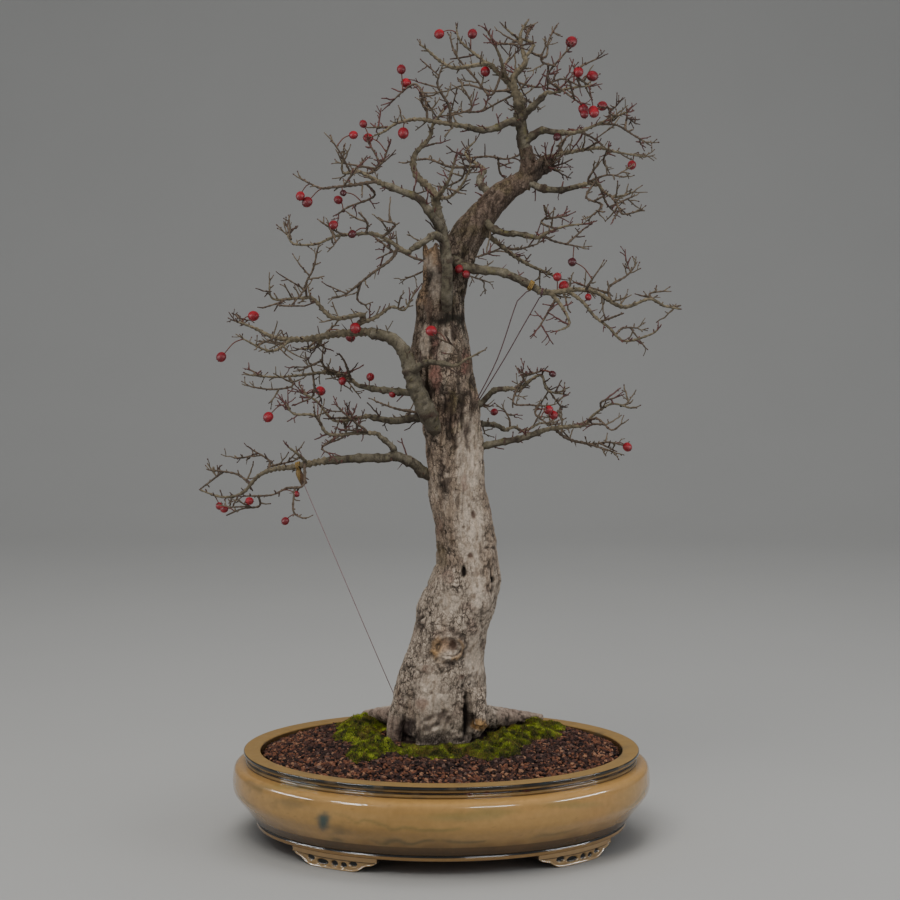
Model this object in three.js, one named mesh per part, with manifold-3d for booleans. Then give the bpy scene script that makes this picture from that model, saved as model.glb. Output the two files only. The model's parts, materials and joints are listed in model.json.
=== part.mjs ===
// Midland hawthorn bonsai, bare in winter with its last haws, in an oval glazed pot.
// Millimetres, +Z up. X runs along the pot, Y from its front to its back.
// The pot, the soil, the moss, the trunk and each bough are solids of their own.
// The rest of the crown is masses of bare twigs, which grow by one seeded rule.

import * as THREE from "three";
import Module from "manifold-3d";
import { mergeVertices } from "three/addons/utils/BufferGeometryUtils.js";

const wasm = await Module();
wasm.setup();

const degree = Math.PI / 180;
const clearance = 0.3;

// The pot
const rimHalfLength = 201.5;
const rimHalfWidth = 151.5;
const rimHeight = 92;
const rimWidth = 17;
const baseHeight = 15;
const floorHeight = 27;
const baseInset = 12.5;
const potSegments = 32;
const footLength = 96;
const footDepth = 24;
const footAngles = [-125, -43, 55, 137];
const drainRadius = 9;
const drainSpread = 85;

// The soil and the moss on it
const soilEdgeHeight = 87;
const soilTopHeight = 97;
const soilTop = { x: 5, y: 24, halfLength: 126, halfWidth: 92 };

// The wood
const groundHeight = soilTopHeight + clearance;
const trunkSides = 28;
const trunkDepthRatio = 0.88;
const swellStrength = { three: 0.02, five: 0.025, roots: 0.07 };
const trunkRingStep = 9.5;
const trunkStandStep = 19;
const flareHeight = 26;
const broadLumps = { size: 26, height: 2.2, seed: 41 };
const narrowLumps = { size: 13, height: 1.1, seed: 58 };
const thickBark = 18;
const knotSpot = [7, 200, -8];
const knot = { halfWidth: 17, halfHeight: 14, rise: 2.4, hollow: 3.4, depth: 16 };
const boughSides = 6;
const boughRingStep = 16;
const rootSides = 7;
const guySides = 5;
const guyStep = 90;

// The twigs
const twigSides = 3;
const twigStep = 22;
const twigTipRadius = 0.75;
const leastTwigRadius = 1.1;
const twigKink = 0.14;
const fanArms = 3;
const sideTwigChance = 0.36;
const sideTwigLength = [11, 27];
const sideTwigAngle = 58 * degree;
const mostForward = 0.9;
const mostBackward = -0.85;
const rootTries = 5;
const shortestParent = 6;
const neckLength = 4;
const twigRoom = 7;
const twigGap = 0.5;
const givingWay = [0, 7, -7, 14, -14, 21, -21];
const stalkRadius = 0.6;
const stalkLength = 1.8;
const longestStalk = 24;

// The front view that the limbs are measured in: an eye 2 m in front of the pot's middle, looking a little down.
// Across and up are read on the upright sheet through that middle, and depth is the true distance behind it.
const eye = { across: 8.7, distance: 2000, height: 609, up: 397, down: 6.05 * degree };

const potColour = 0xa58254;
const soilColour = 0x4b3431;
const mossColour = 0x6f8a2a;
const trunkColour = 0x9a9082;
const boughColour = 0x8a8474;
const twigColour = 0x6a5348;
const sleeveColour = 0xb9a04a;
const stringColour = 0x8d7f88;

const materials = {
  pot: new THREE.MeshStandardMaterial({ color: potColour, roughness: 0.2, metalness: 0 }),
  soil: new THREE.MeshStandardMaterial({ color: soilColour, roughness: 0.95, metalness: 0 }),
  moss: new THREE.MeshStandardMaterial({ color: mossColour, roughness: 1, metalness: 0 }),
  trunk: new THREE.MeshStandardMaterial({ color: trunkColour, roughness: 0.9, metalness: 0 }),
  bough: new THREE.MeshStandardMaterial({ color: boughColour, roughness: 0.85, metalness: 0 }),
  twigs: new THREE.MeshStandardMaterial({ color: twigColour, roughness: 0.8, metalness: 0 }),
  sleeve: new THREE.MeshStandardMaterial({ color: sleeveColour, roughness: 0.6, metalness: 0 }),
  string: new THREE.MeshStandardMaterial({ color: stringColour, roughness: 0.7, metalness: 0 }),
};

// The trunk's stations: across, up, depth and half width
const trunkStations = [
  [-6, 96, 28, 57],
  [-4, 112, 28, 53],
  [-2, 147, 28, 48],
  [3, 187, 29, 41],
  [7, 207, 29, 39],
  [14, 233, 28, 38],
  [21, 251, 27, 37],
  [26, 270, 26, 35],
  [27, 289, 25, 31],
  [22, 327, 22, 28.5],
  [15, 367, 19, 28.5],
  [12, 409, 16, 29],
  [8, 438, 13, 30],
  [3, 467, 12, 30],
  [0, 489, 11, 30],
  [-1, 509, 10, 28],
  [-1, 529, 10, 25],
  [1, 549, 10, 23],
  [7, 569, 11, 20.5],
  [15, 587, 13, 18.5],
  [23, 604, 15, 17.5],
  [31, 618, 17, 16.5],
  [40, 631, 18, 15],
  [50, 643, 19, 13.5],
  [62, 654, 20, 12],
  [76, 663, 20, 10.5],
  [90, 673, 20, 9.5],
  [103, 684, 20, 8],
  [108, 688, 20, 7],
];

// Ridges of root down the trunk's foot: which way each faces in degrees, its half width, how far it stands out and how
// far up it runs
const rootRidges = [
  [180, 20, 9, 16],
  [215, 13, 6, 20],
  [243, 12, 3, 26],
  [300, 14, 3, 20],
  [322, 11, 6, 22],
  [352, 16, 8, 20],
  [35, 16, 12, 22],
  [80, 18, 10, 24],
  [125, 15, 13, 20],
  [155, 14, 8, 16],
];

// Limbs that are one with the trunk: a dead stub beside its bend, the surface roots and a sawn root end
const trunkLimbs = [
  { thick: [19, 9], path: [[-1, 530, 9], [-4, 562, 6], [-7, 584, 5], [-8, 596, 6]] },
  { thick: [17, 4], path: [[14, 134, 26], [44, 130, 42], [70, 130, 62], [100, 129, 82]] },
  { thick: [17, 5], path: [[-16, 134, 34], [-46, 132, 62], [-76, 132, 94]] },
  { thick: [5.5, 5], path: [[34, 114, 8], [44, 126, 6]] },
  { thick: [20, 6], path: [[5, 130, 40], [8, 128, 78], [14, 130, 112]] },
];

// Boughs: what each leaves, its half thickness from root to tip, and its way as across, up and depth
const boughs = [
  { name: "bough_left_low", on: "trunk", thick: [5.8, 3.6],
    path: [[2, 366, 18], [-17, 374, 12], [-27, 383, 6], [-46, 391, -2], [-56, 389, -5], [-79, 389, -12],
      [-116, 386, -18]] },
  { name: "bough_left_fifth", on: "bough_left_low", thick: [3, 2.4],
    path: [[-46, 391, -2], [-49, 400, -6], [-62, 411, -12]] },
  { name: "bough_left_fourth", on: "trunk", thick: [4.2, 2.8],
    path: [[-4, 427, 20], [-24, 429, 32], [-47, 426, 46], [-70, 430, 56]] },
  { name: "bough_left_third", on: "trunk", thick: [4, 2.6],
    path: [[-4, 449, 16], [-31, 454, 24], [-67, 458, 33], [-80, 461, 36]] },
  { name: "bough_left_mid", on: "trunk", thick: [11, 4.8],
    path: [[0, 412, 4], [-13, 432, -9], [-22, 452, -15], [-30, 474, -18], [-38, 496, -18], [-51, 509, -16],
      [-70, 514, -13]] },
  { name: "bough_front_stub", on: "bough_left_mid", thick: [4, 2.2],
    path: [[-30, 474, -18], [-22, 481, -31], [-11, 485, -38], [9, 482, -42]] },
  { name: "bough_right_low", on: "trunk", thick: [4, 2.6],
    path: [[20, 397, 18], [42, 401, 12], [61, 405, 8], [81, 409, 2], [101, 416, -3]] },
  { name: "bough_right_second", on: "trunk", thick: [3.4, 2.2],
    path: [[20, 424, 22], [41, 423, 34], [54, 422, 46], [62, 418, 56]] },
  { name: "bough_right_third", on: "trunk", thick: [3.6, 2.4],
    path: [[18, 436, 12], [40, 444, 6], [52, 456, 0], [65, 458, -6]] },
  { name: "bough_right_mid", on: "trunk", thick: [5.4, 3.4],
    path: [[12, 590, 8], [21, 581, -10], [40, 577, -18], [59, 575, -22], [81, 566, -24], [97, 557, -24]] },
  { name: "bough_right_upper", on: "trunk", thick: [3.6, 2.3],
    path: [[40, 630, 16], [51, 619, 4], [63, 614, -2], [77, 613, -6], [93, 610, -9]] },
  { name: "bough_front", on: "trunk", thick: [7, 5.2],
    path: [[5, 532, 0], [6, 548, -15], [6, 570, -20], [5, 589, -23], [2, 612, -23], [-4, 637, -20]] },
  { name: "bough_upper_left", on: "bough_front", thick: [4.6, 3],
    path: [[1, 617, -23], [-12, 635, -33], [-22, 648, -33], [-40, 656, -32], [-56, 662, -30]] },
  { name: "bough_upper_left_low", on: "bough_front", thick: [3.8, 2.6],
    path: [[3, 606, -23], [-7, 612, -34], [-16, 606, -40], [-31, 597, -43]] },
  { name: "bough_top", on: "trunk", thick: [6.6, 5],
    path: [[85, 669, 20], [87, 684, 16], [82, 706, 12], [79, 729, 8], [77, 742, 6]] },
  { name: "bough_top_left", on: "bough_top", thick: [3.8, 2.7],
    path: [[80, 722, 9], [69, 725, -3], [54, 719, -8], [40, 717, -11], [26, 720, -13]] },
  { name: "bough_top_right", on: "bough_top", thick: [3.8, 2.4],
    path: [[80, 730, 8], [92, 741, -5], [103, 752, -10]] },
  { name: "bough_right_top", on: "bough_top", thick: [3.6, 2.4],
    path: [[83, 704, 12], [99, 716, 4], [112, 715, 0], [127, 714, -3]] },
  { name: "bough_right_crown", on: "trunk", thick: [3.8, 2.4],
    path: [[84, 667, 20], [100, 659, 12], [119, 657, 5], [137, 661, 0]] },
  { name: "bough_back_low", on: "trunk", thick: [4.6, 2.8],
    path: [[12, 409, 16], [6, 416, 52], [-6, 424, 80], [-12, 430, 108]] },
  { name: "bough_back_mid", on: "trunk", thick: [4.8, 2.8],
    path: [[1, 549, 10], [8, 560, 46], [2, 572, 76], [8, 578, 104]] },
  { name: "bough_back_upper", on: "trunk", thick: [4.6, 2.8],
    path: [[50, 643, 19], [46, 656, 46], [38, 664, 70], [42, 676, 92]] },
  { name: "bough_top_back", on: "bough_top", thick: [3.8, 2.5],
    path: [[82, 709, 11], [76, 730, 30], [82, 745, 50], [78, 752, 68]] },
];

// Masses of twigs: the limb each meets, how far its twigs fan forward and back, its measured arms as
// across, up and depth, and its haws as across, up and radius
const masses = [
  { name: "twigs_left_low", on: "bough_left_low", seed: 11, fan: 52,
    arms: [
      [[-148, 380, -12], [-183, 371, 0], [-199, 354, 6], [-219, 350, 10], [-241, 357, 12]],
      [[-205, 373, 18], [-232, 377, 26]],
      [[-172, 386, 18], [-189, 397, 24]],
      [[-140, 390, -26], [-153, 400, -34]],
      [[-138, 362, -32], [-170, 352, -42], [-196, 351, -48]],
      [[-148, 336, -50], [-139, 329, -54]],
      [[-182, 341, -34], [-214, 332, -24]],
    ],
    haws: [[-222, 341, 3.8], [-217, 338, 3.8], [-192, 346, 3.8], [-156, 326, 4], [-145, 353, 3.2]] },
  { name: "twigs_left_fifth", on: "bough_left_fifth", seed: 12, fan: 26,
    arms: [
      [[-84, 414, -18], [-113, 413, -24], [-126, 431, -26], [-147, 433, -28], [-156, 443, -30]],
      [[-119, 400, -30], [-113, 394, -34]],
      [[-76, 417, -22], [-93, 430, -36], [-104, 441, -42]],
    ],
    haws: [[-173, 430, 5]] },
  { name: "twigs_left_fourth", on: "bough_left_fourth", seed: 13, fan: 34,
    arms: [
      [[-88, 428, 62], [-108, 427, 70], [-125, 446, 78], [-142, 455, 84]],
      [[-96, 412, 80], [-112, 404, 92]],
    ],
    haws: [[-121, 456, 5]] },
  { name: "twigs_left_third", on: "bough_left_third", seed: 14, fan: 38,
    arms: [
      [[-96, 471, 38], [-139, 472, 42], [-166, 470, 40], [-192, 472, 38]],
      [[-149, 461, 28], [-189, 460, 20]],
      [[-118, 482, 30], [-119, 492, 26]],
      [[-96, 484, 20], [-101, 492, 14]],
      [[-128, 452, 30], [-142, 444, 24]],
    ],
    haws: [[-99, 466, 4]] },
  { name: "twigs_left_mid", on: "bough_left_mid", seed: 15, fan: 62,
    arms: [
      [[-106, 513, -10], [-134, 508, -8], [-165, 509, -4], [-187, 519, 0], [-206, 526, 4]],
      [[-78, 532, -20], [-108, 529, -28], [-128, 548, -34], [-141, 549, -38], [-168, 548, -42], [-172, 563, -44]],
      [[-163, 542, -60], [-137, 541, -54]],
      [[-170, 496, -22], [-198, 508, -30]],
      [[-125, 500, 14], [-142, 498, 26]],
      [[-135, 564, -46], [-128, 578, -50], [-124, 597, -52]],
      [[-50, 540, -26], [-37, 537, -30], [-29, 550, -32]],
    ],
    haws: [[-188, 531, 5.2], [-86, 519, 5.4], [-91, 510, 5]] },
  { name: "twigs_front", on: "bough_front_stub", seed: 16, fan: 0,
    arms: [
      [[26, 488, -46], [41, 496, -50]],
      [[14, 500, -50], [-2, 508, -52]],
    ],
    haws: [[-10, 516, 5.2]] },
  { name: "twigs_right_low", on: "bough_right_low", seed: 17, fan: 46,
    arms: [
      [[121, 420, -8], [143, 422, -12], [151, 431, -14], [170, 443, -16], [189, 439, -18]],
      [[160, 445, -28], [173, 449, -34]],
      [[157, 428, -32], [170, 417, -42], [180, 423, -48]],
      [[127, 408, 8], [150, 403, 20], [181, 402, 28]],
      [[160, 399, 4], [172, 395, -2]],
    ],
    haws: [[186, 400, 4.8]] },
  { name: "twigs_right_second", on: "bough_right_second", seed: 18, fan: 30,
    arms: [
      [[73, 420, 64], [83, 416, 72], [100, 424, 82], [112, 420, 94]],
      [[68, 428, 70], [63, 437, 78]],
    ],
    haws: [[53, 435, 3.8]] },
  { name: "twigs_right_third", on: "bough_right_third", seed: 19, fan: 30,
    arms: [
      [[78, 459, -10], [99, 472, -14], [106, 457, -18], [122, 453, -22]],
      [[82, 466, -14], [81, 475, -18]],
      [[72, 444, -26], [89, 442, -34], [105, 441, -40]],
      [[94, 433, -44], [105, 424, -50]],
      [[113, 449, -8], [119, 441, 0]],
    ],
    haws: [[111, 473, 3.2], [107, 437, 4.4], [112, 432, 4.4]] },
  { name: "twigs_right_mid", on: "bough_right_mid", seed: 20, fan: 60,
    arms: [
      [[116, 555, -25], [156, 554, -22], [182, 540, -16], [208, 548, -10], [239, 538, -4]],
      [[168, 560, -10], [185, 571, -2], [193, 580, 4]],
      [[146, 560, -32], [156, 575, -38]],
      [[208, 553, 2], [223, 556, 8]],
      [[153, 531, -34], [167, 520, -40], [183, 506, -46], [208, 512, -50], [216, 517, -54]],
      [[128, 523, -44], [116, 516, -52]],
      [[107, 535, -30], [98, 520, -34]],
      [[182, 519, -30], [196, 519, -22]],
    ],
    haws: [[123, 561, 5.2], [131, 585, 4], [147, 550, 3.2]] },
  { name: "twigs_right_hanging", on: "trunk", seed: 21, fan: 0,
    arms: [
      [[36, 620, 17], [54, 606, 30], [73, 591, 38], [90, 581, 44], [107, 574, 50], [116, 569, 56]],
      [[78, 598, 60], [96, 603, 78]],
    ],
    haws: [] },
  { name: "twigs_right_upper", on: "bough_right_upper", seed: 22, fan: 40,
    arms: [
      [[107, 615, -12], [125, 621, -16], [143, 623, -20]],
      [[112, 606, -2], [139, 600, 8]],
      [[100, 624, -30], [108, 632, -44]],
    ],
    haws: [] },
  { name: "twigs_upper_mid", on: "bough_front", seed: 23, fan: 30,
    arms: [
      [[-8, 655, -10], [-25, 672, -6], [-27, 691, -6], [-12, 709, -6], [-8, 723, -4], [3, 737, -2]],
      [[-2, 652, -34], [8, 668, -48], [14, 690, -58]],
      [[8, 650, -10], [22, 664, -16], [30, 684, -22]],
    ],
    haws: [] },
  { name: "twigs_upper_left", on: "bough_upper_left", seed: 24, fan: 46,
    arms: [
      [[-68, 668, -30], [-84, 676, -32], [-98, 674, -34], [-99, 688, -36]],
      [[-88, 662, -44], [-107, 660, -50], [-121, 659, -54], [-140, 668, -58]],
      [[-67, 651, -16], [-93, 640, -10], [-103, 633, -6]],
      [[-62, 680, -24], [-65, 691, -20], [-74, 706, -16]],
      [[-101, 694, -44], [-109, 706, -48]],
      [[-58, 686, -14], [-52, 703, -8]],
    ],
    haws: [[-78, 723, 3.8], [-88, 712, 4.2], [-73, 709, 4.8], [-141, 651, 4.5], [-134, 645, 5], [-103, 647, 4.2],
      [-98, 654, 3.2]] },
  { name: "twigs_upper_left_low", on: "bough_upper_left_low", seed: 25, fan: 36,
    arms: [
      [[-52, 606, -47], [-67, 613, -50], [-84, 613, -52], [-125, 603, -50], [-147, 603, -48], [-154, 612, -46]],
      [[-50, 588, -44], [-70, 573, -42], [-91, 556, -40], [-99, 551, -40]],
      [[-84, 548, -34], [-76, 542, -30]],
      [[-104, 615, -60], [-120, 625, -66]],
      [[-74, 624, -60], [-82, 634, -68]],
      [[-46, 622, -58], [-58, 626, -64]],
    ],
    haws: [[-108, 622, 4.6], [-89, 613, 4]] },
  { name: "twigs_top_left", on: "bough_top_left", seed: 26, fan: 44,
    arms: [
      [[-4, 725, -16], [-44, 724, -20], [-58, 715, -22], [-66, 712, -24]],
      [[8, 740, -22], [0, 754, -28], [-4, 764, -32], [0, 778, -36]],
      [[-16, 746, -14], [-27, 763, -8], [-50, 745, -2]],
      [[30, 739, -22], [24, 756, -30]],
      [[40, 736, -2], [46, 746, 4]],
      [[-20, 748, -30], [-7, 752, -42]],
    ],
    haws: [[-40, 777.5, 4.6], [-35, 764, 4.6], [-38, 714, 5.5]] },
  { name: "twigs_top", on: "bough_top", seed: 27, fan: 58,
    arms: [
      [[72, 768, 4], [84, 784, 4], [82, 793, 6], [79, 812, 8], [87, 827, 10]],
      [[56, 775, 0], [46, 783, -6], [14, 779, -14], [-15, 798, -18], [-21, 802, -20]],
      [[40, 788, 6], [19, 806, 12], [15, 821, 16]],
      [[58, 792, -12], [46, 816, -20]],
      [[50, 752, 20], [33, 770, 26], [15, 791, 30], [9, 809, 34]],
      [[92, 803, 14], [62, 821, 14]],
      [[104, 790, 18], [115, 821, 24]],
    ],
    haws: [[-2, 813, 4.8], [31, 813, 4.8], [44, 775.5, 4.8]] },
  { name: "twigs_top_right", on: "bough_top_right", seed: 28, fan: 48,
    arms: [
      [[112, 754, -12], [129, 759, -16], [149, 761, -20]],
      [[106, 770, -16], [122, 792, -22], [129, 799, -26]],
      [[136, 777, -26], [155, 788, -32]],
      [[130, 750, -26], [136, 746, -32]],
      [[100, 786, -24], [104, 800, -30]],
    ],
    haws: [[130, 805, 5.3], [137, 775, 5], [151, 771, 5.3], [142, 738, 5], [152, 736, 5]] },
  { name: "twigs_right_top", on: "bough_right_top", seed: 29, fan: 40,
    arms: [
      [[145, 718, -6], [166, 727, -10], [186, 735, -14]],
      [[175, 722, 0], [192, 712, 6], [204, 705, 10]],
      [[150, 710, 8], [157, 705, 14]],
      [[120, 730, -14], [112, 735, -24]],
      [[168, 734, -22], [175, 741, -30]],
    ],
    haws: [[116, 710.5, 3.6]] },
  { name: "twigs_trunk_tip", on: "trunk", seed: 30, fan: 40,
    arms: [
      [[100, 682, 20], [116, 692, 26], [129, 695, 30], [157, 699, 36], [175, 695, 40], [203, 690, 44]],
      [[162, 686, 50], [166, 679, 56]],
      [[118, 702, 40], [128, 712, 54]],
    ],
    haws: [[190.5, 682, 4.5]] },
  { name: "twigs_right_crown", on: "bough_right_crown", seed: 31, fan: 42,
    arms: [
      [[155, 664, -4], [163, 655, -8], [174, 650, -12], [192, 655, -16]],
      [[147, 668, -6], [154, 679, -10]],
      [[165, 644, 6], [172, 636, 12]],
      [[176, 642, -24], [181, 633, -30], [194, 635, -36]],
      [[166, 672, -16], [182, 670, -22]],
      [[145, 650, -20], [161, 642, -30], [150, 631, -36]],
    ],
    haws: [] },
  { name: "twigs_back_low", on: "bough_back_low", seed: 32, fan: 0,
    arms: [
      [[-20, 436, 128], [-14, 442, 150], [-26, 448, 168]],
      [[-44, 438, 124], [-66, 446, 136]],
      [[10, 438, 132], [32, 444, 146], [44, 440, 158]],
      [[-36, 430, 150], [-52, 426, 166]],
      [[-6, 422, 142], [14, 418, 160]],
    ],
    haws: [] },
  { name: "twigs_back_mid", on: "bough_back_mid", seed: 33, fan: 0,
    arms: [
      [[2, 586, 122], [10, 592, 142], [-2, 600, 160]],
      [[-24, 588, 118], [-44, 596, 132], [-60, 590, 142]],
      [[34, 590, 122], [56, 596, 136], [74, 592, 146]],
      [[-18, 576, 134], [-36, 568, 152]],
      [[24, 574, 136], [44, 566, 152]],
    ],
    haws: [] },
  { name: "twigs_back_upper", on: "bough_back_upper", seed: 34, fan: 0,
    arms: [
      [[34, 684, 106], [24, 694, 122], [34, 706, 134]],
      [[10, 680, 100], [-14, 688, 110], [-36, 684, 118]],
      [[66, 688, 100], [86, 694, 112], [104, 688, 124]],
      [[20, 668, 116], [4, 660, 132]],
      [[60, 672, 116], [76, 664, 132]],
    ],
    haws: [] },
  { name: "twigs_top_back", on: "bough_top_back", seed: 35, fan: 0,
    arms: [
      [[72, 762, 80], [62, 776, 92], [68, 790, 102]],
      [[50, 756, 76], [26, 762, 86], [6, 756, 96]],
      [[100, 760, 76], [120, 768, 88], [136, 762, 98]],
      [[84, 748, 88], [96, 740, 106]],
      [[56, 744, 90], [42, 736, 106]],
    ],
    haws: [] },
];

// A string from a sleeve under the low left bough down to the soil, and two from the right bough to the trunk
const guys = [
  { name: "guy_sleeve_left", slot: "sleeve", thick: 3.6, path: [[-142, 373, -14], [-137, 363, -12]] },
  { name: "guy_string_left", slot: "string", thick: 0.6, path: [[-137, 362, -12], [-58, 177, 60], [-32, 119, 100]] },
  { name: "guy_string_right_upper", slot: "string", thick: 0.6,
    path: [[85, 555, -24], [76, 546, -22], [56, 488, -12], [32, 441, 4]] },
  { name: "guy_string_right_lower", slot: "string", thick: 0.6,
    path: [[98, 549, -20], [79, 516, -12], [63, 488, -2], [34, 441, 12]] },
];

// Turns a place in the front view into millimetres.
function place([across, up, depth]) {
  const rightward = (across - eye.across) / eye.distance;
  const upward = (up - eye.up) / eye.distance;
  const sine = Math.sin(eye.down);
  const cosine = Math.cos(eye.down);
  const forward = cosine + upward * sine;
  const rise = upward * cosine - sine;
  const run = (depth + eye.distance) / forward;
  return new THREE.Vector3(eye.across + rightward * run, depth, eye.height + rise * run);
}

// A repeatable row of numbers from 0 to 1.
function numbers(seed) {
  let state = seed >>> 0;
  return () => {
    state = (state + 0x6d2b79f5) >>> 0;
    let mixed = Math.imul(state ^ (state >>> 15), state | 1);
    mixed ^= mixed + Math.imul(mixed ^ (mixed >>> 7), mixed | 61);
    return ((mixed ^ (mixed >>> 14)) >>> 0) / 4294967296;
  };
}

// A repeatable number from 0 to 1 for a whole-numbered cell.
function hashed(x, y, z, seed) {
  let mixed = Math.imul(x, 73856093) ^ Math.imul(y, 19349663) ^ Math.imul(z, 83492791) ^ Math.imul(seed, 374761393);
  for (let k = 0; k < 2; k += 1) {
    mixed = Math.imul(mixed ^ (mixed >>> 16), 0x45d9f3b);
  }
  return ((mixed ^ (mixed >>> 16)) >>> 0) / 4294967296;
}

// Smooth noise from -1 to 1 with bumps about that size.
function noise(point, { size, seed }) {
  const scaled = point.toArray().map((value) => value / size);
  const base = scaled.map(Math.floor);
  const part = scaled.map((value, k) => value - base[k]).map((t) => t * t * (3 - 2 * t));
  let total = 0;
  for (let corner = 0; corner < 8; corner += 1) {
    const step = [corner & 1, (corner >> 1) & 1, corner >> 2];
    const weight = step.reduce((product, one, k) => product * (one ? part[k] : 1 - part[k]), 1);
    total += weight * hashed(base[0] + step[0], base[1] + step[1], base[2] + step[2], seed);
  }
  return 2 * total - 1;
}

// Joins rings of equally many points into one closed geometry with flat ends.
function skin(rings) {
  const sides = rings[0].length;
  const corners = [];
  for (const ring of rings) {
    for (const point of ring) {
      corners.push(point.x, point.y, point.z);
    }
  }
  const faces = [];
  for (let r = 0; r + 1 < rings.length; r += 1) {
    for (let k = 0; k < sides; k += 1) {
      const a = r * sides + k;
      const b = r * sides + ((k + 1) % sides);
      faces.push(a, b, b + sides, a, b + sides, a + sides);
    }
  }
  const last = (rings.length - 1) * sides;
  for (let k = 1; k + 1 < sides; k += 1) {
    faces.push(0, k + 1, k, last, last + k, last + k + 1);
  }
  const geometry = new THREE.BufferGeometry();
  geometry.setAttribute("position", new THREE.Float32BufferAttribute(corners, 3));
  geometry.setIndex(faces);
  return geometry;
}

// Makes a solid of a closed geometry.
function solid(geometry) {
  const bare = geometry.clone();
  bare.deleteAttribute("normal");
  bare.deleteAttribute("uv");
  const merged = mergeVertices(bare, 1e-4);
  const mesh = new wasm.Mesh({
    numProp: 3,
    vertProperties: new Float32Array(merged.attributes.position.array),
    triVerts: new Uint32Array(merged.index.array),
  });
  return new wasm.Manifold(mesh);
}

// Joins solids and keeps the largest body.
function fused(pieces) {
  const whole = pieces.reduce((sum, piece) => sum.add(piece));
  return whole.decompose().sort((a, b) => b.volume() - a.volume())[0];
}

// Gives a solid back as a mesh with a name.
function named(name, whole, material) {
  const { vertProperties, triVerts } = whole.getMesh();
  const geometry = new THREE.BufferGeometry();
  geometry.setAttribute("position", new THREE.BufferAttribute(new Float32Array(vertProperties), 3));
  geometry.setIndex(new THREE.BufferAttribute(new Uint32Array(triVerts), 1));
  geometry.computeVertexNormals();
  const mesh = new THREE.Mesh(geometry, material);
  mesh.name = name;
  return mesh;
}

// Rings square to a path of points, each turned as little as it can be from the last.
function ringsAlong(points, radiusAt, sides, depthRatio = 1, firstSide = new THREE.Vector3(1, 0, 0)) {
  const rings = [];
  let side = firstSide.clone();
  for (let i = 0; i < points.length; i += 1) {
    const before = points[Math.max(i - 1, 0)];
    const after = points[Math.min(i + 1, points.length - 1)];
    const along = after.clone().sub(before).normalize();
    side.addScaledVector(along, -side.dot(along));
    if (side.length() < 0.2) {
      side = new THREE.Vector3(0, 1, 0).addScaledVector(along, -along.y);
    }
    side = side.clone().normalize();
    const other = along.clone().cross(side);
    const ring = [];
    for (let k = 0; k < sides; k += 1) {
      const angle = (2 * Math.PI * k) / sides;
      const radius = radiusAt(i, angle);
      ring.push(points[i].clone()
        .addScaledVector(side, radius * Math.cos(angle))
        .addScaledVector(other, radius * depthRatio * Math.sin(angle)));
    }
    rings.push(ring);
  }
  return rings;
}

// A smooth curve through rows of numbers: the row at a place counted in rows.
function through(rows, at) {
  const i = Math.min(Math.floor(at), rows.length - 2);
  const t = at - i;
  const before = rows[Math.max(i - 1, 0)];
  const after = rows[Math.min(i + 2, rows.length - 1)];
  return rows[i].map((from, k) => {
    const to = rows[i + 1][k];
    const pull = (to - before[k]) / 2;
    const push = (after[k] - from) / 2;
    const rest = to - from;
    return from + t * (pull + t * (3 * rest - 2 * pull - push + t * (pull + push - 2 * rest)));
  });
}

// Points a step apart along a measured way, each with its part of the way gone.
function stepped(way, step) {
  const rows = way.map((point) => place(point).toArray());
  const points = [];
  const counts = rows.slice(1).map((row, i) => {
    const length = new THREE.Vector3(...row).distanceTo(new THREE.Vector3(...rows[i]));
    return Math.max(1, Math.round(length / step));
  });
  counts.forEach((count, i) => {
    for (let k = 0; k < count; k += 1) {
      points.push(new THREE.Vector3(...through(rows, i + k / count)));
    }
  });
  points.push(new THREE.Vector3(...rows[rows.length - 1]));
  return points;
}

function mix(from, to, part) {
  return from + (to - from) * part;
}

// One tapering limb; more adds to its thickness all along.
function limb({ path, thick }, sides, step, more = 0) {
  const points = stepped(path, step);
  const last = points.length - 1;
  const radii = points.map((_, i) => mix(thick[0], thick[1], i / last) + more);
  return { points, radii, shape: solid(skin(ringsAlong(points, (i) => radii[i], sides))) };
}

// An oval ring at an inset from the rim's outline.
function ovalRing(outset, height) {
  const ring = [];
  for (let k = 0; k < potSegments; k += 1) {
    const angle = (2 * Math.PI * k) / potSegments;
    ring.push(new THREE.Vector3(
      (rimHalfLength + outset) * Math.cos(angle),
      (rimHalfWidth + outset) * Math.sin(angle),
      height,
    ));
  }
  return ring;
}

// The hollow that the soil fills, as outset from the rim's outline and height
const hollow = [
  [-28, floorHeight],
  [-17, 31],
  [-6, 42],
  [-1, 56],
  [-3, 68],
  [-12, 79],
  [-rimWidth - 2, 85],
];

// The pot's outside from its base to the rim: belly, a sunk neck with a groove between two beads, and the rim's face
const outside = [
  [-baseInset, baseHeight],
  [-baseInset, baseHeight + 5],
  [-11.2, 21.6],
  [-8.1, 26],
  [-3.9, 32],
  [2.4, 40],
  [9, 48],
  [11.3, 53.5],
  [11.8, 60],
  [11.2, 68],
  [10.1, 74.4],
  [8.3, 77.2],
  [5, 78.9],
  [-2.2, 79.6],
  [-1.7, 83],
  [-3.5, 84.4],
  [-1.8, 87.8],
  [0, 88.5],
  [0, 91.2],
  [-1, rimHeight],
];

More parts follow.
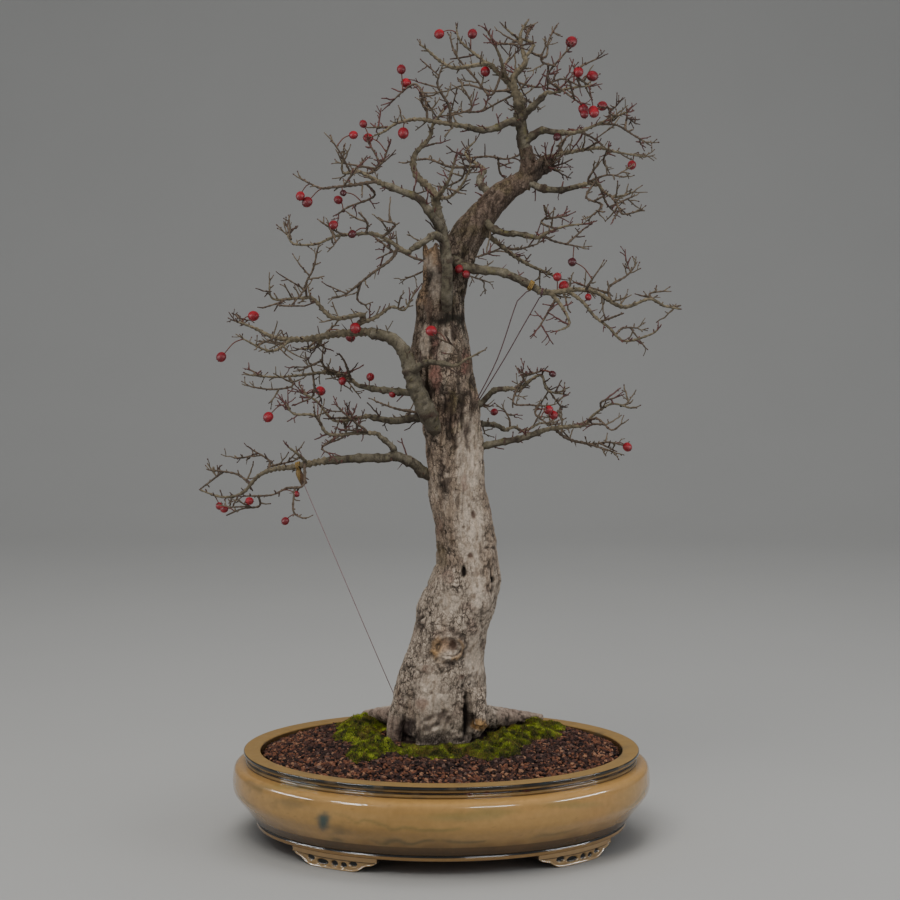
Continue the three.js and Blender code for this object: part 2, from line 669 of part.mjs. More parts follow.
// One foot under the base's edge: a bracket whose lower edge steps up at each end.
function foot(middle) {
  const steps = [[0, 11], [0.05, 7.5], [0.13, 6.5], [0.18, 2], [0.25, 0], [0.5, 0]];
  const outline = [...steps, ...steps.slice(0, -1).reverse().map(([part, height]) => [1 - part, height])];
  const halfLength = rimHalfLength - baseInset;
  const halfWidth = rimHalfWidth - baseInset;
  const pace = Math.hypot(halfLength * Math.sin(middle), halfWidth * Math.cos(middle));
  const rings = outline.map(([part, height]) => {
    const angle = middle + (part - 0.5) * (footLength / pace);
    const out = new THREE.Vector3(Math.cos(angle), Math.sin(angle), 0);
    const edge = (inset, z) => new THREE.Vector3(halfLength - inset, halfWidth - inset, 1)
      .multiply(new THREE.Vector3(out.x, out.y, z));
    return [edge(2.5, height), edge(footDepth, height), edge(footDepth, baseHeight + 2), edge(1, baseHeight + 2)];
  });
  return solid(skin(rings));
}

function makePot() {
  const rings = [
    ...outside.map(([outset, height]) => ovalRing(outset, height)),
    ovalRing(-rimWidth, rimHeight - 0.5),
    ...hollow.slice().reverse().map(([outset, height]) => ovalRing(outset, height)),
  ];
  const drains = [-drainSpread, drainSpread].map((x) => {
    const drain = new THREE.CylinderGeometry(drainRadius, drainRadius, 3 * floorHeight, 12);
    drain.rotateX(Math.PI / 2);
    drain.translate(x, 0, floorHeight);
    return solid(drain);
  });
  const body = fused([solid(skin(rings)), ...footAngles.map((angle) => foot(angle * degree))]);
  return drains.reduce((rest, drain) => rest.subtract(drain), body);
}

// The soil fills the hollow and rises to a flat top under the trunk; lift raises its whole upper side.
function makeSoil(lift = 0) {
  const inside = hollow.map(([outset, height]) => ovalRing(outset - 2 * clearance, height + clearance));
  const topRing = (part, height) => ovalRing(0, 0).map((rim) => {
    const wall = rimWidth + 2 + 3 * clearance;
    const x = (rim.x * (rimHalfLength - wall)) / rimHalfLength;
    const y = (rim.y * (rimHalfWidth - wall)) / rimHalfWidth;
    const flatX = soilTop.x + (rim.x * soilTop.halfLength) / rimHalfLength;
    const flatY = soilTop.y + (rim.y * soilTop.halfWidth) / rimHalfWidth;
    return new THREE.Vector3(mix(flatX, x, part), mix(flatY, y, part), height + lift);
  });
  return solid(skin([
    ...inside,
    topRing(1, soilEdgeHeight),
    topRing(0.6, mix(soilEdgeHeight, soilTopHeight, 0.5)),
    topRing(0.25, mix(soilEdgeHeight, soilTopHeight, 0.88)),
    topRing(0, soilTopHeight),
  ]));
}

// Moss: each patch is a few low cushions as x, y, half length, half width and height
const mossPatches = {
  moss_left: [[-84, 62, 26, 34, 11], [-86, 22, 24, 30, 10], [-72, -12, 19, 21, 9], [-77, -50, 19, 22, 8],
    [-54, -32, 13, 14, 10]],
  moss_front: [[-21, -46, 20, 16, 8], [4, -52, 22, 18, 8]],
  moss_right: [[42, -44, 20, 26, 9], [60, -34, 20, 28, 9], [70, 0, 24, 27, 10], [92, 30, 28, 28, 10],
    [106, 60, 24, 24, 9]],
};

function cushion([x, y, halfLength, halfWidth, height]) {
  const lump = new THREE.SphereGeometry(1, 8, 5);
  lump.rotateX(Math.PI / 2);
  lump.scale(halfLength, halfWidth, 1.4 * height);
  lump.translate(x, y, soilTopHeight - 0.4 * height);
  return solid(lump);
}

// The trunk swells and sinks a little round its length, more where the roots leave it.
function trunkSwell(angle, height) {
  const flare = Math.exp(-(height - groundHeight) / flareHeight);
  const flutes = swellStrength.three * Math.sin(3 * angle + height / 50)
    + swellStrength.five * Math.sin(5 * angle - height / 37 + 1);
  return 1 + flutes + swellStrength.roots * flare * Math.sin(6 * angle + 0.6);
}

// How far the ridges of root stand out of the trunk at an angle and a height
function ridgesAt(angle, height) {
  return rootRidges.reduce((sum, [facing, width, reach, tall]) => {
    const turn = angle / degree - facing;
    const apart = turn - 360 * Math.round(turn / 360);
    const rise = Math.exp(-Math.max(height - groundHeight, 0) / tall);
    return sum + reach * rise * (Math.exp(-((apart / width) ** 2)) - 0.25);
  }, 0);
}

// How far the old bark stands out at a place: lumps all over, and the hollow knot of a lost branch at the front
function trunkRelief(point) {
  const middle = place(knotSpot);
  const apart = Math.hypot((point.x - middle.x) / knot.halfWidth, (point.z - middle.z) / knot.halfHeight);
  const rise = knot.rise * Math.exp(-(apart ** 4)) - knot.hollow * Math.exp(-((apart / 0.45) ** 2));
  const lumps = broadLumps.height * noise(point, broadLumps) + narrowLumps.height * noise(point, narrowLumps);
  return lumps + (point.y < middle.y + knot.depth ? rise : 0);
}

// The axis of the trunk as points a step apart and half widths
function trunkAxis(step) {
  const rows = trunkStations.map(([across, up, depth, radius]) => [...place([across, up, depth]).toArray(), radius]);
  const axis = [];
  rows.slice(1).forEach((row, i) => {
    const length = new THREE.Vector3(...row).distanceTo(new THREE.Vector3(...rows[i]));
    const count = Math.max(1, Math.round(length / step));
    for (let k = 0; k < count; k += 1) {
      axis.push(through(rows, i + k / count));
    }
  });
  axis.push(rows[rows.length - 1]);
  return axis.map(([x, y, z, radius]) => ({ point: new THREE.Vector3(x, y, z), radius }));
}

// The trunk with its roots, cut flat at the ground; more adds to its thickness.
function makeTrunk(more = 0) {
  const axis = trunkAxis(trunkRingStep);
  const swollen = (i, angle) => {
    const { point, radius } = axis[i];
    return radius * trunkSwell(angle, point.z) + ridgesAt(angle, point.z);
  };
  const rings = ringsAlong(axis.map(({ point }) => point), swollen, trunkSides, trunkDepthRatio);
  rings.forEach((ring, i) => ring.forEach((corner) => {
    const out = corner.clone().sub(axis[i].point).normalize();
    const part = Math.min(1, axis[i].radius / thickBark);
    corner.addScaledVector(out, part * trunkRelief(corner) + more);
  }));
  const limbs = trunkLimbs.map((one) => limb(one, rootSides, boughRingStep, more).shape);
  const below = new THREE.BoxGeometry(1000, 1000, 200);
  below.translate(0, 0, groundHeight - 100);
  return fused([fused([solid(skin(rings)), ...limbs]).subtract(solid(below))]);
}

// What is already standing, as round-ended lengths of wood that nothing else may touch
const standing = [];

function stand(owner, points, radii) {
  for (let i = 0; i + 1 < points.length; i += 1) {
    standing.push({ owner, from: points[i], to: points[i + 1], radius: Math.max(radii[i], radii[i + 1]) });
  }
}

// The least distance between two straight lengths.
function distanceApart(a, b, c, d) {
  const first = b.clone().sub(a);
  const second = d.clone().sub(c);
  const between = a.clone().sub(c);
  const firstSquare = Math.max(first.lengthSq(), 1e-9);
  const secondSquare = Math.max(second.lengthSq(), 1e-9);
  const along = first.dot(second);
  const firstPart = first.dot(between);
  const secondPart = second.dot(between);
  const spread = firstSquare * secondSquare - along * along;
  let s = spread > 1e-9 ? (along * secondPart - firstPart * secondSquare) / spread : 0;
  s = Math.min(1, Math.max(0, s));
  let t = (along * s + secondPart) / secondSquare;
  t = Math.min(1, Math.max(0, t));
  s = Math.min(1, Math.max(0, (along * t - firstPart) / firstSquare));
  return a.clone().addScaledVector(first, s).distanceTo(c.clone().addScaledVector(second, t));
}

// Whether a way of wood would touch anything that stands, other than what it grows on.
function touches(points, radii, owners) {
  return points.slice(1).some((to, i) => {
    const radius = Math.max(radii[i], radii[i + 1]) + twigGap;
    return standing.some((other) => !owners.includes(other.owner)
      && distanceApart(points[i], to, other.from, other.to) < radius + other.radius);
  });
}

// A way from one place to the next with a kink at each step, as hawthorn grows from bud to bud.
function zigzag(places, draw) {
  const points = [places[0]];
  let hand = draw() < 0.5 ? 1 : -1;
  for (let i = 0; i + 1 < places.length; i += 1) {
    const leg = places[i + 1].clone().sub(places[i]);
    const count = Math.max(1, Math.round(leg.length() / twigStep));
    const sideways = new THREE.Vector3(-leg.z, 0.6 * leg.z - 0.4 * leg.x, leg.x).normalize();
    for (let k = 1; k < count; k += 1) {
      const reach = hand * twigKink * twigStep * (0.6 + 0.8 * draw());
      points.push(places[i].clone().addScaledVector(leg, k / count).addScaledVector(sideways, reach));
      hand = -hand;
    }
    points.push(places[i + 1]);
  }
  return points;
}

// Radii that taper along a way.
function taper(points, from, to) {
  return points.map((_, i) => mix(from, to, i / (points.length - 1)));
}

// The free lengths of a mass's twigs that a new way to a place may leave from the middle of, the best first.
function rootsFor(twigs, target, lean) {
  const found = [];
  for (const twig of twigs) {
    for (let i = 1; i < twig.points.length; i += 1) {
      const point = twig.points[i - 1].clone().lerp(twig.points[i], 0.5);
      const along = twig.points[i].clone().sub(twig.points[i - 1]).normalize();
      const gone = twig.gone + (i - 0.5) * twigStep;
      const forward = target.clone().sub(point).normalize().dot(along);
      const length = twig.points[i].distanceTo(twig.points[i - 1]);
      if (length > shortestParent && !twig.children.has(i) && forward < mostForward && forward > mostBackward) {
        const cost = point.distanceTo(target) + lean * gone;
        found.push({ cost, twig, i, point, gone, radius: mix(twig.radii[i - 1], twig.radii[i], 0.5) });
      }
    }
  }
  return found.sort((one, other) => one.cost - other.cost).slice(0, rootTries);
}

// Grows a mass: its measured arms, arms that fan forward and back from the first, haws, then side twigs.
function growMass(mass, start, room) {
  const twigs = [];
  const free = (points, radii, root, owners) => {
    const own = twigs.filter((twig) => twig !== root.twig);
    const later = twigs.filter((twig) => twig === root.twig);
    return !touches(points, radii, owners)
      && !meets(points, radii, own, root.twig ? 0.3 : 0)
      && !meets(points.slice(1), radii.slice(1), later, 0);
  };
  const add = (points, from, root, owners) => {
    const radii = taper(points, from, Math.min(twigTipRadius, from));
    if (!free(points, radii, root, owners)) {
      return false;
    }
    const twig = { points, radii, gone: root.gone, children: new Map() };
    twigs.push(twig);
    root.twig?.children.set(root.i, twig);
    return true;
  };
  const seedOf = (kind, n) => 10000 * mass.seed + 1000 * kind + n;

  mass.arms.forEach((arm, n) => {
    const owners = n === 0 ? [mass.name, mass.on] : [mass.name];
    const roots = n === 0 ? [{ ...start, gone: 0 }] : rootsFor(twigs, place(arm[0]), 0.35);
    roots.some((root) => givingWay.some((shift) => {
      const shifted = arm.map(([across, up, depth]) => place([across, up, depth + shift]));
      const from = n === 0 ? root.radius : Math.max(0.75 * root.radius, leastTwigRadius);
      const points = zigzag([root.neck ?? root.point, ...shifted], numbers(seedOf(0, n)));
      return add(root.neck ? [root.point, ...points] : points, from, root, owners);
    }));
  });

  const main = twigs[0];
  const last = main.points.length - 1;
  for (let n = 0; n < (mass.fan > 0 ? fanArms : 0); n += 1) {
    const draw = numbers(seedOf(1, n));
    const reach = (n % 2 === 0 ? 1 : -1) * mass.fan * mix(0.75, 1, draw());
    const aim = main.points[Math.min(last, Math.round(((n + 1) / fanArms) * last))].clone();
    aim.add(new THREE.Vector3((aim.x * reach) / eye.distance, reach, mix(-6, 10, draw())));
    rootsFor(twigs, aim, 0.1).some((root) => {
      const half = root.point.clone().lerp(aim, 0.5);
      return add(zigzag([root.point, half, aim], draw), Math.max(0.7 * root.radius, leastTwigRadius), root, [mass.name]);
    });
  }

  const haws = [];
  for (const [across, up, radius] of mass.haws) {
    const hung = twigs.flatMap((twig) => rootsFor([twig], place([across, up, twig.points[0].y]), 0))
      .map((root) => {
        const middle = place([across, up, root.point.y + 0.6 * radius]);
        return { root, middle, radius, gap: Math.abs(middle.distanceTo(root.point) - stalkLength * radius) };
      })
      .sort((one, other) => one.gap - other.gap)[0];
    if (hung && hung.gap < longestStalk) {
      hung.root.twig.children.set(hung.root.i, { haw: hung });
      haws.push(hung);
    }
  }

  let count = 0;
  for (const parent of [...twigs]) {
    const rings = ringsAlong(parent.points, (i) => parent.radii[i], twigSides);
    for (let i = 1; i < parent.points.length; i += 1) {
      count += 1;
      const draw = numbers(seedOf(2, count));
      if (parent.children.has(i) || draw() > sideTwigChance) {
        continue;
      }
      const length = mix(...sideTwigLength, draw());
      const turn = Math.floor(3 * draw());
      const point = parent.points[i - 1].clone().lerp(parent.points[i], 0.5);
      const out = point.clone().multiplyScalar(-4);
      [turn, (turn + 1) % twigSides].forEach((k) => out.add(rings[i - 1][k]).add(rings[i][k]));
      const along = parent.points[i].clone().sub(parent.points[i - 1]).normalize();
      const heading = along.multiplyScalar(Math.cos(sideTwigAngle))
        .addScaledVector(out.normalize(), Math.sin(sideTwigAngle));
      const end = point.clone().addScaledVector(heading, length);
      if (room.containsPoint(end)) {
        const root = { twig: parent, i, point, gone: parent.gone + i * twigStep };
        add([point, end], Math.min(0.5 * parent.radii[i] + 0.3, 1.3), root, [mass.name]);
      }
    }
  }
  return { twigs, haws };
}

// Whether a way would meet other twigs of its own mass; skip is the part of its first length left out.
function meets(points, radii, others, skip) {
  return points.slice(1).some((to, i) => {
    const from = i === 0 ? points[0].clone().lerp(to, skip) : points[i];
    return others.some((twig) => twig.points.slice(1).some((end, k) => {
      const least = Math.max(radii[i], radii[i + 1]) + twig.radii[k] + twigGap;
      return distanceApart(from, to, twig.points[k], end) < least;
    }));
  });
}

// The rings of a haw on its stalk: three sides along the stalk, then six round the fruit.
function hawRings({ root, middle, radius }, side) {
  const along = middle.clone().sub(root.point);
  const far = along.length();
  along.normalize();
  const outline = [[far - radius, stalkRadius], [far - 0.5 * radius, 0.86 * radius],
    [far + 0.5 * radius, 0.86 * radius], [far + 1.05 * radius, 0.3 * radius]];
  const points = outline.map(([run]) => root.point.clone().addScaledVector(along, run));
  const radiusAt = (i) => outline[i][1];
  const neck = ringsAlong(points, radiusAt, twigSides, 1, side);
  const fruit = ringsAlong(points, radiusAt, 2 * twigSides, 1, side);
  return [neck[0], ...fruit.slice(1)];
}

// One closed skin over a mass: each twig and haw leaves its parent through a small hole in one of its faces.
function branchingSkin(stem) {
  const corners = [];
  const faces = [];
  const put = (point) => {
    corners.push(point.x, point.y, point.z);
    return corners.length / 3 - 1;
  };
  const at = (index) => new THREE.Vector3().fromArray(corners, 3 * index);

  const opening = (quad, child) => {
    const [a, b, c, d] = quad.map(at);
    const middle = a.clone().add(b).add(c).add(d).multiplyScalar(0.25);
    const along = d.clone().add(c).sub(a).sub(b).normalize();
    const normal = b.clone().add(c).sub(a).sub(d).cross(along).normalize();
    const across = normal.clone().cross(along);
    const flat = (point) => new THREE.Vector2(point.dot(along), point.dot(across));
    const outline = [a, b, c, d].map(flat);
    const widest = Math.min(child.haw ? stalkRadius : child.radii[0], 0.19 * (a.distanceTo(b) + c.distanceTo(d)));
    const holeOf = (radius) => [90, 210, 330].map((turn) => middle.clone()
      .addScaledVector(along, radius * Math.cos(turn * degree))
      .addScaledVector(across, radius * Math.sin(turn * degree)));
    const fits = (point) => outline.every((corner, k) => {
      const edge = outline[(k + 1) % 4].clone().sub(corner);
      return edge.cross(point.clone().sub(corner)) > 0.08 * edge.length();
    });
    const radius = [1, 0.8, 0.6, 0.4, 0.2].map((part) => part * widest)
      .find((size) => holeOf(size).map(flat).every(fits));
    if (radius === undefined) {
      return false;
    }
    const hole = holeOf(radius);
    const holeIndices = hole.map(put);
    const indices = [...quad, ...holeIndices];
    for (const face of THREE.ShapeUtils.triangulateShape(outline, [hole.map(flat)])) {
      const [p, q, r] = face.map((k) => flat(at(indices[k])));
      const turns = q.clone().sub(p).cross(r.clone().sub(p)) > 0;
      faces.push(...(turns ? face : face.slice().reverse()).map((k) => indices[k]));
    }
    cover(child, holeIndices, across);
    return true;
  };

  const cover = (twig, firstRing, side) => {
    const rings = twig.haw
      ? hawRings(twig.haw, side)
      : ringsAlong(twig.points, (i) => twig.radii[i], twigSides, 1, side).slice(1);
    let below = firstRing;
    rings.forEach((points, i) => {
      const ring = points.map(put);
      const sides = below.length;
      const quads = below.map((_, k) => [below[k], below[(k + 1) % sides], ring[(k + 1) % sides], ring[k]]);
      const child = twig.children?.get(i + 1);
      let opened = -1;
      if (child) {
        const root = child.haw ? child.haw.root.point : child.points[0];
        const reach = (child.haw ? child.haw.middle : child.points[1]).clone().sub(root);
        const facing = (quad) => quad.reduce((sum, index) => sum.add(at(index)), new THREE.Vector3())
          .multiplyScalar(0.25).sub(root).normalize().dot(reach);
        const order = [0, 1, 2].sort((k, m) => facing(quads[m]) - facing(quads[k]));
        opened = order.slice(0, 2).find((k) => opening(quads[k], child)) ?? -1;
      }
      for (let k = 0; k < sides; k += 1) {
        const next = (k + 1) % sides;
        if (ring.length > sides) {
          const [first, second, third] = [2 * k, 2 * k + 1, (2 * k + 2) % ring.length].map((m) => ring[m]);
          faces.push(below[k], below[next], second, below[k], second, first, below[next], third, second);
        } else if (k !== opened) {
          faces.push(below[k], below[next], ring[next], below[k], ring[next], ring[k]);
        }
      }
      below = ring;
    });
    for (let k = 1; k + 1 < below.length; k += 1) {
      faces.push(below[0], below[k], below[k + 1]);
    }
  };

  const foot = ringsAlong(stem.points, (i) => stem.radii[i], twigSides)[0].map(put);
  faces.push(foot[0], foot[2], foot[1]);
  cover(stem, foot, at(foot[0]).sub(stem.points[0]));
  const geometry = new THREE.BufferGeometry();
  geometry.setAttribute("position", new THREE.Float32BufferAttribute(corners, 3));
  geometry.setIndex(faces);
  return geometry;
}

// The room of a mass: the box round its arms and a little more, inside the box of the whole crown.
function roomOf(mass, crown) {
  const room = new THREE.Box3();
  mass.arms.flat().forEach((point) => room.expandByPoint(place(point)));
  room.expandByVector(new THREE.Vector3(twigRoom, twigRoom + mass.fan, twigRoom));
  return room.intersect(crown);
}

function makeTwigs(mass, start, crown, cutter) {
  const { twigs, haws } = growMass(mass, start, roomOf(mass, crown));
  twigs.forEach(({ points, radii }) => stand(mass.name, points, radii));
  haws.forEach(({ root, middle, radius }) => {
    stand(mass.name, [root.point, middle], [stalkRadius, stalkRadius]);
    stand(mass.name, [middle, middle], [radius, radius]);
  });
  const whole = solid(branchingSkin(twigs[0]));
  return cutter ? fused([whole.subtract(cutter)]) : whole;
}

// The tree from its trunk out to its twigs
const tree = new THREE.Group();
const thickerTrunk = makeTrunk(clearance);
const trunk = makeTrunk();
const axis = trunkAxis(trunkStandStep);
tree.add(named("trunk", trunk, materials.trunk));
stand("trunk", axis.map(({ point }) => point), axis.map(({ radius }) => radius));
trunkLimbs.forEach((one) => {
  const { points, radii } = limb(one, rootSides, boughRingStep);
  stand("trunk", points, radii);
});

const thicker = { trunk: thickerTrunk };
const tips = {};
for (const bough of boughs) {
  const { points, radii, shape } = limb(bough, boughSides, boughRingStep);
  const last = points.length - 1;
  const heading = points[last].clone().sub(points[last - 1]).normalize();
  thicker[bough.name] = limb(bough, boughSides, boughRingStep, clearance).shape;
  const tip = points[last].clone().addScaledVector(heading, clearance);
  tips[bough.name] = { point: tip, neck: tip.clone().addScaledVector(heading, neckLength), radius: 0.95 * radii[last] };
  tree.add(named(bough.name, fused([shape.subtract(thicker[bough.on])]), materials.bough));
  stand(bough.name, points, radii);
}

const liftedSoil = makeSoil(clearance);
for (const guy of guys) {
  const { points, radii, shape } = limb({ path: guy.path, thick: [guy.thick, guy.thick] }, guySides, guyStep);
  tree.add(named(guy.name, fused([shape.subtract(thickerTrunk).subtract(liftedSoil)]), materials[guy.slot]));
  stand(guy.name, points, radii);
}

const crown = new THREE.Box3();
masses.forEach((mass) => mass.arms.flat().forEach((point) => crown.expandByPoint(place(point))));
for (const mass of masses) {
  const onTrunk = mass.on === "trunk";
  const start = onTrunk ? { point: place(mass.arms[0][0]), radius: 3 } : tips[mass.on];
  tree.add(named(mass.name, makeTwigs(mass, start, crown, onTrunk ? thickerTrunk : null), materials.twigs));
}

// The ground that it stands in
const pot = new THREE.Group();
pot.add(named("pot", makePot(), materials.pot));
pot.add(named("soil", makeSoil(), materials.soil));
for (const [name, cushions] of Object.entries(mossPatches)) {
  const patch = fused(cushions.map(cushion)).subtract(liftedSoil).subtract(thickerTrunk);
  pot.add(named(name, fused([patch]), materials.moss));
}

// The whole plant stands with the middle of its box over the origin and its feet on the ground.
const bonsai = new THREE.Group();
bonsai.add(pot, tree);
const box = new THREE.Box3().setFromObject(bonsai);
bonsai.position.set(-(box.min.x + box.max.x) / 2, -(box.min.y + box.max.y) / 2, -box.min.z);
bonsai.updateMatrixWorld(true);

export default bonsai;
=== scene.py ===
# Midland hawthorn bonsai in winter: the looks of its pot, soil, moss, bark, twigs and haws.
# Lengths are in millimetres round the pot's middle until a mesh is made, and then in metres in the row frame.
# Every smooth noise is told by the size of its bumps in millimetres and by its own seed.
import json
import math
from types import SimpleNamespace
import bpy
import numpy as np
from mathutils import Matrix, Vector
from mathutils.geometry import tessellate_polygon

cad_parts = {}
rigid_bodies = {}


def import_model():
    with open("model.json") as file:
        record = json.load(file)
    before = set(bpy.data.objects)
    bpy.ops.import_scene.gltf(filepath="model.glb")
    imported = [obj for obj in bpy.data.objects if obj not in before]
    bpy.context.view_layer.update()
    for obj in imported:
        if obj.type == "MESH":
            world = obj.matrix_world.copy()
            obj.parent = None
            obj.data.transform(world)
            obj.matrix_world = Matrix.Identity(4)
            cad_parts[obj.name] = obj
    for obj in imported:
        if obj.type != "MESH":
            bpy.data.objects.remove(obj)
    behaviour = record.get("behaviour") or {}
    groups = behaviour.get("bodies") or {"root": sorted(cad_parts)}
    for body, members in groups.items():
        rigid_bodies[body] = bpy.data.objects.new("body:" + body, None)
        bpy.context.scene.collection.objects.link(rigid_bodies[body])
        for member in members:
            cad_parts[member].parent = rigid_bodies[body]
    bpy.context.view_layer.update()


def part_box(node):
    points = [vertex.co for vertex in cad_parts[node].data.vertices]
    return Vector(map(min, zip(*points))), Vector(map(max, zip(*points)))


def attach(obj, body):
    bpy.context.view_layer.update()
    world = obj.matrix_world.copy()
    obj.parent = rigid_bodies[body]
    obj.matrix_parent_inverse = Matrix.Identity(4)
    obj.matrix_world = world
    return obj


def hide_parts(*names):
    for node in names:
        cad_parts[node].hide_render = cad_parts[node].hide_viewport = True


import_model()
pot_low, pot_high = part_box("pot")
SHIFT = ((pot_low[0] + pot_high[0]) / 2, (pot_low[1] + pot_high[1]) / 2, 0.0)
MM = 0.001
CLEARANCE = 0.3
FULL_TURN = 2 * math.pi

# The pot
RIM_HALF_LENGTH = 201.5
RIM_HALF_WIDTH = 151.5
RIM_WIDTH = 17
BASE_HEIGHT = 15
BASE_INSET = 12.5
FOOT_LENGTH = 96
FOOT_DEPTH = 24
FOOT_ANGLES = (-125, -43, 55, 137)

# The soil
SOIL_EDGE_HEIGHT = 87
SOIL_TOP_HEIGHT = 97
SOIL_TOP = {"x": 5, "y": 24, "half_length": 126, "half_width": 92}

# How far the soil's edge is inside the rim's outline
SOIL_WALL = RIM_WIDTH + 2 + 3 * CLEARANCE

# The wood
GROUND_HEIGHT = SOIL_TOP_HEIGHT + CLEARANCE
TRUNK_DEPTH_RATIO = 0.88
SWELL_THREE = 0.02
SWELL_FIVE = 0.025
SWELL_ROOTS = 0.07
FLARE_HEIGHT = 26
BROAD_LUMPS = {"size": 26, "height": 2.2, "seed": 41}
NARROW_LUMPS = {"size": 13, "height": 1.1, "seed": 58}
THICK_BARK = 18
KNOT_HALF_WIDTH = 17
KNOT_HALF_HEIGHT = 14
KNOT_RISE = 2.4
KNOT_HOLLOW = 3.4
KNOT_DEPTH = 16
BOUGH_STEP = 16

# The twigs
TWIG_SIDES = 3
TWIG_STEP = 22
TWIG_TIP_RADIUS = 0.75
LEAST_TWIG_RADIUS = 1.1
TWIG_KINK = 0.14
FAN_ARMS = 3
SIDE_TWIG_CHANCE = 0.36
SIDE_TWIG_LENGTH = (11, 27)
SIDE_TWIG_ANGLE = math.radians(58)
MOST_FORWARD = 0.9
MOST_BACKWARD = -0.85
ROOT_TRIES = 5
SHORTEST_PARENT = 6
NECK_LENGTH = 4
TWIG_ROOM = 7
TWIG_GAP = 0.5
GIVING_WAY = (0, 7, -7, 14, -14, 21, -21)
STALK_RADIUS = 0.6
STALK_LENGTH = 1.8
LONGEST_STALK = 24

# The front view that the limbs are measured in: an eye 2 m in front of the pot's middle, looking a little
# down.
# Across and up are read on the upright sheet through that middle, and depth is the true distance behind it.
EYE = {"across": 8.7, "distance": 2000, "height": 609, "up": 397, "down": math.radians(6.05)}
GUY_STEP = 90

# The trunk's stations: across, up, depth and half width
TRUNK_STATIONS = [
    (-6, 96, 28, 57),
    (-4, 112, 28, 53),
    (-2, 147, 28, 48),
    (3, 187, 29, 41),
    (7, 207, 29, 39),
    (14, 233, 28, 38),
    (21, 251, 27, 37),
    (26, 270, 26, 35),
    (27, 289, 25, 31),
    (22, 327, 22, 28.5),
    (15, 367, 19, 28.5),
    (12, 409, 16, 29),
    (8, 438, 13, 30),
    (3, 467, 12, 30),
    (0, 489, 11, 30),
    (-1, 509, 10, 28),
    (-1, 529, 10, 25),
    (1, 549, 10, 23),
    (7, 569, 11, 20.5),
    (15, 587, 13, 18.5),
    (23, 604, 15, 17.5),
    (31, 618, 17, 16.5),
    (40, 631, 18, 15),
    (50, 643, 19, 13.5),
    (62, 654, 20, 12),
    (76, 663, 20, 10.5),
    (90, 673, 20, 9.5),
    (103, 684, 20, 8),
    (108, 688, 20, 7),
]

# Limbs that are one with the trunk: a dead stub beside its bend, the surface roots and a sawn root end
TRUNK_LIMBS = [
    {"thick": [19, 9], "path": [[-1, 530, 9], [-4, 562, 6], [-7, 584, 5], [-8, 596, 6]] },
    {"thick": [17, 4], "path": [[14, 134, 26], [44, 130, 42], [70, 130, 62], [100, 129, 82]] },
    {"thick": [17, 5], "path": [[-16, 134, 34], [-46, 132, 62], [-76, 132, 94]] },
    {"thick": [5.5, 5], "path": [[34, 114, 8], [44, 126, 6]] },
    {"thick": [20, 6], "path": [[5, 130, 40], [8, 128, 78], [14, 130, 112]] },
]

# Small lobes and knobs that are too fine for the solids: the foot's lobes, the knuckles at the trunk's tip
# and the
# splinters of the dead stub
TRUNK_LOBES = [
    {"thick": [8, 6.5], "path": [[34, 158, 2], [38, 142, -6], [40, 128, -10], [40, 122, -11]]},
    {"thick": [7, 5], "path": [[-36, 170, 14], [-43, 146, 14], [-48, 128, 14], [-50, 104, 13]]},
    {"thick": [6.5, 4.6], "path": [[-33, 162, 8], [-39, 140, 7], [-43, 122, 6], [-45, 100, 5]]},
    {"thick": [9, 6.9], "path": [[80, 660, 20], [84, 670, 19], [87, 684, 16], [84, 700, 13]]},
    {"thick": [8.5, 7], "path": [[88, 670, 20], [98, 678, 17], [106, 682, 14], [110, 682, 12]]},
    {"thick": [5.5, 3.6], "path": [[100, 680, 16], [106, 687, 12], [110, 690, 10]]},
    {"thick": [5, 3], "path": [[94, 674, 14], [97, 682, 7], [101, 687, 5]]},
    {"thick": [4, 1.4], "path": [[-14, 586, 2], [-16, 598, 0], [-17, 603, -1]]},
    {"thick": [4, 1.2], "path": [[-6, 588, 0], [-6, 599, -2], [-5, 604, -3]]},
    {"thick": [4, 1.6], "path": [[1, 586, 2], [2, 596, 0], [3, 600, 0]]},
]

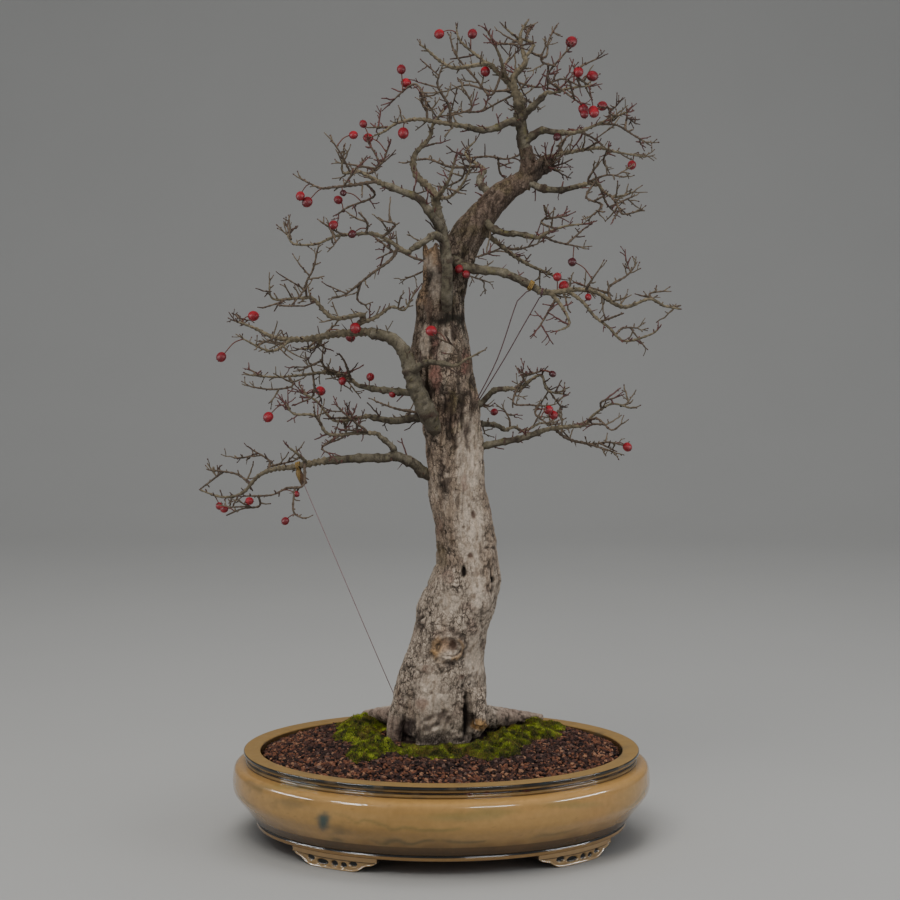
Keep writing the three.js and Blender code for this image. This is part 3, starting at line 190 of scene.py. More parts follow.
# Boughs: what each leaves, its half thickness from root to tip, and its way as across, up and depth
BOUGHS = [
    {"name": "bough_left_low", "on": "trunk", "thick": [5.8, 3.6],
        "path": [[2, 366, 18], [-17, 374, 12], [-27, 383, 6], [-46, 391, -2], [-56, 389, -5], [-79, 389, -12],
            [-116, 386, -18]] },
    {"name": "bough_left_fifth", "on": "bough_left_low", "thick": [3, 2.4],
        "path": [[-46, 391, -2], [-49, 400, -6], [-62, 411, -12]] },
    {"name": "bough_left_fourth", "on": "trunk", "thick": [4.2, 2.8],
        "path": [[-4, 427, 20], [-24, 429, 32], [-47, 426, 46], [-70, 430, 56]] },
    {"name": "bough_left_third", "on": "trunk", "thick": [4, 2.6],
        "path": [[-4, 449, 16], [-31, 454, 24], [-67, 458, 33], [-80, 461, 36]] },
    {"name": "bough_left_mid", "on": "trunk", "thick": [11, 4.8],
        "path": [[0, 412, 4], [-13, 432, -9], [-22, 452, -15], [-30, 474, -18], [-38, 496, -18],
                 [-51, 509, -16],
            [-70, 514, -13]] },
    {"name": "bough_front_stub", "on": "bough_left_mid", "thick": [4, 2.2],
        "path": [[-30, 474, -18], [-22, 481, -31], [-11, 485, -38], [9, 482, -42]] },
    {"name": "bough_right_low", "on": "trunk", "thick": [4, 2.6],
        "path": [[20, 397, 18], [42, 401, 12], [61, 405, 8], [81, 409, 2], [101, 416, -3]] },
    {"name": "bough_right_second", "on": "trunk", "thick": [3.4, 2.2],
        "path": [[20, 424, 22], [41, 423, 34], [54, 422, 46], [62, 418, 56]] },
    {"name": "bough_right_third", "on": "trunk", "thick": [3.6, 2.4],
        "path": [[18, 436, 12], [40, 444, 6], [52, 456, 0], [65, 458, -6]] },
    {"name": "bough_right_mid", "on": "trunk", "thick": [5.4, 3.4],
        "path": [[12, 590, 8], [21, 581, -10], [40, 577, -18], [59, 575, -22], [81, 566, -24],
                 [97, 557, -24]] },
    {"name": "bough_right_upper", "on": "trunk", "thick": [3.6, 2.3],
        "path": [[40, 630, 16], [51, 619, 4], [63, 614, -2], [77, 613, -6], [93, 610, -9]] },
    {"name": "bough_front", "on": "trunk", "thick": [7, 5.2],
        "path": [[5, 532, 0], [6, 548, -15], [6, 570, -20], [5, 589, -23], [2, 612, -23], [-4, 637, -20]] },
    {"name": "bough_upper_left", "on": "bough_front", "thick": [4.6, 3],
        "path": [[1, 617, -23], [-12, 635, -33], [-22, 648, -33], [-40, 656, -32], [-56, 662, -30]] },
    {"name": "bough_upper_left_low", "on": "bough_front", "thick": [3.8, 2.6],
        "path": [[3, 606, -23], [-7, 612, -34], [-16, 606, -40], [-31, 597, -43]] },
    {"name": "bough_top", "on": "trunk", "thick": [6.6, 5],
        "path": [[85, 669, 20], [87, 684, 16], [82, 706, 12], [79, 729, 8], [77, 742, 6]] },
    {"name": "bough_top_left", "on": "bough_top", "thick": [3.8, 2.7],
        "path": [[80, 722, 9], [69, 725, -3], [54, 719, -8], [40, 717, -11], [26, 720, -13]] },
    {"name": "bough_top_right", "on": "bough_top", "thick": [3.8, 2.4],
        "path": [[80, 730, 8], [92, 741, -5], [103, 752, -10]] },
    {"name": "bough_right_top", "on": "bough_top", "thick": [3.6, 2.4],
        "path": [[83, 704, 12], [99, 716, 4], [112, 715, 0], [127, 714, -3]] },
    {"name": "bough_right_crown", "on": "trunk", "thick": [3.8, 2.4],
        "path": [[84, 667, 20], [100, 659, 12], [119, 657, 5], [137, 661, 0]] },
    {"name": "bough_back_low", "on": "trunk", "thick": [4.6, 2.8],
        "path": [[12, 409, 16], [6, 416, 52], [-6, 424, 80], [-12, 430, 108]] },
    {"name": "bough_back_mid", "on": "trunk", "thick": [4.8, 2.8],
        "path": [[1, 549, 10], [8, 560, 46], [2, 572, 76], [8, 578, 104]] },
    {"name": "bough_back_upper", "on": "trunk", "thick": [4.6, 2.8],
        "path": [[50, 643, 19], [46, 656, 46], [38, 664, 70], [42, 676, 92]] },
    {"name": "bough_top_back", "on": "bough_top", "thick": [3.8, 2.5],
        "path": [[82, 709, 11], [76, 730, 30], [82, 745, 50], [78, 752, 68]] },
]

# Masses of twigs: the limb each meets, how far its twigs fan, its measured arms and its haws
MASSES = [
    {"name": "twigs_left_low", "on": "bough_left_low", "seed": 11, "fan": 52,
        "arms": [
            [[-148, 380, -12], [-183, 371, 0], [-199, 354, 6], [-219, 350, 10], [-241, 357, 12]],
            [[-205, 373, 18], [-232, 377, 26]],
            [[-172, 386, 18], [-189, 397, 24]],
            [[-140, 390, -26], [-153, 400, -34]],
            [[-138, 362, -32], [-170, 352, -42], [-196, 351, -48]],
            [[-148, 336, -50], [-139, 329, -54]],
            [[-182, 341, -34], [-214, 332, -24]],
        ],
        "haws": [[-222, 341, 3.8], [-217, 338, 3.8], [-192, 346, 3.8], [-156, 326, 4], [-145, 353, 3.2]] },
    {"name": "twigs_left_fifth", "on": "bough_left_fifth", "seed": 12, "fan": 26,
        "arms": [
            [[-84, 414, -18], [-113, 413, -24], [-126, 431, -26], [-147, 433, -28], [-156, 443, -30]],
            [[-119, 400, -30], [-113, 394, -34]],
            [[-76, 417, -22], [-93, 430, -36], [-104, 441, -42]],
        ],
        "haws": [[-173, 430, 5]] },
    {"name": "twigs_left_fourth", "on": "bough_left_fourth", "seed": 13, "fan": 34,
        "arms": [
            [[-88, 428, 62], [-108, 427, 70], [-125, 446, 78], [-142, 455, 84]],
            [[-96, 412, 80], [-112, 404, 92]],
        ],
        "haws": [[-121, 456, 5]] },
    {"name": "twigs_left_third", "on": "bough_left_third", "seed": 14, "fan": 38,
        "arms": [
            [[-96, 471, 38], [-139, 472, 42], [-166, 470, 40], [-192, 472, 38]],
            [[-149, 461, 28], [-189, 460, 20]],
            [[-118, 482, 30], [-119, 492, 26]],
            [[-96, 484, 20], [-101, 492, 14]],
            [[-128, 452, 30], [-142, 444, 24]],
        ],
        "haws": [[-99, 466, 4]] },
    {"name": "twigs_left_mid", "on": "bough_left_mid", "seed": 15, "fan": 62,
        "arms": [
            [[-106, 513, -10], [-134, 508, -8], [-165, 509, -4], [-187, 519, 0], [-206, 526, 4]],
            [[-78, 532, -20], [-108, 529, -28], [-128, 548, -34], [-141, 549, -38], [-168, 548, -42],
             [-172, 563, -44]],
            [[-163, 542, -60], [-137, 541, -54]],
            [[-170, 496, -22], [-198, 508, -30]],
            [[-125, 500, 14], [-142, 498, 26]],
            [[-135, 564, -46], [-128, 578, -50], [-124, 597, -52]],
            [[-50, 540, -26], [-37, 537, -30], [-29, 550, -32]],
        ],
        "haws": [[-188, 531, 5.2], [-86, 519, 5.4], [-91, 510, 5]] },
    {"name": "twigs_front", "on": "bough_front_stub", "seed": 16, "fan": 0,
        "arms": [
            [[26, 488, -46], [41, 496, -50]],
            [[14, 500, -50], [-2, 508, -52]],
        ],
        "haws": [[-10, 516, 5.2]] },
    {"name": "twigs_right_low", "on": "bough_right_low", "seed": 17, "fan": 46,
        "arms": [
            [[121, 420, -8], [143, 422, -12], [151, 431, -14], [170, 443, -16], [189, 439, -18]],
            [[160, 445, -28], [173, 449, -34]],
            [[157, 428, -32], [170, 417, -42], [180, 423, -48]],
            [[127, 408, 8], [150, 403, 20], [181, 402, 28]],
            [[160, 399, 4], [172, 395, -2]],
        ],
        "haws": [[186, 400, 4.8]] },
    {"name": "twigs_right_second", "on": "bough_right_second", "seed": 18, "fan": 30,
        "arms": [
            [[73, 420, 64], [83, 416, 72], [100, 424, 82], [112, 420, 94]],
            [[68, 428, 70], [63, 437, 78]],
        ],
        "haws": [[53, 435, 3.8]] },
    {"name": "twigs_right_third", "on": "bough_right_third", "seed": 19, "fan": 30,
        "arms": [
            [[78, 459, -10], [99, 472, -14], [106, 457, -18], [122, 453, -22]],
            [[82, 466, -14], [81, 475, -18]],
            [[72, 444, -26], [89, 442, -34], [105, 441, -40]],
            [[94, 433, -44], [105, 424, -50]],
            [[113, 449, -8], [119, 441, 0]],
        ],
        "haws": [[111, 473, 3.2], [107, 437, 4.4], [112, 432, 4.4]] },
    {"name": "twigs_right_mid", "on": "bough_right_mid", "seed": 20, "fan": 60,
        "arms": [
            [[116, 555, -25], [156, 554, -22], [182, 540, -16], [208, 548, -10], [239, 538, -4]],
            [[168, 560, -10], [185, 571, -2], [193, 580, 4]],
            [[146, 560, -32], [156, 575, -38]],
            [[208, 553, 2], [223, 556, 8]],
            [[153, 531, -34], [167, 520, -40], [183, 506, -46], [208, 512, -50], [216, 517, -54]],
            [[128, 523, -44], [116, 516, -52]],
            [[107, 535, -30], [98, 520, -34]],
            [[182, 519, -30], [196, 519, -22]],
        ],
        "haws": [[123, 561, 5.2], [131, 585, 4], [147, 550, 3.2]] },
    {"name": "twigs_right_hanging", "on": "trunk", "seed": 21, "fan": 0,
        "arms": [
            [[36, 620, 17], [54, 606, 30], [73, 591, 38], [90, 581, 44], [107, 574, 50], [116, 569, 56]],
            [[78, 598, 60], [96, 603, 78]],
        ],
        "haws": [] },
    {"name": "twigs_right_upper", "on": "bough_right_upper", "seed": 22, "fan": 40,
        "arms": [
            [[107, 615, -12], [125, 621, -16], [143, 623, -20]],
            [[112, 606, -2], [139, 600, 8]],
            [[100, 624, -30], [108, 632, -44]],
        ],
        "haws": [] },
    {"name": "twigs_upper_mid", "on": "bough_front", "seed": 23, "fan": 30,
        "arms": [
            [[-8, 655, -10], [-25, 672, -6], [-27, 691, -6], [-12, 709, -6], [-8, 723, -4], [3, 737, -2]],
            [[-2, 652, -34], [8, 668, -48], [14, 690, -58]],
            [[8, 650, -10], [22, 664, -16], [30, 684, -22]],
        ],
        "haws": [] },
    {"name": "twigs_upper_left", "on": "bough_upper_left", "seed": 24, "fan": 46,
        "arms": [
            [[-68, 668, -30], [-84, 676, -32], [-98, 674, -34], [-99, 688, -36]],
            [[-88, 662, -44], [-107, 660, -50], [-121, 659, -54], [-140, 668, -58]],
            [[-67, 651, -16], [-93, 640, -10], [-103, 633, -6]],
            [[-62, 680, -24], [-65, 691, -20], [-74, 706, -16]],
            [[-101, 694, -44], [-109, 706, -48]],
            [[-58, 686, -14], [-52, 703, -8]],
        ],
        "haws": [[-78, 723, 3.8], [-88, 712, 4.2], [-73, 709, 4.8], [-141, 651, 4.5], [-134, 645, 5],
                 [-103, 647, 4.2],
            [-98, 654, 3.2]] },
    {"name": "twigs_upper_left_low", "on": "bough_upper_left_low", "seed": 25, "fan": 36,
        "arms": [
            [[-52, 606, -47], [-67, 613, -50], [-84, 613, -52], [-125, 603, -50], [-147, 603, -48],
             [-154, 612, -46]],
            [[-50, 588, -44], [-70, 573, -42], [-91, 556, -40], [-99, 551, -40]],
            [[-84, 548, -34], [-76, 542, -30]],
            [[-104, 615, -60], [-120, 625, -66]],
            [[-74, 624, -60], [-82, 634, -68]],
            [[-46, 622, -58], [-58, 626, -64]],
        ],
        "haws": [[-108, 622, 4.6], [-89, 613, 4]] },
    {"name": "twigs_top_left", "on": "bough_top_left", "seed": 26, "fan": 44,
        "arms": [
            [[-4, 725, -16], [-44, 724, -20], [-58, 715, -22], [-66, 712, -24]],
            [[8, 740, -22], [0, 754, -28], [-4, 764, -32], [0, 778, -36]],
            [[-16, 746, -14], [-27, 763, -8], [-50, 745, -2]],
            [[30, 739, -22], [24, 756, -30]],
            [[40, 736, -2], [46, 746, 4]],
            [[-20, 748, -30], [-7, 752, -42]],
        ],
        "haws": [[-40, 777.5, 4.6], [-35, 764, 4.6], [-38, 714, 5.5]] },
    {"name": "twigs_top", "on": "bough_top", "seed": 27, "fan": 58,
        "arms": [
            [[72, 768, 4], [84, 784, 4], [82, 793, 6], [79, 812, 8], [87, 827, 10]],
            [[56, 775, 0], [46, 783, -6], [14, 779, -14], [-15, 798, -18], [-21, 802, -20]],
            [[40, 788, 6], [19, 806, 12], [15, 821, 16]],
            [[58, 792, -12], [46, 816, -20]],
            [[50, 752, 20], [33, 770, 26], [15, 791, 30], [9, 809, 34]],
            [[92, 803, 14], [62, 821, 14]],
            [[104, 790, 18], [115, 821, 24]],
        ],
        "haws": [[-2, 813, 4.8], [31, 813, 4.8], [44, 775.5, 4.8]] },
    {"name": "twigs_top_right", "on": "bough_top_right", "seed": 28, "fan": 48,
        "arms": [
            [[112, 754, -12], [129, 759, -16], [149, 761, -20]],
            [[106, 770, -16], [122, 792, -22], [129, 799, -26]],
            [[136, 777, -26], [155, 788, -32]],
            [[130, 750, -26], [136, 746, -32]],
            [[100, 786, -24], [104, 800, -30]],
        ],
        "haws": [[130, 805, 5.3], [137, 775, 5], [151, 771, 5.3], [142, 738, 5], [152, 736, 5]] },
    {"name": "twigs_right_top", "on": "bough_right_top", "seed": 29, "fan": 40,
        "arms": [
            [[145, 718, -6], [166, 727, -10], [186, 735, -14]],
            [[175, 722, 0], [192, 712, 6], [204, 705, 10]],
            [[150, 710, 8], [157, 705, 14]],
            [[120, 730, -14], [112, 735, -24]],
            [[168, 734, -22], [175, 741, -30]],
        ],
        "haws": [[116, 710.5, 3.6]] },
    {"name": "twigs_trunk_tip", "on": "trunk", "seed": 30, "fan": 40,
        "arms": [
            [[100, 682, 20], [116, 692, 26], [129, 695, 30], [157, 699, 36], [175, 695, 40], [203, 690, 44]],
            [[162, 686, 50], [166, 679, 56]],
            [[118, 702, 40], [128, 712, 54]],
        ],
        "haws": [[190.5, 682, 4.5]] },
    {"name": "twigs_right_crown", "on": "bough_right_crown", "seed": 31, "fan": 42,
        "arms": [
            [[155, 664, -4], [163, 655, -8], [174, 650, -12], [192, 655, -16]],
            [[147, 668, -6], [154, 679, -10]],
            [[165, 644, 6], [172, 636, 12]],
            [[176, 642, -24], [181, 633, -30], [194, 635, -36]],
            [[166, 672, -16], [182, 670, -22]],
            [[145, 650, -20], [161, 642, -30], [150, 631, -36]],
        ],
        "haws": [] },
    {"name": "twigs_back_low", "on": "bough_back_low", "seed": 32, "fan": 0,
        "arms": [
            [[-20, 436, 128], [-14, 442, 150], [-26, 448, 168]],
            [[-44, 438, 124], [-66, 446, 136]],
            [[10, 438, 132], [32, 444, 146], [44, 440, 158]],
            [[-36, 430, 150], [-52, 426, 166]],
            [[-6, 422, 142], [14, 418, 160]],
        ],
        "haws": [] },
    {"name": "twigs_back_mid", "on": "bough_back_mid", "seed": 33, "fan": 0,
        "arms": [
            [[2, 586, 122], [10, 592, 142], [-2, 600, 160]],
            [[-24, 588, 118], [-44, 596, 132], [-60, 590, 142]],
            [[34, 590, 122], [56, 596, 136], [74, 592, 146]],
            [[-18, 576, 134], [-36, 568, 152]],
            [[24, 574, 136], [44, 566, 152]],
        ],
        "haws": [] },
    {"name": "twigs_back_upper", "on": "bough_back_upper", "seed": 34, "fan": 0,
        "arms": [
            [[34, 684, 106], [24, 694, 122], [34, 706, 134]],
            [[10, 680, 100], [-14, 688, 110], [-36, 684, 118]],
            [[66, 688, 100], [86, 694, 112], [104, 688, 124]],
            [[20, 668, 116], [4, 660, 132]],
            [[60, 672, 116], [76, 664, 132]],
        ],
        "haws": [] },
    {"name": "twigs_top_back", "on": "bough_top_back", "seed": 35, "fan": 0,
        "arms": [
            [[72, 762, 80], [62, 776, 92], [68, 790, 102]],
            [[50, 756, 76], [26, 762, 86], [6, 756, 96]],
            [[100, 760, 76], [120, 768, 88], [136, 762, 98]],
            [[84, 748, 88], [96, 740, 106]],
            [[56, 744, 90], [42, 736, 106]],
        ],
        "haws": [] },
]

# The guy strings and the sleeve
GUYS = [
    {"name": "guy_sleeve_left", "slot": "sleeve", "thick": 3.6,
     "path": [[-142, 373, -14], [-137, 363, -12]] },
    {"name": "guy_string_left", "slot": "string", "thick": 0.6,
     "path": [[-137, 362, -12], [-58, 177, 60], [-32, 119, 100]] },
    {"name": "guy_string_right_upper", "slot": "string", "thick": 0.6,
        "path": [[85, 555, -24], [76, 546, -22], [56, 488, -12], [32, 441, 4]] },
    {"name": "guy_string_right_lower", "slot": "string", "thick": 0.6,
        "path": [[98, 549, -20], [79, 516, -12], [63, 488, -2], [34, 441, 12]] },
]

# Moss cushions: x, y, half length, half width and height
MOSS_PATCHES = {
    "moss_left": [[-84, 62, 26, 34, 11], [-86, 22, 24, 30, 10], [-72, -12, 19, 21, 9], [-77, -50, 19, 22, 8],
        [-54, -32, 13, 14, 10]],
    "moss_front": [[-21, -46, 20, 16, 8], [4, -52, 22, 18, 8]],
    "moss_right": [[42, -44, 20, 26, 9], [60, -34, 20, 28, 9], [70, 0, 24, 27, 10], [92, 30, 28, 28, 10],
        [106, 60, 24, 24, 9]],
}


def place(spot):
    """Turns a place in the front view into millimetres."""
    across, up, depth = spot
    rightward = (across - EYE["across"]) / EYE["distance"]
    upward = (up - EYE["up"]) / EYE["distance"]
    sine = math.sin(EYE["down"])
    cosine = math.cos(EYE["down"])
    forward = cosine + upward * sine
    rise = upward * cosine - sine
    run = (depth + EYE["distance"]) / forward
    return Vector((EYE["across"] + rightward * run, depth, EYE["height"] + rise * run))


def sight(points):
    """The across and up of an array of points in the front view."""
    sine = math.sin(EYE["down"])
    cosine = math.cos(EYE["down"])
    run = points[..., 1] + EYE["distance"]
    rise = (points[..., 2] - EYE["height"]) / run
    upward = (rise * cosine + sine) / (cosine - rise * sine)
    forward = cosine + upward * sine
    rightward = (points[..., 0] - EYE["across"]) / run * forward
    return EYE["across"] + rightward * EYE["distance"], EYE["up"] + upward * EYE["distance"]


def numbers(seed):
    """A repeatable row of numbers from 0 to 1."""
    most = 0xFFFFFFFF
    state = [seed & most]

    def draw():
        state[0] = (state[0] + 0x6D2B79F5) & most
        now = state[0]
        mixed = ((now ^ (now >> 15)) * (now | 1)) & most
        mixed ^= (mixed + (((mixed ^ (mixed >> 7)) * (mixed | 61)) & most)) & most
        return ((mixed ^ (mixed >> 14)) & most) / 4294967296
    return draw


def mix(start, end, part):
    return start + (end - start) * part


def rounded(value):
    return math.floor(value + 0.5)


def through(rows, at):
    """A smooth curve through rows of numbers: the row at a place counted in rows."""
    i = min(math.floor(at), len(rows) - 2)
    t = at - i
    before = rows[max(i - 1, 0)]
    after = rows[min(i + 2, len(rows) - 1)]
    found = []
    for k, start in enumerate(rows[i]):
        end = rows[i + 1][k]
        pull = (end - before[k]) / 2
        push = (after[k] - start) / 2
        rest = end - start
        found.append(start + t * (pull + t * (3 * rest - 2 * pull - push + t * (pull + push - 2 * rest))))
    return found


def stepped(rows, step):
    """Rows a step apart along a way, the first three numbers of each being its place."""
    found = []
    for i in range(len(rows) - 1):
        length = (Vector(rows[i + 1][:3]) - Vector(rows[i][:3])).length
        count = max(1, rounded(length / step))
        found.extend(through(rows, i + k / count) for k in range(count))
    found.append(list(rows[-1]))
    return found


def spots_of(rows):
    """The places of rows that begin with x, y and z."""
    return [Vector(row[:3]) for row in rows]


def rows_along(points, radii, step):
    """Rows of x, y, z and half width a step apart along a way of wood."""
    return stepped([[*p, r] for p, r in zip(points, radii)], step)


def as_array(points):
    return np.array([tuple(p) for p in points])


def limb_way(limb, step):
    """The points and radii of one tapering limb."""
    points = [Vector(row) for row in stepped([list(place(spot)) for spot in limb["path"]], step)]
    last = len(points) - 1
    radii = [mix(limb["thick"][0], limb["thick"][1], i / last) for i in range(last + 1)]
    return points, radii


def frames_along(points, first_side=(1, 0, 0)):
    """For each point of a way: its side, its other side and its heading, turned as little as can be."""
    side = Vector(first_side)
    found = []
    for i in range(len(points)):
        along = (points[min(i + 1, len(points) - 1)] - points[max(i - 1, 0)]).normalized()
        side = side - along * side.dot(along)
        if side.length < 0.2:
            side = Vector((0, 1, 0)) - along * along.y
        side = side.normalized()
        found.append((side, along.cross(side), along))
    return found


def rings_along(points, radii, sides):
    rings = []
    for point, radius, (side, other, _) in zip(points, radii, frames_along(points)):
        turns = [FULL_TURN * k / sides for k in range(sides)]
        rings.append([point + side * (radius * math.cos(t)) + other * (radius * math.sin(t)) for t in turns])
    return rings


def trunk_swell(angle, height):
    """The trunk swells and sinks a little round its length, more where the roots leave it."""
    flare = np.exp(-(height - GROUND_HEIGHT) / FLARE_HEIGHT)
    flutes = SWELL_THREE * np.sin(3 * angle + height / 50) + SWELL_FIVE * np.sin(5 * angle - height / 37 + 1)
    return 1 + flutes + SWELL_ROOTS * flare * np.sin(6 * angle + 0.6)


class Standing:
    """What already stands, as round-ended lengths of wood that nothing else may touch."""

    def __init__(self):
        self.starts = []
        self.ends = []
        self.radii = []
        self.owners = []
        self.packed = None

    def stand(self, owner, points, radii):
        for i in range(len(points) - 1):
            self.starts.append(tuple(points[i]))
            self.ends.append(tuple(points[i + 1]))
            self.radii.append(max(radii[i], radii[i + 1]))
            self.owners.append(owner)
        self.packed = None

    def arrays(self):
        if self.packed is None:
            self.packed = (np.array(self.starts), np.array(self.ends), np.array(self.radii),
                           np.array(self.owners))
        return self.packed

    def touched(self, points, radii, owners):
        """Whether a way of wood would touch anything other than what it grows on."""
        starts, ends, thick, names = self.arrays()
        others = ~np.isin(names, owners)
        for i in range(len(points) - 1):
            least = max(radii[i], radii[i + 1]) + TWIG_GAP + thick[others]
            if np.any(distances(points[i], points[i + 1], starts[others], ends[others]) < least):
                return True
        return False


def distances(start, end, starts, ends):
    """The least distances between one straight length and each of many."""
    start = np.array(start)
    first = np.array(end) - start
    second = ends - starts
    between = start - starts
    first_square = max(float(first @ first), 1e-9)
    second_square = np.maximum((second * second).sum(axis=1), 1e-9)
    along = second @ first
    first_part = between @ first
    second_part = (second * between).sum(axis=1)
    spread = first_square * second_square - along * along
    safe = np.where(spread > 1e-9, spread, 1)
    s = np.where(spread > 1e-9, (along * second_part - first_part * second_square) / safe, 0)
    s = np.clip(s, 0, 1)
    t = np.clip((along * s + second_part) / second_square, 0, 1)
    s = np.clip((along * t - first_part) / first_square, 0, 1)
    apart = (start + s[:, None] * first) - (starts + t[:, None] * second)
    return np.sqrt((apart * apart).sum(axis=1))


def zigzag(places, draw):
    """A way from one place to the next with a kink at each step, as hawthorn grows from bud to bud."""
    points = [places[0]]
    hand = 1 if draw() < 0.5 else -1
    for start, end in zip(places, places[1:]):
        leg = end - start
        count = max(1, rounded(leg.length / TWIG_STEP))
        sideways = Vector((-leg.z, 0.6 * leg.z - 0.4 * leg.x, leg.x)).normalized()
        for k in range(1, count):
            reach = hand * TWIG_KINK * TWIG_STEP * (0.6 + 0.8 * draw())
            points.append(start + leg * (k / count) + sideways * reach)
            hand = -hand
        points.append(end)
    return points


def taper(points, start, end):
    return [mix(start, end, i / (len(points) - 1)) for i in range(len(points))]


def roots_for(twigs, target, lean):
    """The free lengths of a mass's twigs that a new way may leave from the middle of, the best first."""
    found = []
    for twig in twigs:
        for i in range(1, len(twig["points"])):
            start, end = twig["points"][i - 1], twig["points"][i]
            point = start.lerp(end, 0.5)
            length = (end - start).length
            gone = twig["gone"] + (i - 0.5) * TWIG_STEP
            forward = (target - point).normalized().dot((end - start).normalized())
            if length > SHORTEST_PARENT and i not in twig["children"] and MOST_BACKWARD < forward < MOST_FORWARD:
                cost = (point - target).length + lean * gone
                radius = mix(twig["radii"][i - 1], twig["radii"][i], 0.5)
                found.append({"cost": cost, "twig": twig, "i": i, "point": point, "gone": gone,
                              "radius": radius})
    found.sort(key=lambda root: root["cost"])
    return found[:ROOT_TRIES]


def meets(points, radii, others, skip):
    """Whether a way would meet other twigs of its own mass; skip is the part of its first length left out."""
    if not others or len(points) < 2:
        return False
    starts = np.array([tuple(p) for twig in others for p in twig["points"][:-1]])
    ends = np.array([tuple(p) for twig in others for p in twig["points"][1:]])
    thick = np.array([r for twig in others for r in twig["radii"][:-1]])
    for i in range(len(points) - 1):
        start = points[0].lerp(points[1], skip) if i == 0 else points[i]
        least = max(radii[i], radii[i + 1]) + thick + TWIG_GAP
        if np.any(distances(start, points[i + 1], starts, ends) < least):
            return True
    return False


def grow_mass(mass, start, room, standing):
    """Grows a mass: its measured arms, arms that fan forward and back from the first, haws, then side
    twigs."""
    twigs = []

    def add(points, thick, root, owners, kind):
        radii = taper(points, thick, min(TWIG_TIP_RADIUS, thick))
        own = [twig for twig in twigs if twig is not root.get("twig")]
        parent = [twig for twig in twigs if twig is root.get("twig")]
        if (standing.touched(points, radii, owners) or meets(points, radii, own, 0.3 if parent else 0)
                or meets(points[1:], radii[1:], parent, 0)):
            return False
        twig = {"points": points, "radii": radii, "gone": root["gone"], "children": {}, "kind": kind}
        twigs.append(twig)
        if parent:
            parent[0]["children"][root["i"]] = twig
        return True

    def seed_of(kind, n):
        return 10000 * mass["seed"] + 1000 * kind + n

    def grow_arm(arm, n):
        owners = [mass["name"], mass["on"]] if n == 0 else [mass["name"]]
        roots = [{**start, "gone": 0}] if n == 0 else roots_for(twigs, place(arm[0]), 0.35)
        for root in roots:
            thick = root["radius"] if n == 0 else max(0.75 * root["radius"], LEAST_TWIG_RADIUS)
            for shift in GIVING_WAY:
                shifted = [place((across, up, depth + shift)) for across, up, depth in arm]
                points = zigzag([root.get("neck", root["point"])] + shifted, numbers(seed_of(0, n)))
                if "neck" in root:
                    points = [root["point"]] + points
                if add(points, thick, root, owners, "arm"):
                    return

    for n, arm in enumerate(mass["arms"]):
        grow_arm(arm, n)

    main = twigs[0]
    last = len(main["points"]) - 1
    for n in range(FAN_ARMS if mass["fan"] > 0 else 0):
        draw = numbers(seed_of(1, n))
        reach = (1 if n % 2 == 0 else -1) * mass["fan"] * mix(0.75, 1, draw())
        aim = main["points"][min(last, rounded((n + 1) / FAN_ARMS * last))].copy()
        aim += Vector((aim.x * reach / EYE["distance"], reach, mix(-6, 10, draw())))
        for root in roots_for(twigs, aim, 0.1):
            half = root["point"].lerp(aim, 0.5)
            thick = max(0.7 * root["radius"], LEAST_TWIG_RADIUS)
            if add(zigzag([root["point"], half, aim], draw), thick, root, [mass["name"]], "arm"):
                break

    haws = []
    for across, up, radius in mass["haws"]:
        hung = []
        for twig in twigs:
            for root in roots_for([twig], place((across, up, twig["points"][0].y)), 0):
                middle = place((across, up, root["point"].y + 0.6 * radius))
                gap = abs((middle - root["point"]).length - STALK_LENGTH * radius)
                hung.append({"root": root, "middle": middle, "radius": radius, "gap": gap})
        hung.sort(key=lambda haw: haw["gap"])
        if hung and hung[0]["gap"] < LONGEST_STALK:
            hung[0]["root"]["twig"]["children"][hung[0]["root"]["i"]] = hung[0]
            haws.append(hung[0])

    count = 0
    for parent in list(twigs):
        rings = rings_along(parent["points"], parent["radii"], TWIG_SIDES)
        for i in range(1, len(parent["points"])):
            count += 1
            draw = numbers(seed_of(2, count))
            if i in parent["children"] or draw() > SIDE_TWIG_CHANCE:
                continue
            length = mix(*SIDE_TWIG_LENGTH, draw())
            turn = math.floor(3 * draw())
            point = parent["points"][i - 1].lerp(parent["points"][i], 0.5)
            out = point * -4
            for k in (turn, (turn + 1) % TWIG_SIDES):
                out += rings[i - 1][k] + rings[i][k]
            along = (parent["points"][i] - parent["points"][i - 1]).normalized()
            heading = along * math.cos(SIDE_TWIG_ANGLE) + out.normalized() * math.sin(SIDE_TWIG_ANGLE)
            end = point + heading * length
            if inside(room, end):
                root = {"twig": parent, "i": i, "point": point, "gone": parent["gone"] + i * TWIG_STEP}
                add([point, end], min(0.5 * parent["radii"][i] + 0.3, 1.3), root, [mass["name"]], "side")
    return twigs, haws


def inside(room, point):
    low, high = room
    return all(low[k] <= point[k] <= high[k] for k in range(3))


def room_of(mass, crown):
    """The box round a mass's arms and a little more, inside the box of the whole crown."""
    spots = [place(spot) for arm in mass["arms"] for spot in arm]
    more = (TWIG_ROOM, TWIG_ROOM + mass["fan"], TWIG_ROOM)
    low = [max(min(p[k] for p in spots) - more[k], crown[0][k]) for k in range(3)]
    high = [min(max(p[k] for p in spots) + more[k], crown[1][k]) for k in range(3)]
    return low, high


def trunk_axis(step):
    """The axis of the trunk as rows of x, y, z and half width."""
    return stepped([[*place(station[:3]), station[3]] for station in TRUNK_STATIONS], step)


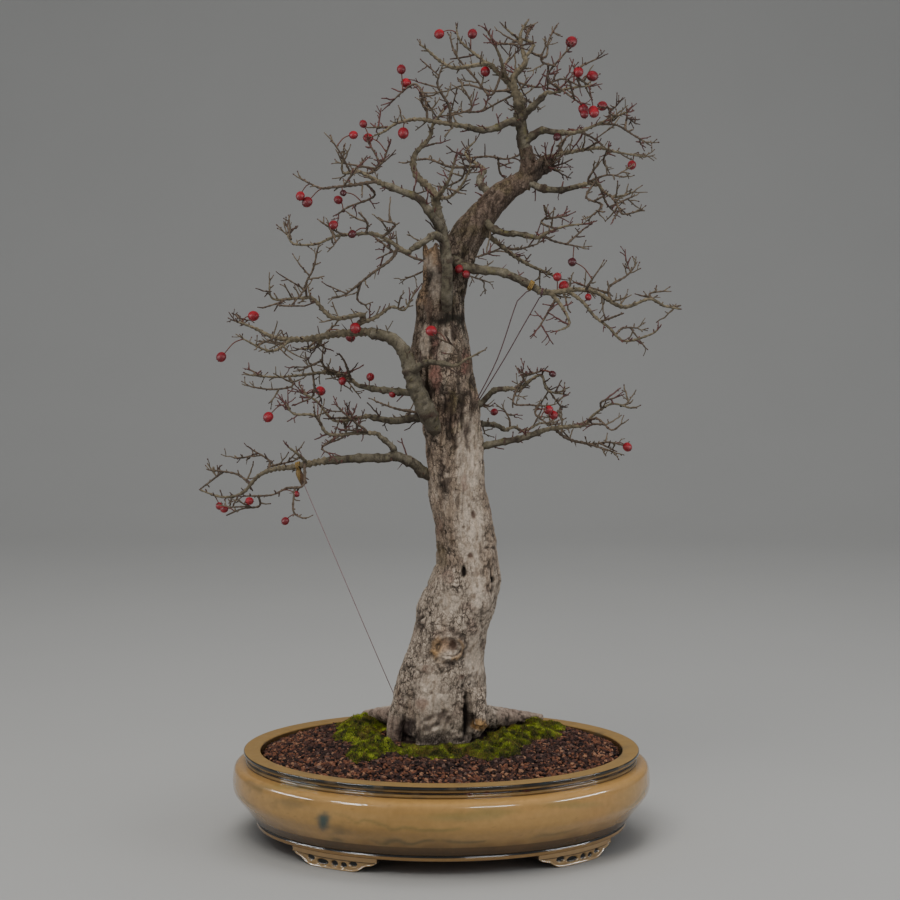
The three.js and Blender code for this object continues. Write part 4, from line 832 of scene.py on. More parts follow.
def grow_tree():
    """Every limb and twig of the solids, by name."""
    standing = Standing()
    axis = trunk_axis(19)
    standing.stand("trunk", spots_of(axis), [row[3] for row in axis])
    for limb in TRUNK_LIMBS:
        standing.stand("trunk", *limb_way(limb, BOUGH_STEP))
    tips = {}
    for bough in BOUGHS:
        points, radii = limb_way(bough, BOUGH_STEP)
        heading = (points[-1] - points[-2]).normalized()
        tip = points[-1] + heading * CLEARANCE
        tips[bough["name"]] = {"point": tip, "neck": tip + heading * NECK_LENGTH, "radius": 0.95 * radii[-1]}
        standing.stand(bough["name"], points, radii)
    for guy in GUYS:
        points, radii = limb_way({"path": guy["path"], "thick": [guy["thick"], guy["thick"]]}, GUY_STEP)
        standing.stand(guy["name"], points, radii)
    spots = [place(spot) for mass in MASSES for arm in mass["arms"] for spot in arm]
    crown = ([min(p[k] for p in spots) for k in range(3)], [max(p[k] for p in spots) for k in range(3)])
    grown = []
    for mass in MASSES:
        if mass["on"] == "trunk":
            start = {"point": place(mass["arms"][0][0]), "radius": 3}
        else:
            start = tips[mass["on"]]
        room = room_of(mass, crown)
        twigs, haws = grow_mass(mass, start, room, standing)
        for twig in twigs:
            standing.stand(mass["name"], twig["points"], twig["radii"])
        for haw in haws:
            standing.stand(mass["name"], [haw["root"]["point"], haw["middle"]], [STALK_RADIUS, STALK_RADIUS])
            standing.stand(mass["name"], [haw["middle"], haw["middle"]], [haw["radius"], haw["radius"]])
        grown.append({"mass": mass, "room": room, "twigs": twigs, "haws": haws})
    return grown, crown


def srgb(red, green, blue):
    """A display colour from 0 to 255 as the linear colour that shaders take."""
    return tuple(((c / 255 + 0.055) / 1.055) ** 2.4 for c in (red, green, blue))


def hashed(cells, seed):
    """A repeatable number from 0 to 1 for each whole-numbered cell."""
    most = 0xFFFFFFFF
    h = (cells[..., 0] * 73856093) ^ (cells[..., 1] * 19349663) ^ (cells[..., 2] * 83492791) ^ (seed
                                                                                                * 374761393)
    h = h & most
    for _ in range(2):
        h = ((h ^ (h >> 16)) * 0x45D9F3B) & most
    return (h ^ (h >> 16)) / 4294967296


def noise(points, size, seed):
    """Smooth noise from -1 to 1 with bumps about that size."""
    scaled = points / size
    base = np.floor(scaled).astype(np.int64)
    part = scaled - base
    part = part * part * (3 - 2 * part)
    total = np.zeros(points.shape[:-1])
    for corner in np.ndindex(2, 2, 2):
        step = np.array(corner)
        weight = np.where(step == 1, part, 1 - part).prod(axis=-1)
        total += weight * hashed(base + step, seed)
    return 2 * total - 1


def layered(points, size, seed, layers=3):
    """Noise with finer and weaker noise on it."""
    total = sum(noise(points, size / 2 ** k, seed + 17 * k) / 2 ** k for k in range(layers))
    return total / (2 - 2 ** (1 - layers))


def smooth_step(low, high, value):
    part = np.clip((value - low) / (high - low), 0, 1)
    return part * part * (3 - 2 * part)


def blend(colours, more, part):
    """Moves an array of colours towards one colour by a part for each."""
    return colours + (np.array(more) - colours) * np.clip(part, 0, 1)[..., None]


def paint(tints, layers):
    """Lays colours over an array of colours, one after another and each by its own part."""
    for colour, part in layers:
        tints = blend(tints, colour, part)
    return tints


def plain_tints(shape, colour):
    return np.zeros(shape) + np.array(colour)


def peak(value, middle, width):
    """1 at the middle, and fading to 0 a little beyond the width on each side."""
    return np.exp(-((value - middle) / width) ** 2)


def lengthwise(points, shrink):
    """Points with their height shrunk, so that noise on them is drawn out along the trunk."""
    return points * np.array([1, 1, shrink])


def on_ground(x, y):
    """Flat places as points at height 0."""
    return np.stack([x, y, np.zeros_like(x)], axis=-1)


def band_faces(first, rows, sides, closed=True):
    """The faces between rows of corners, each row joined to the next."""
    faces = []
    for r in range(rows - 1):
        for k in range(sides if closed else sides - 1):
            a = first + r * sides + k
            b = first + r * sides + (k + 1) % sides
            faces.append((a, b, b + sides, a + sides))
    return faces


def add_object(name, data):
    thing = bpy.data.objects.new(name, data)
    bpy.context.scene.collection.objects.link(thing)
    return thing


class Pile:
    """The corners and faces of one joined piece."""

    def __init__(self):
        self.corners = []
        self.faces = []
        self.slots = []
        self.tints = []

    def add_faces(self, faces, slot):
        self.faces.extend(faces)
        self.slots.extend([slot] * len(faces))

    def grid(self, corners, tints=None, slot=0, closed=True):
        """Adds rows of corners, each row joined to the next."""
        rows, columns = corners.shape[:2]
        first = len(self.corners)
        self.corners.extend(map(tuple, corners.reshape(-1, 3)))
        if tints is not None:
            self.tints.extend(map(tuple, tints.reshape(-1, tints.shape[-1])))
        self.add_faces(band_faces(first, rows, columns, closed), slot)
        return first

    def cap(self, ring, middle, tint=None, slot=0, turned=False):
        """Closes a ring of corner numbers with a fan round a middle point."""
        self.corners.append(tuple(middle))
        if tint is not None:
            self.tints.append(tuple(tint))
        last = len(self.corners) - 1
        pairs = [(corner, ring[(k + 1) % len(ring)]) for k, corner in enumerate(ring)]
        self.add_faces([(b, a, last) if turned else (a, b, last) for a, b in pairs], slot)

    def tube(self, points, radii, sides, slot=0, tip=0.7):
        """Adds a round limb with a blunt end."""
        frames = frames_along(points)
        first = len(self.corners)
        turns = [(math.cos(FULL_TURN * k / sides), math.sin(FULL_TURN * k / sides)) for k in range(sides)]
        for point, radius, (side, other, _) in zip(points, radii, frames):
            for cosine, sine in turns:
                self.corners.append(tuple(point + side * (radius * cosine) + other * (radius * sine)))
        self.add_faces(band_faces(first, len(points), sides), slot)
        last = first + (len(points) - 1) * sides
        self.cap(range(last, last + sides), points[-1] + frames[-1][2] * (tip * radii[-1]), slot=slot)

    def shape(self, corners, faces, slot=0):
        """Adds a small loose shape."""
        first = len(self.corners)
        self.corners.extend(corners)
        self.add_faces([tuple(first + k for k in face) for face in faces], slot)

    def finish(self, name, materials, smooth=True):
        """Makes the piece as an object in the row frame."""
        mesh = bpy.data.meshes.new(name)
        corners = np.array(self.corners) * MM + np.array(SHIFT)
        mesh.from_pydata(corners.tolist(), [], self.faces)
        mesh.polygons.foreach_set("material_index", self.slots)
        mesh.polygons.foreach_set("use_smooth", [smooth] * len(self.faces))
        if self.tints:
            attribute = mesh.color_attributes.new("tint", "FLOAT_COLOR", "POINT")
            tints = np.ones((len(self.tints), 4))
            tints[:, :len(self.tints[0])] = np.array(self.tints)
            attribute.data.foreach_set("color", tints.ravel())
        mesh.update()
        for material in materials:
            mesh.materials.append(material)
        return add_object(name, mesh)


def give(tree, socket, value):
    """Sets a socket to a plain value, or links another node's output to it."""
    if isinstance(value, bpy.types.NodeSocket):
        tree.links.new(value, socket)
    else:
        socket.default_value = value


def add_node(tree, kind, inputs):
    """Adds a node and gives each of its named inputs its value."""
    node = tree.nodes.new(kind)
    for name, value in inputs.items():
        give(tree, node.inputs[name], value)
    return node


def new_material(name, roughness, specular=0.5):
    material = bpy.data.materials.new(name)
    material.use_nodes = True
    shader = material.node_tree.nodes["Principled BSDF"]
    shader.inputs["Roughness"].default_value = roughness
    shader.inputs["Specular IOR Level"].default_value = specular
    return material, material.node_tree, shader


def object_place(tree):
    return tree.nodes.new("ShaderNodeTexCoord").outputs["Object"]


def noise_node(tree, scale, detail=4.0, roughness=0.55):
    inputs = {"Vector": object_place(tree), "Scale": scale, "Detail": detail, "Roughness": roughness}
    return add_node(tree, "ShaderNodeTexNoise", inputs).outputs["Fac"]


def ramp_node(tree, value, stops):
    ramp = tree.nodes.new("ShaderNodeValToRGB")
    while len(ramp.color_ramp.elements) < len(stops):
        ramp.color_ramp.elements.new(1.0)
    for element, (position, colour) in zip(ramp.color_ramp.elements, stops):
        element.position = position
        element.color = (*colour, 1)
    tree.links.new(value, ramp.inputs["Fac"])
    return ramp.outputs["Color"]


def grey_stops(low, high, start=0.3, end=0.7):
    return [(start, (low, low, low)), (end, (high, high, high))]


def mix_node(tree, way, part, first, second):
    """Two colours mixed, each a socket or a colour; a colour mix has its colours at its sockets 6 and 7."""
    node = tree.nodes.new("ShaderNodeMix")
    node.data_type = "RGBA"
    node.blend_type = way
    give(tree, node.inputs["Factor"], part)
    give(tree, node.inputs[6], first)
    give(tree, node.inputs[7], second)
    return node.outputs[2]


def bump_node(tree, shader, height, distance, strength=1.0):
    bump = add_node(tree, "ShaderNodeBump", {"Distance": distance, "Strength": strength, "Height": height})
    tree.links.new(bump.outputs["Normal"], shader.inputs["Normal"])


def tint_node(tree):
    """The colour that the mesh itself carries, and the fourth value beside it."""
    tint = tree.nodes.new("ShaderNodeAttribute")
    tint.attribute_name = "tint"
    return tint.outputs["Color"], tint.outputs["Alpha"]


def mottled_tint(tree, shader, pattern, low, high):
    """Makes a shader's colour the mesh's own tint with a mottling over it."""
    mottle = ramp_node(tree, pattern, grey_stops(low, high))
    give(tree, shader.inputs["Base Color"], mix_node(tree, "MULTIPLY", 1, tint_node(tree)[0], mottle))


def tinted_material(name, roughness, fine, bump):
    """A rough material whose colour is the mesh's own tint with fine mottling and grain."""
    material, tree, shader = new_material(name, roughness, 0.3)
    mottled_tint(tree, shader, noise_node(tree, fine), 0.8, 1.2)
    bump_node(tree, shader, noise_node(tree, 1.7 * fine, 6.0, 0.65), bump)
    return material


def math_node(tree, operation, first, second, kind="ShaderNodeMath", result="Value"):
    """A sum of two values, each a socket or a number."""
    node = tree.nodes.new(kind)
    node.operation = operation
    give(tree, node.inputs[0], first)
    give(tree, node.inputs[1], second)
    return node.outputs[result]


def vector_node(tree, operation, first, second):
    return math_node(tree, operation, first, second, "ShaderNodeVectorMath", "Vector")


# The cracks of the bark: their colour, the long and the small ones' stretch along the trunk, how much finer
# and
# narrower the small ones are, how dark both make the bark, and how deep the bump is
CRACK = srgb(48, 37, 29)
LONG_CRACK_STRETCH = (1, 1, 0.38)
SMALL_CRACK_STRETCH = (1, 1, 0.6)
SMALL_CRACK_SCALE = 1.9
SMALL_CRACK_WIDTH = 0.9
SMALL_CRACK_PART = 0.75
CRACK_DARKNESS = 0.85
CRACK_BUMP = 0.0009


def crack_node(tree, where, stretch, scale, wide):
    """How much a place is on one of the broken cracks between uneven plates."""
    plates = tree.nodes.new("ShaderNodeTexVoronoi")
    plates.feature = "DISTANCE_TO_EDGE"
    plates.inputs["Scale"].default_value = scale
    tree.links.new(vector_node(tree, "MULTIPLY", where, stretch), plates.inputs["Vector"])
    uneven = noise_node(tree, 0.9 * scale, 2.0)
    edge = math_node(tree, "ADD", plates.outputs["Distance"], math_node(tree, "MULTIPLY", uneven, 3 * wide))
    cracks = ramp_node(tree, edge, [(2.1 * wide, (1, 1, 1)), (3.1 * wide, (0, 0, 0))])
    here = ramp_node(tree, noise_node(tree, 0.42 * scale, 3.0), [(0.33, (0.1, 0.1, 0.1)), (0.48, (1, 1, 1))])
    return math_node(tree, "MULTIPLY", cracks, here)


def bark_material(name, scale, wide, fine):
    """Bark whose colour is the mesh's own tint, with fine cracks where the tint's fourth value says so."""
    material, tree, shader = new_material(name, 0.88, 0.25)
    tint, cracked = tint_node(tree)
    where = object_place(tree)
    warp = add_node(tree, "ShaderNodeTexNoise", {"Vector": where, "Scale": 0.7 * scale, "Detail": 3.0})
    shift = vector_node(tree, "SUBTRACT", warp.outputs["Color"], (0.5, 0.5, 0.5))
    shift = vector_node(tree, "MULTIPLY", shift, (1.5 / scale, 1.5 / scale, 2.2 / scale))
    moved = vector_node(tree, "ADD", where, shift)
    cracks = crack_node(tree, moved, LONG_CRACK_STRETCH, scale, wide)
    small = crack_node(tree, moved, SMALL_CRACK_STRETCH, SMALL_CRACK_SCALE * scale, SMALL_CRACK_WIDTH * wide)
    cracks = math_node(tree, "MAXIMUM", cracks, math_node(tree, "MULTIPLY", small, SMALL_CRACK_PART))
    cracks = math_node(tree, "MULTIPLY", cracks, cracked)
    mottle = ramp_node(tree, noise_node(tree, fine, 6.0, 0.7), grey_stops(0.62, 1.28))
    surface = mix_node(tree, "MULTIPLY", 1, tint, mottle)
    darkness = math_node(tree, "MULTIPLY", cracks, CRACK_DARKNESS)
    give(tree, shader.inputs["Base Color"], mix_node(tree, "MIX", darkness, surface, (*CRACK, 1)))
    grain = math_node(tree, "MULTIPLY", noise_node(tree, 1.5 * fine, 6.0, 0.65), 0.6)
    bump_node(tree, shader, math_node(tree, "SUBTRACT", grain, cracks), CRACK_BUMP, 0.9)
    return material


def plain_material(name, colour, roughness, fine, bump, spread=(0.75, 1.25), specular=0.3):
    """A material of one colour with fine mottling and grain."""
    material, tree, shader = new_material(name, roughness, specular)
    low, high = spread
    stops = [(0.3, tuple(c * low for c in colour)), (0.7, tuple(min(1, c * high) for c in colour))]
    tree.links.new(ramp_node(tree, noise_node(tree, fine), stops), shader.inputs["Base Color"])
    bump_node(tree, shader, noise_node(tree, 2.1 * fine, 5.0, 0.6), bump)
    return material


# Colours of the bark
BOUGH_BROWN = srgb(76, 67, 57)
BOUGH_OLIVE = srgb(108, 101, 84)
BOUGH_PALE = srgb(136, 128, 112)
LICHEN = srgb(118, 112, 68)
BARK_TAN = srgb(186, 165, 144)
BARK_PALE = srgb(226, 209, 190)
BARK_BROWN = srgb(120, 100, 81)
BARK_SMOOTH = srgb(118, 98, 86)
FISSURE = srgb(46, 36, 29)
PINK = srgb(150, 120, 104)
ROOT_PINK = srgb(142, 116, 104)
OLIVE = srgb(118, 108, 68)
# Dark brown of bark patches and of the boughs' burrs, also painted as shade under the knot and round the trunk's
# foot
DARK_BROWN_AND_SHADE = srgb(66, 50, 42)
# Purple brown painted as shade where the trunk meets the soil
FOOT_SHADE_BROWN = srgb(62, 46, 46)
SAWN_WOOD = srgb(206, 162, 108)
HEART_PALE = srgb(220, 182, 148)
EYE_BROWN = srgb(88, 58, 44)
BLACK_MOSS = srgb(34, 36, 26)
TAN = srgb(168, 134, 98)
OCHRE = srgb(180, 140, 88)
# Painted shade: the near black laid into the deep holes and down the cleft
HOLE_SHADOW = srgb(30, 22, 18)

# Places on the front of the trunk: across, up, half width and half height
PALE_PLACES = [(28, 390, 12, 47), (30, 312, 13, 40), (5.5, 506, 6, 17), (-17, 504, 5, 15), (-3, 140, 12, 18),
               (33, 190, 9, 24), (9, 244, 12, 13), (-10, 164, 11, 8), (36, 260, 8, 20),
               (-18, 143, 9, 10), (-15, 123, 10, 9), (0, 119, 8, 9), (-5, 562, 6, 18),
               (-9, 586, 8, 12)]
PINK_PLACES = [(-5.5, 469, 6.5, 12), (26, 482, 4.5, 11), (-13.5, 539, 4.5, 13), (-1.5, 581, 4, 6),
               (23, 363, 3, 10),
               (-14, 178, 7, 4), (-20, 143, 7, 7), (8, 270, 5, 7), (-4, 320, 5, 10)]
# Dark patches of bark; those under the knot and round the trunk's foot are painted shade
DARK_AND_SHADED_PLACES = [(-9.5, 500, 3.5, 11), (-13.5, 455, 4, 13), (6, 434, 6, 23), (3.5, 368, 6, 21),
               (26, 412, 3.5, 13),
               (12, 516, 9, 9), (-20, 223, 5, 11), (-12, 123, 14, 8), (-32, 117, 15, 12), (11, 183, 6, 5),
               (10, 219, 4, 5), (2, 130, 10, 6), (-27, 231, 5, 8), (30, 125, 8, 8)]
HOLES = [(22.5, 275.6, 2.4, 5.2), (52, 267, 1.6, 3.6)]
BROWN_HOLES = [(29, 292, 2, 2.4), (21, 170, 2.8, 2.2), (33, 332, 2.4, 4), (22, 320, 1.6, 1.6)]
KNOT = (7, 200, 17, 14)
KNOT_HEART = (4, 202, 4.5, 6)
KNOT_EYE = (12.5, 202, 4, 6)
KNOT_SECOND = (20, 201, 4, 8)
MOSS_RING = (6, 528, 17, 6)
OLIVE_COLLAR = (4, 543, 13, 7)
ROSY = srgb(168, 118, 106)
ROSY_PLACES = [(-5, 472, 6, 17), (23, 486, 4, 12), (-6, 503, 3.5, 12)]
TAN_PLACES = [(-20, 562, 6, 24), (-24, 543, 4, 12), (-6.5, 588, 7, 8), (-12, 596, 10, 8)]
KNOT_OCHRE = (-4, 199, 6, 9)
CLEFT = (25.5, 131, 3.2, 21)
SAWN_PLACE = (39, 122, 8.5, 6.5)
# A painted shade on the left of the trunk's foot
SHADED_FOOT = (-36, 117, 8, 13)


def spot_mask(across, up, spot, soft=0.35):
    """How much each point of the front is within a spot, its edge a little uneven."""
    middle_across, middle_up, half_width, half_height = spot
    apart = np.hypot((across - middle_across) / half_width, (up - middle_up) / half_height)
    edge = np.stack([across, up, np.zeros_like(across)], axis=-1)
    apart = apart + 0.22 * noise(edge, 5, 71) + 0.1 * noise(edge, 2.2, 72)
    return 1 - smooth_step(1 - soft, 1 + soft, apart)


def lines(points, size, seed, wide):
    """Thin wandering lines where smooth noise changes sign, 1 on the line and 0 off it."""
    return np.exp(-((noise(points, size, seed) + 0.4 * noise(points, size / 2.1, seed + 1)) / wide) ** 2)


def specks(points, size, seed, least):
    """Small scattered spots."""
    return smooth_step(least, least + 0.15, noise(points, size, seed))


# How far apart the rings of old bark are and how many corners each has: on the trunk, its limbs and its
# small lobes
TRUNK_RINGS = {"step": 1.45, "sides": 176}
LIMB_RINGS = {"step": 1.7, "sides": 36}
LOBE_RINGS = {"step": 1.5, "sides": 26}
BOUGH_RINGS = {"step": 1.4, "sides": 20}


def old_bark(points, lower):
    """The furrows, plates and fibres of old bark; lower is 1 where its plates are blocky and 0 where they
    are long."""
    stretch = np.ones(points.shape)
    stretch[..., 2] = mix(0.3, 0.52, lower)
    warp = np.stack([noise(points, 13, 5), noise(points, 13, 6), noise(points, 17, 7)], axis=-1)
    grain = points * stretch + 1.9 * warp
    broken = smooth_step(-0.55, 0.25, noise(points, 10, 12) + 0.5 * noise(points, 4, 13))
    flat = points * np.array([0.5, 0.5, 1.0]) + 1.4 * warp
    return SimpleNamespace(
        furrow=lines(grain, 6.2, 11, 0.13) * broken,
        fine_furrow=lines(grain, 3.1, 15, 0.15) * smooth_step(-0.3, 0.5, noise(points, 7, 16)),
        cross=lines(flat, 8.5, 19, 0.07) * smooth_step(0.0, 0.5, noise(points, 15, 20)) * mix(0.35, 1.0,
                                                                                              lower),
        plate=noise(grain, 6.2, 11) + 0.4 * noise(grain, 6.2 / 2.1, 12),
        fibre=noise(lengthwise(points, 0.16), 1.25, 23))


def knot_marks(points, across, up, front):
    """The rim, cracks, folds, heart and eyes of the knot at the front of the trunk."""
    ring = np.hypot((across - KNOT[0]) / KNOT[2], (up - KNOT[1]) / KNOT[3])
    ring = ring + 0.2 * noise(points, 6, 33) + 0.1 * noise(points, 2.4, 34)
    around = np.clip(peak(ring, 0.6, 0.07) + peak(ring, 1.08, 0.08), 0, 1)
    waves = np.cos(FULL_TURN * (3.1 * ring + 0.3 * noise(points, 3, 37)))
    second = spot_mask(across, up, KNOT_SECOND, 0.3) * (1 - spot_mask(across, up, KNOT_SECOND, 0.8))
    return SimpleNamespace(
        whole=front * spot_mask(across, up, KNOT, 0.3),
        rim=front * peak(ring, 0.85, 0.16) * smooth_step(-0.6, 0.1, noise(points, 5, 35)),
        crack=front * around * smooth_step(-0.3, 0.2, noise(points, 7, 36)),
        folds=front * spot_mask(across, up, KNOT, 0.2) * smooth_step(0.35, 0.9, waves),
        heart=front * spot_mask(across, up, KNOT_HEART, 0.5),
        eye=front * np.maximum(spot_mask(across, up, KNOT_EYE, 0.5), 0.8 * second))


def trunk_marks(points, normals):
    """How much each point of the trunk is in each of its marks, and where it is on the trunk."""
    across, up = sight(points)
    height = points[..., 2]
    front = smooth_step(0.0, 0.3, -normals[..., 1])

    def marked(spots, soft=0.35):
        return front * np.max([spot_mask(across, up, spot, soft) for spot in spots], axis=0)

    bare_back = smooth_step(0.1, 0.45, layered(lengthwise(points, 0.5), 34, 31)) * (1 - front)
    at = SimpleNamespace(
        across=across, up=up, height=height, front=front,
        lower=1 - smooth_step(260, 330, height),
        upper=smooth_step(585, 625, height),
        pale=np.maximum(marked(PALE_PLACES), bare_back),
        pink=marked(PINK_PLACES) * smooth_step(-0.6, 0.2, layered(points, 6, 66)),
        rosy=marked(ROSY_PLACES) * smooth_step(-0.8, 0.0, layered(points, 5, 83)),
        dark=marked(DARK_AND_SHADED_PLACES),
        hole=marked(HOLES, 0.25),
        brown_hole=marked(BROWN_HOLES, 0.4),
        dead=marked(TAN_PLACES),
        knot=knot_marks(points, across, up, front),
        ochre=marked([KNOT_OCHRE], 0.6),
        moss_ring=front * spot_mask(across, up + 3 * noise(points, 7, 76), MOSS_RING, 0.5),
        collar=marked([OLIVE_COLLAR], 0.4),
        cleft=marked([CLEFT], 0.4),
        sawn=marked([SAWN_PLACE], 0.25),
        foot=marked([SHADED_FOOT], 0.5),
        root=(1 - smooth_step(116, 128, height)) * smooth_step(44, 56, np.abs(points[..., 0] - 8)),
        burl=smooth_step(92, 104, across) * smooth_step(660, 668, up),
        # under: painted shade on the downward faces of the trunk's top
        under=smooth_step(0.0, 0.8, -normals[..., 2]) * smooth_step(590, 620, height))
    at.tan = at.dead * smooth_step(-0.8, 0.0, layered(lengthwise(points, 0.4), 6, 69))
    bare = [0.85 * at.pale, 0.9 * at.pink, 0.6 * at.tan, 0.5 * at.knot.whole, 0.35 * at.upper]
    at.bare = np.clip(np.max(bare, axis=0), 0, 1)
    strand = np.abs(layered(lengthwise(points, 0.15), 9, 84))
    above = smooth_step(370, 430, up) * (1 - at.upper)
    at.long_furrow = (1 - smooth_step(0.03, 0.12, strand)) * above * (1 - 0.6 * at.bare)
    return at


def bark_relief(points, at, bark):
    """How far the old bark stands out of the trunk's smooth shape, in millimetres."""
    knot = at.knot
    relief = (0.75 * np.minimum(np.abs(bark.plate) * 2.4, 1) - 0.35) * (1 - 0.7 * at.bare)
    relief -= 1.5 * bark.furrow * (1 - 0.9 * at.bare) + 0.45 * bark.fine_furrow * (1 - 0.5
                                                                                   * at.bare) + 0.7 * bark.cross
    relief -= 1.0 * at.long_furrow
    relief += 0.28 * bark.fibre + 0.5 * layered(points, 5, 43)
    relief += 1.8 * knot.rim - 0.6 * knot.heart - 2.5 * knot.eye
    relief -= 1.2 * at.brown_hole + 4.0 * at.hole + 4.2 * at.cleft
    relief -= 1.1 * knot.crack + 0.6 * knot.folds
    relief += 1.3 * at.dead * noise(lengthwise(points, 0.5), 4.5, 70)
    relief -= 1.2 * at.dark * smooth_step(-0.2, 0.4, noise(points, 5, 47)) + 0.8 * at.sawn
    return relief + at.burl * (1.1 * noise(points, 4.5, 81) + 0.7 * noise(points, 2, 82))


def bark_tints(points, at, bark, long_grain):
    """The colours of the old bark."""
    knot, across, up = at.knot, at.across, at.up
    tone = 0.5 + 0.5 * layered(long_grain, 13, 51) + 0.28 * noise(long_grain, 3.4, 52) + 0.2 * layered(points,
                                                                                                       36, 54)
    tone = tone + 0.42 * (1 - smooth_step(240, 300, at.height))
    lichen = smooth_step(-0.05, 0.45, layered(points, 11, 53)) * smooth_step(330, 430, up)
    lichen = lichen * smooth_step(-14, 20, across - 4) * (1 - 0.4 * at.upper)
    grey_green = smooth_step(0.0, 0.4, layered(points, 14, 57)) * (1 - smooth_step(290, 330, up))
    grey_green = grey_green * smooth_step(255, 275, up) * (1 - smooth_step(5, 25, across))
    # Painted shade: patchy dark brown low on the trunk, just above the soil
    foot = smooth_step(-0.3, 0.4, noise(points, 13, 65)) * (1 - smooth_step(98, 108, at.height))
    tints = paint(plain_tints(points.shape, BARK_BROWN), [
        (BARK_TAN, smooth_step(0.05, 0.36, tone)),
        (BARK_PALE, 0.7 * smooth_step(0.42, 0.9, tone)),
        (ROOT_PINK, 0.6 * at.root),
        (PINK, 0.45 * smooth_step(0.15, 0.6, layered(points, 15, 56))),
        (BARK_SMOOTH, 0.75 * at.upper),
        (OLIVE, 0.75 * lichen),
        (OLIVE, 0.35 * grey_green),
        (BARK_PALE, 0.8 * at.pale),
        (BARK_TAN, 0.6 * at.pale * specks(long_grain, 2.2, 58, 0.2)),
        (BARK_BROWN, 0.7 * at.pale * specks(lengthwise(points, 0.45), 2.6, 59, 0.5)),
        (PINK, 0.7 * at.pink),
        (ROSY, 0.75 * at.rosy),
        (TAN, 0.75 * at.tan),
        (OCHRE, 0.75 * knot.rim * smooth_step(-0.5, 0.2, noise(points, 6, 61))),
        (OCHRE, 0.7 * at.ochre),
        (HEART_PALE, 0.8 * knot.heart),
        # Dark brown patches, partly painted shade under the knot and round the trunk's foot
        (DARK_BROWN_AND_SHADE, 0.8 * at.dark * smooth_step(-0.6, 0.1, noise(points, 4, 63))),
        (OLIVE, 0.15 * at.collar),
        (BLACK_MOSS, 0.95 * at.moss_ring * smooth_step(-0.9, -0.2, noise(points, 5, 77))),
        (SAWN_WOOD, 0.95 * at.sawn),
        (FISSURE, 0.8 * bark.furrow * (1 - 0.85 * at.bare)),
        (FISSURE, 0.55 * bark.fine_furrow * (1 - 0.6 * at.bare)),
        (FISSURE, 0.8 * at.long_furrow),
        (FISSURE, 0.7 * bark.cross * (1 - 0.5 * at.bare)),
        (FISSURE, 0.75 * knot.crack),
        (FISSURE, 0.5 * knot.folds),
        (EYE_BROWN, np.maximum(0.9 * knot.eye, 0.85 * at.brown_hole)),
        # Painted shade: near black in the deep holes and down the cleft
        (HOLE_SHADOW, np.maximum(at.hole, at.cleft)),
        # Painted shade at the trunk's foot
        (FOOT_SHADE_BROWN, np.maximum(0.6 * foot, 0.75 * at.foot)),
    ])
    # Painted shade: the bark is darkened up the trunk's middle (shaded) and on the downward faces near its top
    # (under)
    shaded = smooth_step(430, 540, up) * (0.75 + 0.5 * smooth_step(-0.3, 0.4, layered(long_grain, 19, 68)))
    shaded = np.clip(shaded, 0, 1) * (1 - 0.8 * at.tan) * (1 - 0.85 * smooth_step(590, 640, up))
    light = (1 + 0.1 * bark.fibre) * (1 - 0.4 * shaded) * (1 - 0.35 * at.under) * (1 - 0.35 * at.burl)
    return tints * light[..., None]


def bark_look(points, normals):
    """Relief in millimetres, colour, and how cracked the old bark is at each point."""
    at = trunk_marks(points, normals)
    bark = old_bark(points, at.lower)
    long_grain = lengthwise(points, 0.3)
    uneven = smooth_step(-0.45, 0.35, layered(long_grain, 17, 67))
    uneven = np.maximum(uneven, smooth_step(420, 480, at.up))
    cracked = (0.6 + 0.4 * uneven) * (1 - 0.7 * at.pale) * (1 - 0.4 * at.pink) * (1 - 0.25 * at.upper)
    cracked = cracked * (1 - 0.7 * at.knot.whole) * (1 - 0.6 * at.root) * (1 - 0.9 * at.sawn)
    return bark_relief(points, at, bark), bark_tints(points, at, bark, long_grain), np.clip(cracked, 0.04, 1)


# Ridges of root at the trunk's foot: which way they run, how wide, how far they reach and how tall they are
ROOT_RIDGES = [(180, 20, 9, 16), (215, 13, 6, 20), (243, 12, 3, 26), (300, 14, 3, 20), (322, 11, 6, 22),
               (352, 16, 8, 20),
               (35, 16, 12, 22), (80, 18, 10, 24), (125, 15, 13, 20), (155, 14, 8, 16)]


def ridges_at(angle, height):
    """How far the ridges of root stand out of the trunk at an angle and a height."""
    total = np.zeros(np.broadcast(angle, height).shape)
    for facing, width, reach, tall in ROOT_RIDGES:
        turn = np.degrees(angle) - facing
        apart = turn - 360 * np.round(turn / 360)
        rise = np.exp(-np.maximum(height - GROUND_HEIGHT, 0) / tall)
        total = total + reach * rise * (peak(apart, 0, width) - 0.25)
    return total


def trunk_lumps(points):
    """The solid's own lumps, and its hollow knot of a lost branch at the front."""
    middle = place((7, 200, -8))
    apart = np.hypot((points[..., 0] - middle.x) / KNOT_HALF_WIDTH,
                     (points[..., 2] - middle.z) / KNOT_HALF_HEIGHT)
    rise = KNOT_RISE * np.exp(-apart ** 4) - KNOT_HOLLOW * np.exp(-(apart / 0.45) ** 2)
    lumps = BROAD_LUMPS["height"] * noise(points, BROAD_LUMPS["size"], BROAD_LUMPS["seed"])
    lumps += NARROW_LUMPS["height"] * noise(points, NARROW_LUMPS["size"], NARROW_LUMPS["seed"])
    return lumps + np.where(points[..., 1] < middle.y + KNOT_DEPTH, rise, 0)


def limb_lumps(points):
    return 1.2 * layered(points, 16, 141)


# The half width from which a limb in old bark has the full height of its lumps is THICK_BARK, and of its
# relief this
FULL_RELIEF = 8


